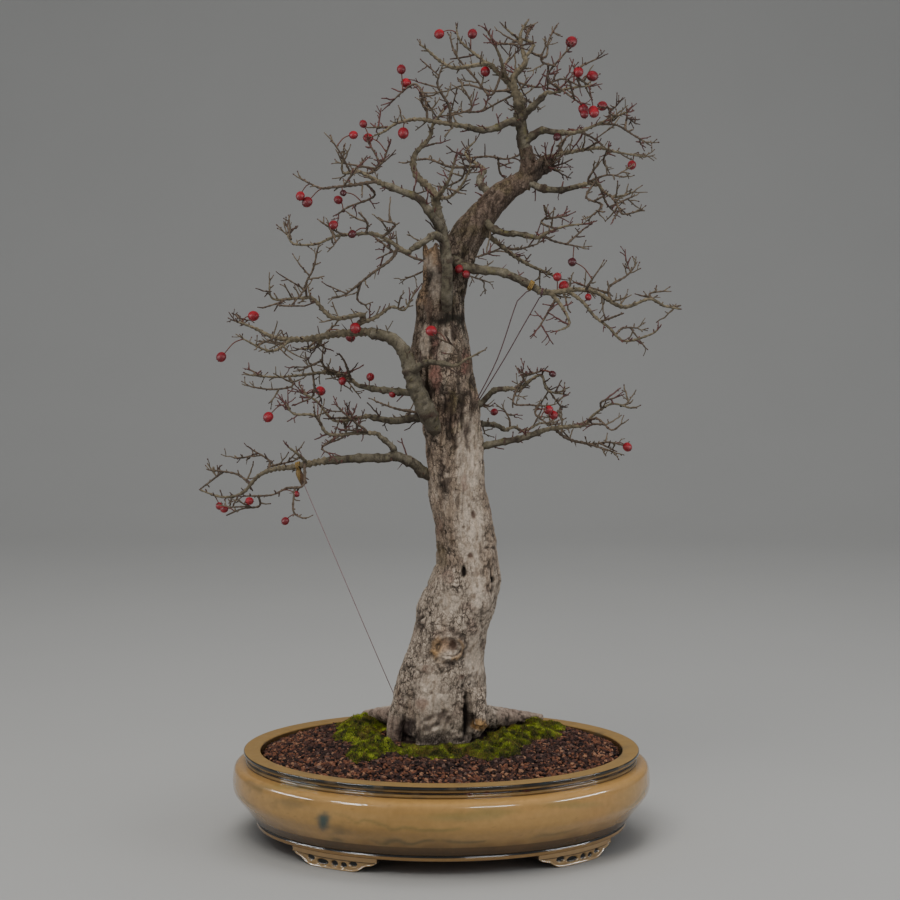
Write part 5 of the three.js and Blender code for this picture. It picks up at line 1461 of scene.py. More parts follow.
def bark_tube(pile, rows, sides, ratio=1.0, swell=None, lumps=limb_lumps, look=bark_look, end=0.5):
    """Adds a limb in old bark from rows of x, y, z and half width."""
    points = spots_of(rows)
    frames = frames_along(points)
    centre = as_array(points)[:, None, :]
    side = as_array([frame[0] for frame in frames])[:, None, :]
    other = as_array([frame[1] for frame in frames])[:, None, :]
    thick = np.array([row[3] for row in rows])[:, None]
    angle = (FULL_TURN * np.arange(sides) / sides)[None, :]
    radius = np.tile(thick, (1, sides))
    if swell:
        height = centre[..., 2]
        radius = thick * swell(angle, height) + ridges_at(angle, height)
    out = side * (ratio * np.cos(angle))[..., None] + other * np.sin(angle)[..., None]
    normals = out / np.linalg.norm(out, axis=-1, keepdims=True)
    shape = side * np.cos(angle)[..., None] + other * (ratio * np.sin(angle))[..., None]
    corners = centre + shape * radius[..., None]
    relief, tints, cracked = look(corners, normals)
    tints = np.concatenate([tints, cracked[..., None]], axis=-1)
    relief = relief * np.minimum(1, thick / FULL_RELIEF) + lumps(corners) * np.minimum(1, thick / THICK_BARK)
    corners = corners + normals * relief[..., None]
    first = pile.grid(corners, tints)
    last = first + (len(rows) - 1) * sides
    tip = points[-1] + frames[-1][2] * (end * rows[-1][3])
    pile.cap(range(last, last + sides), tip, tints[-1].mean(axis=0))


def limb_rows(limb, step):
    """Rows of x, y, z and half width along a tapering limb."""
    return rows_along(*limb_way(limb, BOUGH_STEP), step)


def make_trunk(material):
    pile = Pile()
    axis = trunk_axis(TRUNK_RINGS["step"])
    bark_tube(pile, axis, TRUNK_RINGS["sides"], TRUNK_DEPTH_RATIO, trunk_swell, trunk_lumps)
    for limb in TRUNK_LIMBS:
        bark_tube(pile, limb_rows(limb, LIMB_RINGS["step"]), LIMB_RINGS["sides"])
    for limb in TRUNK_LOBES:
        bark_tube(pile, limb_rows(limb, LOBE_RINGS["step"]), LOBE_RINGS["sides"], end=0.3)
    return pile.finish("trunk_bark", [material])


def bough_look(points, normals):
    """Relief, colour and cracks of the smoother bark of the boughs."""
    relief = 0.8 * layered(points, 6, 61) + 0.35 * noise(points, 2.4, 63)
    crack = lines(points, 5.5, 65, 0.09) * smooth_step(-0.05, 0.4, layered(points, 15, 67))
    scars = specks(points, 3.3, 68, 0.5)
    burrs = specks(points, 8.5, 75, 0.52)
    relief += 0.7 * scars + 1.1 * burrs - 0.45 * crack
    tone = np.clip(0.5 + 0.7 * layered(points, 12, 69) + 0.3 * noise(points, 3, 71), 0, 1)
    tints = paint(plain_tints(points.shape, BOUGH_BROWN), [
        (BOUGH_OLIVE, smooth_step(0.1, 0.5, tone)),
        (BOUGH_PALE, 0.8 * smooth_step(0.5, 0.95, tone)),
        (LICHEN, 0.55 * smooth_step(0.3, 0.6, layered(points, 5, 70))),
        (FISSURE, 0.6 * crack),
        (FISSURE, 0.65 * specks(points, 2.6, 72, 0.42)),
        (DARK_BROWN_AND_SHADE, 0.75 * burrs),
        # Painted shade: the boughs' undersides darken to brown
        (BOUGH_BROWN, 0.7 * smooth_step(0.1, 0.9, -normals[..., 2])),
    ])
    cracked = 0.55 * smooth_step(-0.1, 0.5, layered(points, 15, 67))
    return relief, tints * (1 + 0.1 * noise(points, 1.4, 73))[..., None], cracked


# The knobs along a bough: how far apart, how long and how high, lower on the straight front bough
KNOB_GAPS = (5, 17)
FIRST_KNOB = (4, 14)
KNOB_PAST = 4
KNOB_LENGTH = 1.9
KNOB_RISE = 0.95
FRONT_KNOB_RISE = 0.3
FRONT_SLIMNESS = 0.84

# A thin bough's flare where it leaves its parent, and the part of its width that a thick one starts with
FLARE_PART = 0.25
FLARE_RUN = 5
FLARE_UNDER = 6
NARROW_BOUGHS = ("bough_left_mid", "bough_front")
NARROW_START = 0.66
NARROW_RUN = 24


def make_boughs(material):
    pile = Pile()
    for bough in BOUGHS:
        name = bough["name"]
        start = bough["thick"][0]
        rows = limb_rows(bough, BOUGH_RINGS["step"])
        draw = numbers(len(name) * 91 + int(start * 10))
        following = mix(*FIRST_KNOB, draw())
        slim, rise = (FRONT_SLIMNESS, FRONT_KNOB_RISE) if name == "bough_front" else (1, KNOB_RISE)
        for i, row in enumerate(rows):
            run = i * BOUGH_RINGS["step"]
            if run > following + KNOB_PAST:
                following = run + mix(*KNOB_GAPS, draw())
            width = FLARE_PART * math.exp(-run / FLARE_RUN) if start < FLARE_UNDER else 0
            width += NARROW_START + (1 - NARROW_START) * min(1,
                                                             run / NARROW_RUN) if name in NARROW_BOUGHS else 1
            row[3] = width * slim * row[3] + rise * peak(run, following, KNOB_LENGTH)
        bark_tube(pile, rows, BOUGH_RINGS["sides"], look=bough_look, end=0.8)
    return pile.finish("bough_bark", [material])


# The pot's outside from base to rim as outset, height and which glaze it shows
OUTSIDE = [
    (-BASE_INSET - 1.5, BASE_HEIGHT, "edge"), (-BASE_INSET, BASE_HEIGHT + 0.6, "edge"),
    (-BASE_INSET + 0.2, 16.2, "strip"),
    (-BASE_INSET + 0.2, 18.6, "strip"), (-BASE_INSET, 19.1, "dark"), (-BASE_INSET - 0.7, 19.8, "dark"),
    (-BASE_INSET - 0.4, 20.9, "dark"), (-11.2, 21.5, "low"), (-9.8, 23.4, "low"), (-8.1, 26, "low"),
    (-6, 29, "low"),
    (-3.9, 32, "belly"), (-0.9, 36, "belly"), (2.4, 40, "belly"), (5.8, 44, "belly"), (8.8, 48, "belly"),
    (10.4, 51, "belly"), (11.3, 54, "belly"), (11.7, 58, "belly"), (11.8, 62, "belly"), (11.5, 66, "belly"),
    (11.0, 70, "belly"), (10.3, 73.6, "belly"), (9.4, 75.8, "belly"), (8.0, 77.4, "belly"),
    (5.4, 78.6, "belly"),
    (1.8, 79.2, "belly"), (-1.4, 79.5, "belly"), (-2.4, 79.7, "seam"), (-2.5, 80.2, "seam"),
    (-1.9, 80.6, "bead"),
    (-1.6, 81.5, "bead"), (-1.7, 82.5, "bead"), (-2.3, 83.2, "bead"), (-3.2, 83.6, "groove"),
    (-3.7, 84.4, "groove"),
    (-3.4, 85.3, "groove"), (-2.4, 85.7, "bead"), (-1.8, 86.4, "bead"), (-1.8, 87.4, "bead"),
    (-1.9, 87.9, "dark"),
    (-0.7, 88.3, "dark"), (0.0, 88.9, "dark"), (0.1, 90.8, "dark"), (-0.2, 91.6, "dark"),
    (-0.8, 91.95, "rim"),
    (-2, 92, "rim"), (-6, 91.9, "rim"), (-11, 91.8, "rim"), (-15.6, 91.7, "rim"), (-16.6, 91.3, "rim"),
    (-17.1, 90.4, "inner"), (-17.6, 87, "inner"), (-18.5, 82, "inner"), (-14, 76, "inner"),
]
# Painted shade: edge, the bevel at the bottom of the base, and low, under the belly, are dark as shade, low also
# with pooled glaze in it; the groove's dark brown is dark glaze with painted shade in it
GLAZES = {
    "edge": srgb(74, 56, 36), "strip": srgb(152, 116, 66), "dark": srgb(22, 22, 20), "low": srgb(84, 60, 32),
    "belly": srgb(186, 146, 86), "bead": srgb(146, 117, 70), "groove": srgb(46, 28, 18),
    "rim": srgb(150, 120, 72),
    "inner": srgb(84, 64, 40), "seam": srgb(92, 68, 40),
}
TEAL_SPOTS = [(-117.5, 26, 6, 7.5), (-60, 76, 5, 1.5)]
DULL_SPOTS = [(-102, 13, 9, 9), (-194, 64, 14, 3), (-180, 57, 10, 3.5), (-150, 44, 16, 6)]
DRIPS = [(20, 30, 36, 4), (52, 35, 22, 4), (128, 42, 26, 3), (-150, 60, 30, 3)]
RED_SPOTS = [(28, 53, 3.4, 1.6), (45, 54, 3.2, 1.6), (85, 56, 3.4, 1.8)]
POT_SEGMENTS = 400


def oval(outset, height, count=POT_SEGMENTS):
    angle = FULL_TURN * np.arange(count) / count
    return np.stack([(RIM_HALF_LENGTH + outset) * np.cos(angle), (RIM_HALF_WIDTH + outset) * np.sin(angle),
                     np.full(count, float(height))], axis=-1)


# Colours of the runs, pools and spots in the glaze; the pools' darkening of the lower belly is partly painted
# shade
AMBER = srgb(190, 142, 82)
DULL_RUN = srgb(148, 114, 58)
SHOULDER = srgb(184, 142, 84)
POOLED_GLAZE_AND_SHADE = srgb(100, 72, 34)
DEEPEST_POOL_AND_SHADE = srgb(62, 46, 26)
POOL_EDGE = srgb(92, 86, 52)
TEAR_EDGE = srgb(124, 112, 62)
SPECK = srgb(130, 98, 58)
TEAL = srgb(26, 70, 74)
ASH = srgb(84, 82, 56)
DRIP = srgb(120, 118, 70)
DARK_RED = srgb(78, 26, 20)
SLATE = srgb(46, 66, 68)
THIN_GLAZE = srgb(120, 98, 66)


def glaze_tints(corners, tints):
    """The runs, pools and spots of the glaze over its plain colours; the pools' darkening of the lower belly is
    partly painted shade.
    """
    across, up = sight(corners)
    front = (corners[..., 1] < 0).astype(float)
    height = corners[..., 2]
    side = lengthwise(corners, 1.6)
    ground = lengthwise(side, 0)
    belly = smooth_step(21.5, 24, height) * (1 - smooth_step(79.0, 79.5, height))
    bands = smooth_step(79.4, 80, height) * (1 - smooth_step(91.6, 92, height))
    broad = layered(side, 75, 81, 4)
    pool = 38 + 9 * noise(ground, 45, 83) + 4 * noise(ground, 14, 84)
    tear = 60 + 9 * noise(ground, 38, 185) + 3 * noise(ground, 9, 186)
    ragged = smooth_step(-0.6, 0.3, noise(side, 9, 188))
    layers = [
        (AMBER, 0.5 * belly * smooth_step(0.0, 0.6, broad)),
        (DULL_RUN, 0.55 * belly * smooth_step(0.0, 0.6, -broad)),
        (SHOULDER, 0.6 * belly * smooth_step(66, 76, height)),
        # Pooled glaze with painted shade: the lower belly darkens towards the base
        (POOLED_GLAZE_AND_SHADE, 0.7 * belly * (1 - smooth_step(pool - 12, pool + 6, height))),
        (DEEPEST_POOL_AND_SHADE, 0.75 * belly * (1 - smooth_step(21, 31, height))),
        (POOL_EDGE, 0.6 * belly * peak(height, pool, 2.2) * smooth_step(0.05, 0.5, noise(side, 30, 85))),
        (TEAR_EDGE, 0.6 * belly * peak(height, tear, 1.6) * smooth_step(0.0, 0.5, noise(ground, 52, 187))),
        (SPECK, 0.35 * belly * smooth_step(0.72, 0.9, noise(side, 2.6, 87))),
    ]
    kinds = [(TEAL_SPOTS, TEAL, 0.9, 0.6), (DULL_SPOTS, ASH, 0.45 * ragged, 0.9), (DRIPS, DRIP, 0.4, 0.7),
             (RED_SPOTS, DARK_RED, 0.9, 0.4)]
    for spots, colour, part, soft in kinds:
        layers += [(colour, part * front * spot_mask(across, up, spot, soft)) for spot in spots]
    layers.append((SLATE, 0.4 * bands * smooth_step(0.25, 0.7, noise(side, 20, 89))))
    layers.append((THIN_GLAZE, 0.4 * bands * smooth_step(0.3, 0.7, noise(side, 12, 91))))
    return paint(tints, layers)


# How far apart the pot's rows of corners are, and which of its materials each part has
POT_STEP = 1.2
GLAZE_SLOT, CLAY_SLOT, RIM_SLOT = 0, 1, 2


def pot_body(pile):
    """The bowl's outside, rim and inner lip, a little uneven as a thrown pot is."""
    rows = []
    glazes = []
    for (outset, height, glaze), (next_outset, next_height, _) in zip(OUTSIDE, OUTSIDE[1:]):
        count = max(1, int(math.hypot(next_outset - outset, next_height - height) / POT_STEP))
        for k in range(count):
            rows.append((mix(outset, next_outset, k / count), mix(height, next_height, k / count)))
            glazes.append(glaze)
    rows.append(OUTSIDE[-1][:2])
    glazes.append("inner")
    corners = np.stack([oval(outset, height) for outset, height in rows])
    tints = np.repeat(np.array([GLAZES[glaze] for glaze in glazes])[:, None, :], POT_SEGMENTS, axis=1)
    height = corners[..., 2]
    middle = lengthwise(corners, 0)
    outward = middle / np.linalg.norm(middle, axis=-1, keepdims=True)
    held = smooth_step(16, 24, height) * (1 - smooth_step(80, 90, height))
    uneven = (0.3 * layered(corners, 60, 93) - 0.35) * held
    corners = corners + outward * uneven[..., None]
    pile.grid(corners, glaze_tints(corners, tints))
    pile.slots = [RIM_SLOT if glaze == "rim" else GLAZE_SLOT for glaze in glazes[:-1]
                  for _ in range(POT_SEGMENTS)]


# Where the pot's drain holes are: their half width and how far they are from its middle
DRAIN_RADIUS = 9
DRAIN_SPREAD = 85
DRAIN_SIDES = 32
FLOOR_HEIGHT = 27
BASE_SIDES = 160
CLAY = srgb(150, 112, 78)
DRAIN_CLAY = srgb(120, 88, 62)
DRAIN_DARK = srgb(50, 36, 32)


def pot_base(pile):
    """The flat underside, with its drain holes."""
    loops = [[Vector(p) for p in oval(OUTSIDE[0][0], BASE_HEIGHT, BASE_SIDES)]]
    for x in (-DRAIN_SPREAD, DRAIN_SPREAD):
        turns = [FULL_TURN * k / DRAIN_SIDES for k in range(DRAIN_SIDES)]
        loops.append([Vector((x + DRAIN_RADIUS * math.cos(t), DRAIN_RADIUS * math.sin(t), BASE_HEIGHT))
                      for t in turns])
    first = len(pile.corners)
    points = [p for loop in loops for p in loop]
    pile.corners.extend(map(tuple, points))
    pile.tints.extend([CLAY] * len(points))
    for a, b, c in tessellate_polygon(loops):
        flat = (points[b] - points[a]).cross(points[c] - points[a])
        face = (first + a, first + c, first + b) if flat.z > 0 else (first + a, first + b, first + c)
        pile.add_faces([face], CLAY_SLOT)
    for loop in loops[1:]:
        wall = np.array([[(p.x, p.y, FLOOR_HEIGHT) for p in loop], [tuple(p) for p in loop]])
        top = pile.grid(wall, plain_tints(wall.shape, DRAIN_CLAY), CLAY_SLOT)
        middle = (loop[0].x - DRAIN_RADIUS, 0, FLOOR_HEIGHT)
        pile.cap(range(top, top + DRAIN_SIDES), middle, DRAIN_DARK, CLAY_SLOT, turned=True)


# A foot's lower edge: part of its length and height above the ground
FOOT_STEPS = [(0, 11), (0.05, 7.5), (0.13, 6.5), (0.18, 2), (0.25, 0), (0.75, 0), (0.82, 2), (0.87, 6.5),
              (0.95, 7.5),
              (1, 11)]
FOOT_FLAT = (0.27, 0.73)

# Carved hollows on a foot's face: along from its middle, height, half width and half height
FOOT_CARVINGS = [(-24, 8, 5, 3.2), (-10, 5.6, 7.2, 3.2), (4, 6, 4, 3.2), (14, 5.6, 3.6, 3),
                 (24, 7.6, 4.4, 2.8)]
FOOT_COLUMNS = 150
FOOT_ROWS = 24
FOOT_TOP = BASE_HEIGHT + 1.0
FOOT_INSET = 1.2
FOOT_LEAN = 1.3
CARVING_DEPTH = 2.2
LIP_RISE = 0.9
GROOVE_HEIGHT = 10.6
FOOT_GLAZE = srgb(168, 134, 90)
FOOT_LIP = srgb(190, 158, 110)
# Painted highlight: a pale ring round the rims of the carved hollows
CARVING_EDGE_HIGHLIGHT = srgb(206, 176, 128)
CARVING_DARK = srgb(22, 25, 26)
FOOT_EDGE = srgb(40, 40, 38)
FOOT_BACK = srgb(132, 100, 68)
FOOT_END = srgb(60, 50, 40)


def foot_edge(part):
    """The height of a foot's lower edge along its length, its steps a little rounded."""
    low = np.interp(part, [p for p, _ in FOOT_STEPS], [h for _, h in FOOT_STEPS])
    low = np.convolve(np.pad(low, 4, mode="edge"), np.ones(9) / 9, mode="valid")
    return np.where((part > FOOT_FLAT[0]) & (part < FOOT_FLAT[1]), 0, low)


def foot_face(run, height, low):
    """How far a foot's face is set back at each place along one row, and its colours."""
    carved = np.zeros(FOOT_COLUMNS)
    for along, up, half, tall in FOOT_CARVINGS:
        apart = np.hypot((run - along) / half, (height - up) / tall)
        carved = np.maximum(carved, 1 - smooth_step(0.75, 1.1, apart))
    above = np.abs(height - low)
    lip = 1 - smooth_step(0.6, 1.8, above)
    colours = paint(plain_tints((FOOT_COLUMNS, 3), FOOT_GLAZE), [
        (FOOT_LIP, lip),
        # Painted highlight on the rims of the carved hollows
        (CARVING_EDGE_HIGHLIGHT, 0.8 * peak(carved, 0.25, 0.2)),
        (CARVING_DARK, np.maximum(smooth_step(0.4, 0.8, carved), peak(height, GROOVE_HEIGHT, 0.5))),
        (FOOT_EDGE, 0.7 * (1 - smooth_step(0, 0.7, above))),
    ])
    return CARVING_DEPTH * carved - LIP_RISE * lip - smooth_step(10.2, 11.0, height), colours


def pot_feet(pile):
    """The four bracket feet, each bent round the pot's base."""
    half_length = RIM_HALF_LENGTH - BASE_INSET
    half_width = RIM_HALF_WIDTH - BASE_INSET
    part = np.linspace(0, 1, FOOT_COLUMNS)
    run = (part - 0.5) * FOOT_LENGTH
    low = foot_edge(part)
    top = np.full(FOOT_COLUMNS, FOOT_TOP)
    for degrees in FOOT_ANGLES:
        middle = math.radians(degrees)
        pace = math.hypot(half_length * math.sin(middle), half_width * math.cos(middle))
        angle = middle + (part - 0.5) * (FOOT_LENGTH / pace)
        rows = []
        tints = []

        def add_row(inset, height, colours):
            rows.append(np.stack([(half_length - inset) * np.cos(angle), (half_width - inset) * np.sin(angle),
                                  height],
                                 axis=-1))
            tints.append(colours)

        for k in range(FOOT_ROWS + 1):
            height = mix(top, low, k / FOOT_ROWS)
            back, colours = foot_face(run, height, low)
            add_row(FOOT_INSET + FOOT_LEAN * k / FOOT_ROWS + back, height, colours)
        for height in (low, top):
            add_row(FOOT_DEPTH, height, plain_tints((FOOT_COLUMNS, 3), FOOT_BACK))
        corners = np.stack(rows)
        corners[..., 2] = np.maximum(corners[..., 2], 0.0)
        first = pile.grid(corners[::-1], np.stack(tints)[::-1], closed=False)
        for column, turned in ((0, False), (FOOT_COLUMNS - 1, True)):
            ring = [first + r * FOOT_COLUMNS + column for r in range(len(rows))]
            pile.cap(ring, corners[:, column].mean(axis=0), FOOT_END, turned=turned)


def make_pot(glaze, clay, rim_glaze):
    pile = Pile()
    pot_body(pile)
    pot_feet(pile)
    pot_base(pile)
    return pile.finish("pot_glazed", [glaze, clay, rim_glaze])


def glaze_material(name, coat, dull):
    """Glossy glaze whose colour is the mesh's own tint; coat is its clear coat and dull its least
    roughness."""
    material, tree, shader = new_material(name, 0.16, 0.3)
    mottled_tint(tree, shader, noise_node(tree, 160, 3.0), 0.93, 1.06)
    gloss = ramp_node(tree, noise_node(tree, 60, 3.0), grey_stops(dull, dull + 0.14))
    give(tree, shader.inputs["Roughness"], gloss)
    shader.inputs["Coat Weight"].default_value = coat
    shader.inputs["Coat IOR"].default_value = 1.45
    shader.inputs["Coat Roughness"].default_value = 0.04
    bump_node(tree, shader, noise_node(tree, 70, 3.0), 0.0004, 0.35)
    return material


# Halvings that find how far out in the soil a place is
SOIL_HALVINGS = 18
SOIL_MOST = 1.2


def soil_part(x, y):
    """How far a place is from the soil's flat top, 0, to the pot's wall, 1."""
    low = np.zeros_like(x)
    high = np.ones_like(x) * SOIL_MOST
    for _ in range(SOIL_HALVINGS):
        part = (low + high) / 2
        half_length = mix(SOIL_TOP["half_length"], RIM_HALF_LENGTH - SOIL_WALL, part)
        half_width = mix(SOIL_TOP["half_width"], RIM_HALF_WIDTH - SOIL_WALL, part)
        across = (x - SOIL_TOP["x"] * (1 - part)) / half_length
        outside = np.hypot(across, (y - SOIL_TOP["y"] * (1 - part)) / half_width) > 1
        low = np.where(outside, part, low)
        high = np.where(outside, high, part)
    return (low + high) / 2


def soil_height(x, y):
    middle = mix(SOIL_EDGE_HEIGHT, SOIL_TOP_HEIGHT, 0.5)
    upper = mix(SOIL_EDGE_HEIGHT, SOIL_TOP_HEIGHT, 0.88)
    return np.interp(soil_part(x, y), [0, 0.25, 0.6, 1], [SOIL_TOP_HEIGHT, upper, middle, SOIL_EDGE_HEIGHT])


SOIL_RINGS = 40
SOIL_SIDES = 160
SOIL_SUNK = 1.2
SKIRT_DEPTH = 12


def make_soil(material):
    """The soil's bed under its grains, its skirt down inside the pot's wall."""
    pile = Pile()
    rings = [oval(-SOIL_WALL, SOIL_EDGE_HEIGHT - SKIRT_DEPTH, SOIL_SIDES)]
    for part in np.linspace(1.0, 0.02, SOIL_RINGS):
        ring = oval(-SOIL_WALL, 0, SOIL_SIDES) * part
        ring[:, 2] = soil_height(ring[:, 0], ring[:, 1]) - SOIL_SUNK
        ring[:, 2] += 1.0 * noise(ring, 6, 101) * (part < 0.98)
        rings.append(ring)
    corners = np.stack(rings)
    last = pile.grid(corners) + SOIL_RINGS * SOIL_SIDES
    pile.cap(range(last, last + SOIL_SIDES), (0, 0, float(corners[-1, 0, 2])))
    return pile.finish("soil_bed", [material])


def moss_height(x, y):
    """The top of the moss over each place, or nothing where there is none: cushions, and a thin coat between
    them."""
    top = np.full(x.shape, -1.0)
    ground = on_ground(x, y)
    ragged = 0.45 * layered(ground, 12, 161)
    near = np.full(x.shape, 9.0)
    for cushions in MOSS_PATCHES.values():
        for middle_x, middle_y, half_length, half_width, height in cushions:
            apart = ((x - middle_x) / half_length) ** 2 + ((y - middle_y) / half_width) ** 2
            near = np.minimum(near, np.sqrt(apart) + ragged)
            lumpy = height * (1 + 0.5 * ragged)
            lumpy = lumpy * (0.85 + 0.55 * noise(ground, 9, 163) + 0.35 * noise(ground, 4.5, 164))
            rise = SOIL_TOP_HEIGHT - 0.4 * lumpy + 1.4 * lumpy * np.sqrt(np.clip(1 - apart - 0.35 * ragged, 0,
                                                                                 1))
            top = np.where(apart + 0.7 * ragged < 1, np.maximum(top, rise), top)
    beside = trunk_foot(x, y, 9) + 0.5 * ragged
    in_front = (y < place(TRUNK_STATIONS[0][:3]).y + 10) & (x > -40)
    thin = (near < 1.04) | ((beside < 0.98) & in_front)
    coat = soil_height(x, y) + 1.2 + 2.2 * np.clip(1.15 - near, 0, 0.4)
    return np.where(thin & (top < coat), coat, top)


def stone_template(twists):
    """The corners and faces of a small twenty-faced stone."""
    golden = (1 + 5 ** 0.5) / 2
    corners = [(-1, golden, 0), (1, golden, 0), (-1, -golden, 0), (1, -golden, 0), (0, -1, golden),
               (0, 1, golden),
               (0, -1, -golden), (0, 1, -golden), (golden, 0, -1), (golden, 0, 1), (-golden, 0, -1),
               (-golden, 0, 1)]
    faces = [(0, 11, 5), (0, 5, 1), (0, 1, 7), (0, 7, 10), (0, 10, 11), (1, 5, 9), (5, 11, 4), (11, 10, 2),
             (10, 7, 6),
             (7, 1, 8), (3, 9, 4), (3, 4, 2), (3, 2, 6), (3, 6, 8), (3, 8, 9), (4, 9, 5), (2, 4, 11),
             (6, 2, 10),
             (8, 6, 7), (9, 8, 1)]
    corners = np.array(corners, dtype=float)
    corners /= np.linalg.norm(corners, axis=1, keepdims=True)
    return corners * (1 + twists[:, None]), faces


def trunk_foot(x, y, more):
    """How far out of the trunk's foot a place on the ground is, 1 being that much beyond its outline."""
    foot = TRUNK_STATIONS[0]
    middle = place(foot[:3])
    return np.hypot((x - middle.x) / (foot[3] + more), (y - middle.y) / (TRUNK_DEPTH_RATIO * foot[3] + more))


# The soil's grains: how many, their half widths and how often each, their tones and how often each, what
# being near
# the edge adds to that, and what a reddish place makes of it
GRAIN_COUNT = 9400
GRAIN_SIZES = [1.2, 1.6, 2.1, 2.8]
GRAIN_SHARES = [0.28, 0.36, 0.26, 0.1]
GRAIN_TONES = [(60, 42, 36), (84, 56, 46), (42, 29, 27), (116, 74, 54), (104, 82, 72), (30, 21, 20),
               (150, 110, 84),
               (74, 50, 45)]
GRAIN_WEIGHTS = np.array([5, 4, 4, 2, 1.6, 3, 0.8, 4])
EDGE_WEIGHTS = np.array([0, 0, 0, 3, 0, 0, 1.6, 0])
PLAIN_PART = np.array([1, 1, 1, 1.3, 1, 1, 1, 1])
REDDISH_PART = np.array([0, 1, 0, 1, 0, 0, 0.8, 0])
LEAST_WEIGHT = 0.05
EDGE_FROM = 0.4
ANY_ANGLE = 6.28


def make_grains(materials):
    """The loose stones of the soil, wherever no moss and no trunk covers it."""
    pile = Pile()
    rng = np.random.default_rng(5)
    half_length = RIM_HALF_LENGTH - SOIL_WALL
    half_width = RIM_HALF_WIDTH - SOIL_WALL
    x = rng.uniform(-1, 1, 3 * GRAIN_COUNT) * half_length
    y = rng.uniform(-1, 1, 3 * GRAIN_COUNT) * half_width
    kept = np.hypot(x / (half_length - 1.5), y / (half_width - 1.5)) < 1
    height = soil_height(x, y)
    kept &= moss_height(x, y) < height + 0.9
    kept &= trunk_foot(x, y, -4) >= 1
    x, y, height = x[kept][:GRAIN_COUNT], y[kept][:GRAIN_COUNT], height[kept][:GRAIN_COUNT]
    edges = soil_part(x, y) > EDGE_FROM
    for i in range(len(x)):
        size = rng.choice(GRAIN_SIZES, p=GRAIN_SHARES)
        corners, faces = stone_template(rng.uniform(-0.32, 0.3, 12))
        flat = rng.uniform(0.65, 1.0)
        turn = rng.uniform(0, ANY_ANGLE)
        cosine, sine = math.cos(turn), math.sin(turn)
        spun = np.stack([corners[:, 0] * cosine - corners[:, 1] * sine, corners[:, 0] * sine + corners[:, 1]
                         * cosine,
                         corners[:, 2] * flat], axis=-1)
        tilt = rng.uniform(-0.5, 0.5)
        spun[:, 2] += tilt * spun[:, 0] * 0.5
        middle = np.array([x[i], y[i], height[i] + rng.uniform(-0.5, 0.9)])
        reddish = noise(np.array([[x[i], y[i], 0.0]]), 40, 105)[0]
        weights = (GRAIN_WEIGHTS + EDGE_WEIGHTS * edges[i]) * (PLAIN_PART + REDDISH_PART * reddish)
        weights = np.clip(weights, LEAST_WEIGHT, None)
        slot = int(rng.choice(len(GRAIN_TONES), p=weights / weights.sum()))
        pile.shape([tuple(c) for c in middle + spun * size], faces, slot)
    return pile.finish("soil_grains", materials, smooth=False)


# The moss: its tones from green to black and dry, the least tone of the first five, the area its leaves are
# strewn
# over, how many are tried, and how tall and wide a leaf is
MOSS_TONES = [(104, 114, 22), (80, 90, 18), (142, 152, 46), (94, 80, 32), (46, 50, 14), (116, 88, 44)]
MOSS_STEPS = [(0.5, 2), (0.08, 0), (-0.3, 1), (-0.5, 3), (-9, 4)]
MOSS_AREA = {"x": (-118, 138), "y": (-82, 102)}
MOSS_LEAVES = 105000
LEAF_HEIGHT = (1.3, 2.7)
LEAF_WIDTH = (0.42, 0.7)
LEAF_LEAN = 0.35
DRY_FROM = 0.22
DRY_CHANCE = 0.45
ODD_CHANCE = 0.03
BED_TONE = 4
BED_RINGS = 14
BED_SIDES = 48
STEEPEST = 1.4


def make_moss_bed(material):
    """The lumpy cushions under the moss's leaves."""
    bed = Pile()
    turns = np.linspace(0, FULL_TURN, BED_SIDES, endpoint=False)
    for cushions in MOSS_PATCHES.values():
        for x, y, half_length, half_width, height in cushions:
            rings = []
            for tilt in np.linspace(0.02, math.pi / 2, BED_RINGS)[::-1]:
                rise = np.full(BED_SIDES, SOIL_TOP_HEIGHT - 0.4 * height + 1.4 * height * math.cos(tilt))
                ring = np.stack([x + half_length * np.sin(tilt) * np.cos(turns),
                                 y + half_width * np.sin(tilt) * np.sin(turns), rise], axis=-1)
                ring[:, 2] += 0.9 * layered(ring, 9, 111) - 0.6
                under = moss_height(ring[:, 0], ring[:, 1]) + 1.3 * layered(ring, 9, 111) - 1.4
                ring[:, 2] = np.maximum(np.minimum(ring[:, 2], under), SOIL_TOP_HEIGHT - 0.5 * height)
                rings.append(ring)
            last = bed.grid(np.stack(rings)) + (BED_RINGS - 1) * BED_SIDES
            bed.cap(range(last, last + BED_SIDES), rings[-1].mean(axis=0))
    return bed.finish("moss_bed", [material])


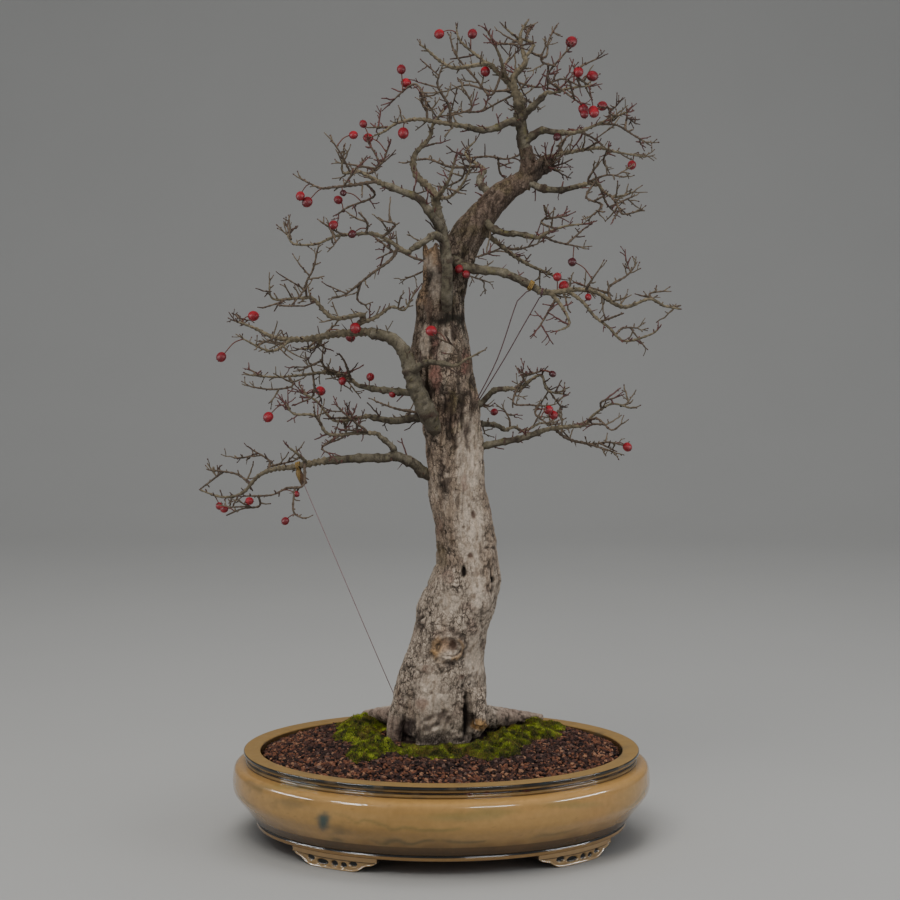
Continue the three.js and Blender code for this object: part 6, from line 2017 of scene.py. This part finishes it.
def make_moss_leaves(materials):
    """Short pointed leaves over the whole of the moss."""
    leaves = Pile()
    rng = np.random.default_rng(8)
    x = rng.uniform(*MOSS_AREA["x"], MOSS_LEAVES)
    y = rng.uniform(*MOSS_AREA["y"], MOSS_LEAVES)
    top = moss_height(x, y)
    kept = (top > soil_height(x, y) - 0.5) & (trunk_foot(x, y, -3) >= 1)
    x, y, top = x[kept], y[kept], top[kept]
    step = 0.6
    slope_x = np.clip((moss_height(x + step, y) - moss_height(x - step, y)) / (2 * step), -STEEPEST, STEEPEST)
    slope_y = np.clip((moss_height(x, y + step) - moss_height(x, y - step)) / (2 * step), -STEEPEST, STEEPEST)
    ground = on_ground(x, y)
    lump_rise_and_shade = 1.3 * layered(np.stack([x, y, top], axis=-1), 9, 111) - 0.4
    # Painted light and shade: leaves set higher on the lumps take lighter tones, lower ones darker
    tones = 0.5 * layered(ground, 22, 113) + 0.9 * noise(ground, 5, 115) + 0.35 * lump_rise_and_shade
    dry = layered(ground, 26, 119) > DRY_FROM
    for i in range(len(x)):
        lean = Vector((-float(slope_x[i]), -float(slope_y[i]), STEEPEST)).normalized()
        lean = (lean + Vector(rng.uniform(-LEAF_LEAN, LEAF_LEAN, 3))).normalized()
        side = lean.orthogonal().normalized()
        other = lean.cross(side)
        foot = Vector((x[i], y[i], top[i] + lump_rise_and_shade[i] - 0.6))
        tall = rng.uniform(*LEAF_HEIGHT)
        wide = rng.uniform(*LEAF_WIDTH)
        turn = rng.uniform(0, ANY_ANGLE)
        turns = [turn + FULL_TURN * k / 3 for k in range(3)]
        corners = [tuple(foot + side * (wide * math.cos(t)) + other * (wide * math.sin(t))) for t in turns]
        corners.append(tuple(foot + lean * tall))
        tone = tones[i] + rng.uniform(-0.45, 0.45)
        slot = next(found for least, found in MOSS_STEPS if tone > least)
        if rng.uniform() < ODD_CHANCE + DRY_CHANCE * dry[i]:
            slot = 5 if slot == 2 else 3
        leaves.shape(corners, [(0, 1, 3), (1, 2, 3), (2, 0, 3)], slot)
    return leaves.finish("moss_leaves", materials)


# How the finer twigs grow, and the burl at the trunk's tip that many of them leave
TIP_BURL = (106, 681, 14)
BURL_RADIUS = 4
BURL_SHOOTS = 16
BURL_SHOOT_LENGTH = (12, 30)
BURL_SHOOT_THICK = (0.7, 1.1)
SHOOT_INTERNODE = 4.4
GOLDEN_TURN = math.radians(137.5)
FINE_TIP = 0.42
ANY_TURN = 6.3
FORK_CHANCE = 0.45
FORK_LENGTH = (2.5, 9)
JOINT_BUD_CHANCE = 0.35
JOINT_BUD_SIZE = (0.45, 0.7)
END_BUD_CHANCE = 0.7
END_BUD_SIZE = (0.55, 0.85)

# What grows along each kind of wood: how far apart its joints are, the first that carries anything, the
# longest shoot
# and how many shoots go on from its end
DRESSING = {"bough": {"joints": 6, "first": 2, "longest": 26, "ends": 0},
            "arm": {"joints": 4.7, "first": 2, "longest": 24, "ends": 2},
            "side": {"joints": 4.7, "first": 1, "longest": 13, "ends": 1}}

# A joint carries the first of these whose number its draw is under
SPUR_UNDER = 0.34
SHOOT_UNDER = 0.62
THORN_UNDER = 0.68
BUD_UNDER = 0.8
SPUR_REACH = (1.6, 5.5)
SPUR_THICK = (0.8, 1.15)
SHOOT_LEAST = 5
SHOOT_THICK = (0.62, 0.8)
SHOOT_THICKENS = 0.012
THORN_REACH = (4, 9)
THORN_RADII = [0.75, 0.5, 0.15]
BUD_SIZE = (0.5, 0.9)
END_SHOOT_LENGTH = (4, 14)
END_SHOOT_THICK = 0.8
LAST_BUD_SIZE = 0.8


class Fine:
    """The finer shoots, spurs, thorns and buds of the whole crown."""

    def __init__(self, crown):
        self.crown = crown
        self.shoots = []
        self.buds = []
        axis = trunk_axis(8)
        self.axis = np.array([row[:3] for row in axis])
        self.thick = np.array([row[3] for row in axis])

    def clear(self, point):
        """Whether a point is inside the crown and outside the trunk."""
        low, high = self.crown
        if any(point[k] < low[k] + 0.8 or point[k] > high[k] - 0.8 for k in range(3)):
            return False
        apart = np.sqrt(((self.axis - np.array(point)) ** 2).sum(axis=1))
        return bool(np.all(apart > 0.9 * self.thick + 1))

    def bud(self, point, heading, size):
        self.buds.append((point, heading, size))

    def shoot(self, start, heading, length, radius, tone, level, draw):
        """One zigzag shoot with a bud at each joint, which may carry shoots of its own."""
        count = max(2, rounded(length / SHOOT_INTERNODE))
        points = [start]
        hand = 1 if draw() < 0.5 else -1
        across = heading.cross(Vector((0, 0, 1)))
        across = across.normalized() if across.length > 0.1 else Vector((1, 0, 0))
        tilt = across.cross(heading)
        bend = across * math.cos(ANY_TURN * draw()) + tilt * math.sin(ANY_TURN * draw())
        for _ in range(count):
            heading = (heading + bend * (0.3 * hand * (0.5 + draw())) + Vector((0, 0, 0.07))).normalized()
            following = points[-1] + heading * (length / count * (0.75 + 0.5 * draw()))
            if not self.clear(following):
                break
            points.append(following)
            hand = -hand
        if len(points) < 2:
            return
        radii = taper(points, radius, max(FINE_TIP, 0.6 * radius))
        self.shoots.append((points, radii, tone))
        for i in range(1, len(points) - 1):
            along = (points[i + 1] - points[i - 1]).normalized()
            out = along.orthogonal().normalized()
            turn = i * GOLDEN_TURN + ANY_TURN * draw()
            out = out * math.cos(turn) + along.cross(out) * math.sin(turn)
            if level < 2 and draw() < FORK_CHANCE:
                away = (along * 0.6 + out + Vector((0, 0, 0.15))).normalized()
                self.shoot(points[i], away, mix(*FORK_LENGTH, draw()), 0.85 * radii[i], tone, level + 1, draw)
            elif draw() < JOINT_BUD_CHANCE:
                away = (out + along * 0.8).normalized()
                self.bud(points[i] + out * (0.6 * radii[i]), away, mix(*JOINT_BUD_SIZE, draw()))
        if draw() < END_BUD_CHANCE:
            self.bud(points[-1], (points[-1] - points[-2]).normalized(), mix(*END_BUD_SIZE, draw()))

    def dress(self, points, radii, kind, tone, draw):
        """Sets spurs, shoots, thorns and buds along a way of wood."""
        rule = DRESSING[kind]
        rows = rows_along(points, radii, rule["joints"])
        places = spots_of(rows)
        frames = frames_along(places)
        turn = ANY_TURN * draw()
        for i in range(rule["first"], len(rows) - 1):
            side, other, along = frames[i]
            turn += GOLDEN_TURN + mix(-0.5, 0.5, draw())
            root = places[i] + along * mix(-1.6, 1.6, draw())
            out = side * math.cos(turn) + other * math.sin(turn)
            away = (along * mix(0.1, 0.9, draw()) + out + Vector((0, 0, 0.25))).normalized()
            radius = rows[i][3]
            pick = draw()
            if pick < SPUR_UNDER:
                self.shoot(root, away, radius + mix(*SPUR_REACH, draw()), mix(*SPUR_THICK, draw()), tone, 2,
                           draw)
            elif pick < SHOOT_UNDER:
                length = radius + mix(SHOOT_LEAST, rule["longest"], draw() ** 1.5)
                thick = mix(*SHOOT_THICK, draw()) + SHOOT_THICKENS * length
                self.shoot(root, away, length, thick, tone, 1, draw)
            elif pick < THORN_UNDER:
                spike = root + away * (radius + mix(*THORN_REACH, draw()))
                if self.clear(spike):
                    self.shoots.append(([root, root.lerp(spike, 0.5), spike], THORN_RADII, tone))
            elif pick < BUD_UNDER:
                away = (out + along * 0.6).normalized()
                self.bud(root + out * (0.8 * radius), away, mix(*BUD_SIZE, draw()))
        if kind == "bough":
            return
        end = places[-1]
        heading = frames[-1][2]
        for k in range(rule["ends"]):
            spread = Vector((mix(-0.5, 0.5, draw()), mix(-0.5, 0.5, draw()), mix(-0.3, 0.5, draw()))) * (0.5
                                                                                                         + k)
            away = (heading + spread).normalized()
            self.shoot(end, away, mix(*END_SHOOT_LENGTH, draw()), END_SHOOT_THICK, tone, 1, draw)
        self.bud(end, heading, LAST_BUD_SIZE)


# The twigs' corners: how far apart their rings are, how much thinner and thicker every other ring is, and
# their sides
TWIG_RING_STEP = 2.6
TWIG_THIN = (0.85, 1.0)
TWIG_THICK = (1.05, 1.5)
WOOD_SIDES = {"arm": 8, "side": 6}
WOODY_FROM = 1.7
SHOOT_SIDES = 5
SHOOT_UNEVEN = (0.88, 1.18)

# A bud's rings as how far along it and how wide, in its own sizes, and where its point is
BUD_OUTLINE = [(-0.4, 0.55), (0.5, 1.0), (1.5, 0.6)]
BUD_POINT = 2.3
BUD_SIDES = 5


def make_branches(grown, wood):
    """The measured twigs, knobbly at their joints."""
    branches = Pile()
    for grove in grown:
        draw = numbers(400 + grove["mass"]["seed"])
        for twig in grove["twigs"]:
            rows = rows_along(twig["points"], twig["radii"], TWIG_RING_STEP)
            radii = [row[3] * mix(*(TWIG_THICK if i % 2 else TWIG_THIN), draw()) for i,
                     row in enumerate(rows)]
            if twig is grove["twigs"][0] and grove["mass"]["on"] != "trunk":
                radii[0] = rows[0][3]
            slot = 0 if twig["radii"][0] > WOODY_FROM else 1
            branches.tube(spots_of(rows), radii, WOOD_SIDES[twig["kind"]], slot)
    return branches.finish("twig_wood", wood)


def make_shoots(fine, young):
    shoots = Pile()
    draw = numbers(77)
    for points, radii, tone in fine.shoots:
        shoots.tube(points, [r * mix(*SHOOT_UNEVEN, draw()) for r in radii], SHOOT_SIDES, tone)
    return shoots.finish("young_shoots", young)


def make_buds(fine, bud_material):
    buds = Pile()
    last = BUD_SIDES * (len(BUD_OUTLINE) - 1)
    faces = band_faces(0, len(BUD_OUTLINE), BUD_SIDES)
    faces += [(last + k, last + (k + 1) % BUD_SIDES, last + BUD_SIDES) for k in range(BUD_SIDES)]
    for point, heading, size in fine.buds:
        side = heading.orthogonal().normalized()
        other = heading.cross(side)
        corners = []
        for run, wide in BUD_OUTLINE:
            for k in range(BUD_SIDES):
                t = FULL_TURN * k / BUD_SIDES
                out = (side * math.cos(t) + other * math.sin(t)) * (wide * size)
                corners.append(tuple(point + heading * (run * size) + out))
        corners.append(tuple(point + heading * (BUD_POINT * size)))
        buds.shape(corners, faces)
    return buds.finish("winter_buds", [bud_material])


# Haws that the solids leave out: across, up, radius and how dark each is
LOOSE_HAWS = [
    (-49, 453, 3.5, 0), (-71, 470, 4, 0), (18, 578, 4.3, 0), (25, 573, 4, 0), (-220, 490, 4.8, 0),
    (116, 570, 4.2, 0),
    (161, 741, 4.6, 0), (153, 734, 4.7, 0), (143, 733, 4, 0), (131, 585, 4, 1), (115.8, 710, 3.8, 1),
    (-98, 654, 2.8, 1),
    (-89, 613, 4, 1), (111.6, 473, 3, 1), (147, 550, 3, 0),
]
DARK_HAWS = [(131, 585), (116, 710.5), (-98, 654), (-89, 613), (111, 473)]

# A haw's outline from its stalk to its end as run and width in half widths, how much longer than wide it is,
# and its
# five sepals' inner and outer width, half angle and run
HAW_OUTLINE = [(-1.0, 0.05), (-0.96, 0.3), (-0.82, 0.6), (-0.5, 0.88), (-0.05, 1.0), (0.42, 0.93),
               (0.76, 0.7),
               (0.95, 0.42), (1.0, 0.3), (0.86, 0.2), (0.8, 0.02)]
HAW_LENGTH = 1.04
HAW_SIDES = 16
SEPALS = 5
SEPAL_HALF_ANGLE = 0.35
SEPAL_FOOT = (0.28, 0.98)
SEPAL_TIP = (0.62, 1.12)
SEPAL_SLOT = 3


def haw_template():
    """A haw along +Z from its stalk to the ring of dry sepals at its end."""
    turns = [FULL_TURN * k / HAW_SIDES for k in range(HAW_SIDES)]
    corners = [(wide * math.cos(t), wide * math.sin(t), run * HAW_LENGTH) for run,
               wide in HAW_OUTLINE for t in turns]
    sepals = []
    for k in range(SEPALS):
        t = FULL_TURN * k / SEPALS
        for turn, (wide, run) in ((t - SEPAL_HALF_ANGLE, SEPAL_FOOT), (t + SEPAL_HALF_ANGLE, SEPAL_FOOT),
                                  (t, SEPAL_TIP)):
            sepals.append((wide * math.cos(turn), wide * math.sin(turn), run * HAW_LENGTH))
    return corners, band_faces(0, len(HAW_OUTLINE), HAW_SIDES), sepals


def hung_haws(grown):
    """Each haw as the place its stalk leaves, its middle, its half width and whether it is dark."""
    haws = []
    for grove in grown:
        for haw in grove["haws"]:
            across, up = sight(np.array(tuple(haw["middle"])))
            dark = any(math.hypot(across - a, up - u) < 4 for a, u in DARK_HAWS)
            haws.append((haw["root"]["point"], haw["middle"], haw["radius"], dark))
    ways = [twig["points"] for grove in grown for twig in grove["twigs"]]
    ways.extend(limb_way(bough, BOUGH_STEP)[0] for bough in BOUGHS)
    places = [spot for way in ways for spot in spots_of(stepped([[*p] for p in way], 4))]
    spots = as_array(places)
    across, up = sight(spots)
    for haw_across, haw_up, radius, dark in LOOSE_HAWS:
        apart = np.hypot(across - haw_across, up - haw_up)
        apart = np.abs(apart - 1.6 * radius) + 0.12 * spots[:, 1]
        root = places[int(np.argmin(apart))]
        middle = place((haw_across, haw_up, root.y - 0.5 * radius))
        if all((middle - other).length > 0.6 * radius for _, other, _, _ in haws):
            haws.append((root, middle, radius, bool(dark)))
    return haws


STALK_WIDTHS = (0.62, 0.5)
STALK_SAG = 0.12
DEEP_CHANCE = 0.3
HAW_UNEVEN = (0.96, 1.04)


def make_haws(grown, fruit, stalk_material):
    flesh = Pile()
    stalks = Pile()
    corners, faces, sepals = haw_template()
    draw = numbers(515)
    for root, middle, radius, dark in hung_haws(grown):
        along = middle - root
        gap = along.length
        along = along.normalized() if gap > 0.5 else Vector((0, 0, -1))
        heading = (along + Vector((mix(-0.3, 0.3, draw()), mix(-0.5, 0.1, draw()), -0.5))).normalized()
        side = heading.orthogonal().normalized()
        other = heading.cross(side)
        size = radius * mix(*HAW_UNEVEN, draw())

        def put(corner):
            return tuple(middle + (side * corner[0] + other * corner[1] + heading * corner[2]) * size)

        slot = 2 if dark else (1 if draw() < DEEP_CHANCE else 0)
        flesh.shape([put(corner) for corner in corners], faces, slot)
        flesh.shape([put(corner) for corner in sepals],
                    [(3 * k, 3 * k + 1, 3 * k + 2) for k in range(SEPALS)], SEPAL_SLOT)
        foot = middle - heading * (0.9 * size)
        sag = root.lerp(foot, 0.5) + Vector((0, 0, STALK_SAG * gap))
        way = [Vector(row) for row in stepped([[*root], [*sag], [*foot]], 2.5)]
        stalks.tube(way, [mix(*STALK_WIDTHS, i / max(1, len(way) - 1)) for i in range(len(way))], 6)
    return flesh.finish("haws", fruit), stalks.finish("haw_stalks", [stalk_material])


def haw_material(name, colour, deep, roughness):
    material, tree, shader = new_material(name, roughness)
    stops = [(0.3, deep), (0.62, colour)]
    tree.links.new(ramp_node(tree, noise_node(tree, 140, 3.0), stops), shader.inputs["Base Color"])
    shader.inputs["Coat Weight"].default_value = 0.12
    shader.inputs["Coat Roughness"].default_value = 0.35
    shader.inputs["Subsurface Weight"].default_value = 0.08
    shader.inputs["Subsurface Radius"].default_value = (0.003, 0.001, 0.001)
    bump_node(tree, shader, noise_node(tree, 120, 2.0), 0.0003, 0.3)
    return material


def nearest_bough(spot, grown):
    """The nearest place on a bough or an arm, with its direction and half thickness there."""
    found = None
    ways = [limb_way(bough, BOUGH_STEP) for bough in BOUGHS]
    twigs = [twig for grove in grown for twig in grove["twigs"] if twig["radii"][0] > WOODY_FROM]
    ways.extend((twig["points"], twig["radii"]) for twig in twigs)
    for points, radii in ways:
        rows = rows_along(points, radii, 2)
        places = spots_of(rows)
        for row, centre, frame in zip(rows, places, frames_along(places)):
            apart = (centre - spot).length
            if found is None or apart < found[0]:
                found = (apart, centre, frame, row[3])
    return found[1:]


def wrap(pile, spot, grown, thick, turns, pitch, slot):
    """A string or strap wound round the nearest bough, and where it leaves the bough's underside."""
    centre, (side, other, along), radius = nearest_bough(spot, grown)
    count = rounded(14 * turns)
    reach = radius + 0.6 + 0.6 * thick
    ring = []
    for k in range(count + 1):
        t = FULL_TURN * turns * k / count
        run = pitch * (turns * k / count - turns / 2)
        ring.append(centre + along * run + side * (reach * math.cos(t)) + other * (reach * math.sin(t)))
    pile.tube(ring, [thick] * len(ring), 8, slot)
    return centre - Vector((0, 0, radius + 1))


# Each string's half thickness, and its winding's half thickness, turns, pitch and material
GUY_LOOKS = {
    "guy_sleeve_left": {"wrap": (0.9, 2.2, 1.6, 0)},
    "guy_string_left": {"thick": 0.42, "wrap": None},
    "guy_string_right_upper": {"thick": 0.55, "wrap": (0.8, 2.6, 1.5, 1)},
    "guy_string_right_lower": {"thick": 0.55, "wrap": (0.45, 2, 1.0, 0)},
}
SLEEVE_TOP = 2.4


def make_guys(grown, looks):
    """The sleeve under the low left bough, its wire, and the two strings on the right."""
    made = []
    for guy in GUYS:
        name = guy["name"]
        look = GUY_LOOKS[name]
        pile = Pile()
        points, _ = limb_way({"path": guy["path"], "thick": [guy["thick"], guy["thick"]]}, 12)
        way = [wrap(pile, points[0], grown, *look["wrap"])] + points if look["wrap"] else points
        if guy["slot"] == "sleeve":
            radii = [SLEEVE_TOP] + [guy["thick"] * mix(0.95, 1.05, (i * 0.37) % 1)
                                    for i in range(len(points))]
            rows = rows_along(way, radii, 1.0)
            pile.tube(spots_of(rows), [row[3] for row in rows], 20, tip=0.1)
            middle = points[0][0]
            pile.slots = [1 if pile.corners[face[0]][0] > middle + 1.2 else 0 for face in pile.faces]
            materials = [looks["guy_sleeve"], looks["guy_sleeve_inside"]]
        else:
            pile.tube(way, [look["thick"]] * len(way), 8)
            materials = [looks["guy_wire" if name == "guy_string_left" else "guy_string"],
                         looks["guy_sleeve"]]
        made.append(pile.finish(name + "_looks", materials))
    return made


def add_light(name, spot, aim, size, power, colour=(1, 1, 1), length=None):
    data = bpy.data.lights.new(name, "AREA")
    data.energy = power
    data.color = colour
    data.size = size
    if length:
        data.shape = "RECTANGLE"
        data.size_y = length
    light = add_object(name, data)
    light.location = spot
    light.rotation_euler = (Vector(aim) - Vector(spot)).to_track_quat("-Z", "Y").to_euler()
    return light


# The floor: where it ends in front, where it begins to rise, how round and how tall it rises, and its half
# width
FLOOR_FRONT = -5.0
FLOOR_BEND = 2.0
FLOOR_ROUND = 1.5
FLOOR_TOP = 6.0
FLOOR_HALF_WIDTH = 6.0
FLOOR_PALE = (0.44, 0.44, 0.43)

# Soft lights over the whole tree: name, place, size, power and colour
SOFT_LIGHTS = [("key", (-0.5, -1.3, 2.3), 1.3, 32, (1.0, 0.97, 0.92)),
               ("top", (0.3, 0.2, 2.6), 1.6, 24, (1.0, 0.98, 0.95)),
               ("side", (1.9, -0.9, 1.2), 1.2, 9, (0.95, 0.97, 1.0))]
TREE_MIDDLE = (0, 0, 0.4)

# Strips that only the glaze mirrors: which way from the front, how high, how long; all as far from the pot
STRIPS = [(-80, 17, 0.8), (-47, 33, 0.5), (-44, 24, 0.26), (25, 33, 0.55), (74, 20, 0.9)]
STRIP_FAR = 1.6
STRIP_WIDTH = 0.09
STRIP_POWER = 12
POT_HEIGHT = 0.07
SKY = (0.93, 0.96, 1.0, 1)
SKY_STRENGTH = 0.3
LENS = 80
SENSOR = 36


def make_floor():
    """A pale floor that rises behind in a round bend."""
    mesh = bpy.data.meshes.new("floor")
    rows = [(FLOOR_FRONT, 0.0), (FLOOR_BEND, 0.0)]
    rows += [(FLOOR_BEND + FLOOR_ROUND * math.sin(t), FLOOR_ROUND - FLOOR_ROUND * math.cos(t))
             for t in np.linspace(0, math.pi / 2, 25)[1:]]
    rows.append((FLOOR_BEND + FLOOR_ROUND, FLOOR_TOP))
    corners = [(x, y, z) for y, z in rows for x in (-FLOOR_HALF_WIDTH, FLOOR_HALF_WIDTH)]
    mesh.from_pydata(corners, [], [(2 * k, 2 * k + 1, 2 * k + 3, 2 * k + 2) for k in range(len(rows) - 1)])
    mesh.polygons.foreach_set("use_smooth", [True] * (len(rows) - 1))
    material, tree, shader = new_material("floor_paper", 0.9, 0.2)
    stops = [(0.3, tuple(0.98 * c for c in FLOOR_PALE)), (0.7, FLOOR_PALE)]
    give(tree, shader.inputs["Base Color"], ramp_node(tree, noise_node(tree, 3, 2.0), stops))
    mesh.materials.append(material)
    floor = add_object("floor", mesh)


def make_stage():
    """A pale floor, soft studio light and the camera where the photograph was taken from."""
    make_floor()
    world = bpy.data.worlds.new("studio")
    bpy.context.scene.world = world
    world.use_nodes = True
    background = world.node_tree.nodes["Background"]
    background.inputs["Color"].default_value = SKY
    background.inputs["Strength"].default_value = SKY_STRENGTH
    for name, spot, size, power, colour in SOFT_LIGHTS:
        add_light(name, spot, TREE_MIDDLE, size, power, colour).visible_glossy = False
    for turn, tall, length in STRIPS:
        turn = math.radians(turn)
        tall = math.radians(tall)
        flat = STRIP_FAR * math.cos(tall)
        spot = (flat * math.sin(turn), -0.15 - flat * math.cos(turn), POT_HEIGHT + STRIP_FAR * math.sin(tall))
        strip = add_light("strip", spot, (0, -0.1, POT_HEIGHT), length, STRIP_POWER * length,
                          length=STRIP_WIDTH)
        strip.visible_diffuse = False

    data = bpy.data.cameras.new("camera")
    data.sensor_width = SENSOR
    data.sensor_fit = "HORIZONTAL"
    data.lens = LENS
    camera = add_object("camera", data)
    camera.location = (EYE["across"] * MM + SHIFT[0], -EYE["distance"] * MM + SHIFT[1], EYE["height"] * MM)
    camera.rotation_euler = (math.pi / 2 - EYE["down"], 0, 0)
    bpy.context.scene.camera = camera


def grow_fine(grown, crown):
    """The finer shoots, spurs, thorns and buds on every twig and bough, and on the burl at the trunk's
    tip."""
    fine = Fine(crown)
    for grove in grown:
        draw = numbers(9000 + grove["mass"]["seed"])
        for twig in grove["twigs"]:
            pick = draw()
            tone = 0 if pick < 0.3 else 1 if pick < 0.75 else 2
            fine.dress(twig["points"], twig["radii"], twig["kind"], tone, draw)
    for n, bough in enumerate(BOUGHS):
        fine.dress(*limb_way(bough, BOUGH_STEP), "bough", n % 3, numbers(9500 + n))
    draw = numbers(9800)
    burl = place(TIP_BURL)
    for k in range(BURL_SHOOTS):
        spread = Vector((mix(-0.6, 1, draw()), mix(-1, 0.6, draw()), mix(-0.5, 1, draw()))).normalized()
        length = mix(*BURL_SHOOT_LENGTH, draw())
        fine.shoot(burl + spread * BURL_RADIUS, spread, length, mix(*BURL_SHOOT_THICK, draw()), k % 3, 1,
                   draw)
    return fine


# Materials of one colour: colour, roughness, how fine the mottling is, how deep the grain, and the
# mottling's range
PLAIN_LOOKS = {
    "twig_wood": ((118, 108, 88), 0.85, 260, 0.0003, (0.4, 1.35)),
    "thin_twig_wood": ((100, 86, 72), 0.8, 260, 0.0002, (0.45, 1.3)),
    "shoot_red": ((94, 60, 56), 0.6, 300, 0.0001, (0.7, 1.3)),
    "shoot_grey": ((104, 92, 76), 0.7, 300, 0.0001, (0.7, 1.3)),
    "shoot_dark": ((72, 56, 47), 0.6, 300, 0.0001, (0.7, 1.3)),
    "bud_scales": ((74, 44, 34), 0.5, 700, 0.0002, (0.6, 1.5)),
    "damp_soil": ((48, 32, 30), 0.95, 300, 0.001, (0.75, 1.25)),
    "sepals": ((52, 30, 24), 0.8, 700, 0.0002, (0.75, 1.25)),
    "haw_stalk": ((104, 62, 50), 0.6, 400, 0.0001, (0.75, 1.25)),
    "guy_sleeve": ((138, 112, 60), 0.55, 200, 0.0003, (0.7, 1.2)),
    "guy_sleeve_inside": ((92, 66, 44), 0.7, 200, 0.0003, (0.7, 1.2)),
    "guy_string": ((98, 72, 74), 0.7, 900, 0.0002, (0.8, 1.2)),
    "guy_wire": ((164, 136, 138), 0.5, 900, 0.0001, (0.8, 1.2)),
}


def main():
    make_stage()
    grown, crown = grow_tree()
    fine = grow_fine(grown, crown)
    looks = {name: plain_material(name, srgb(*colour), *rest) for name,
             (colour, *rest) in PLAIN_LOOKS.items()}
    grains = [plain_material(f"grain_{i}", srgb(*tone), 0.9, 500, 0.0004) for i,
              tone in enumerate(GRAIN_TONES)]
    moss = [plain_material(f"moss_{i}", srgb(*tone), 0.85, 700, 0.0003) for i, tone in enumerate(MOSS_TONES)]
    fruit = [haw_material("haw_bright", srgb(160, 15, 33), srgb(116, 8, 22), 0.5),
             haw_material("haw_deep", srgb(134, 12, 28), srgb(92, 8, 19), 0.5),
             haw_material("haw_old", srgb(88, 18, 26), srgb(50, 12, 18), 0.45), looks["sepals"]]
    glaze = glaze_material("glaze", 0.8, 0.1)
    clay = tinted_material("bare_clay", 0.9, 300, 0.0003)
    rim_glaze = glaze_material("rim_glaze", 0.06, 0.45)

    trunk = make_trunk(bark_material("old_bark", 250, 0.055, 480))
    boughs = make_boughs(bark_material("bough_bark", 230, 0.05, 600))
    branches = make_branches(grown, [looks["twig_wood"], looks["thin_twig_wood"]])
    shoots = make_shoots(fine, [looks["shoot_red"], looks["shoot_grey"], looks["shoot_dark"]])
    winter_buds = make_buds(fine, looks["bud_scales"])
    haws, stalks = make_haws(grown, fruit, looks["haw_stalk"])
    pot = make_pot(glaze, clay, rim_glaze)
    bed = make_soil(looks["damp_soil"])
    stones = make_grains(grains)
    moss_leaves = make_moss_leaves(moss)
    moss_bed = make_moss_bed(moss[BED_TONE])
    guys = make_guys(grown, looks)

    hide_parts("trunk")
    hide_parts(*[bough["name"] for bough in BOUGHS])
    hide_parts(*[mass["name"] for mass in MASSES])
    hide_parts("pot")
    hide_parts("soil")
    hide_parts(*MOSS_PATCHES)
    for guy, thing in zip(GUYS, guys):
        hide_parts(guy["name"])
    slots = [(thing, guy["slot"]) for guy, thing in zip(GUYS, guys)]
    slots += [(trunk, "trunk"), (boughs, "bough"), (branches, "twigs"), (shoots, "twigs"),
              (winter_buds, "twigs"),
              (haws, "twigs"), (stalks, "twigs"), (pot, "pot"), (bed, "soil"), (stones, "soil"),
              (moss_leaves, "moss"),
              (moss_bed, "moss")]
    for thing, slot in slots:
        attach(thing, "root")


main()
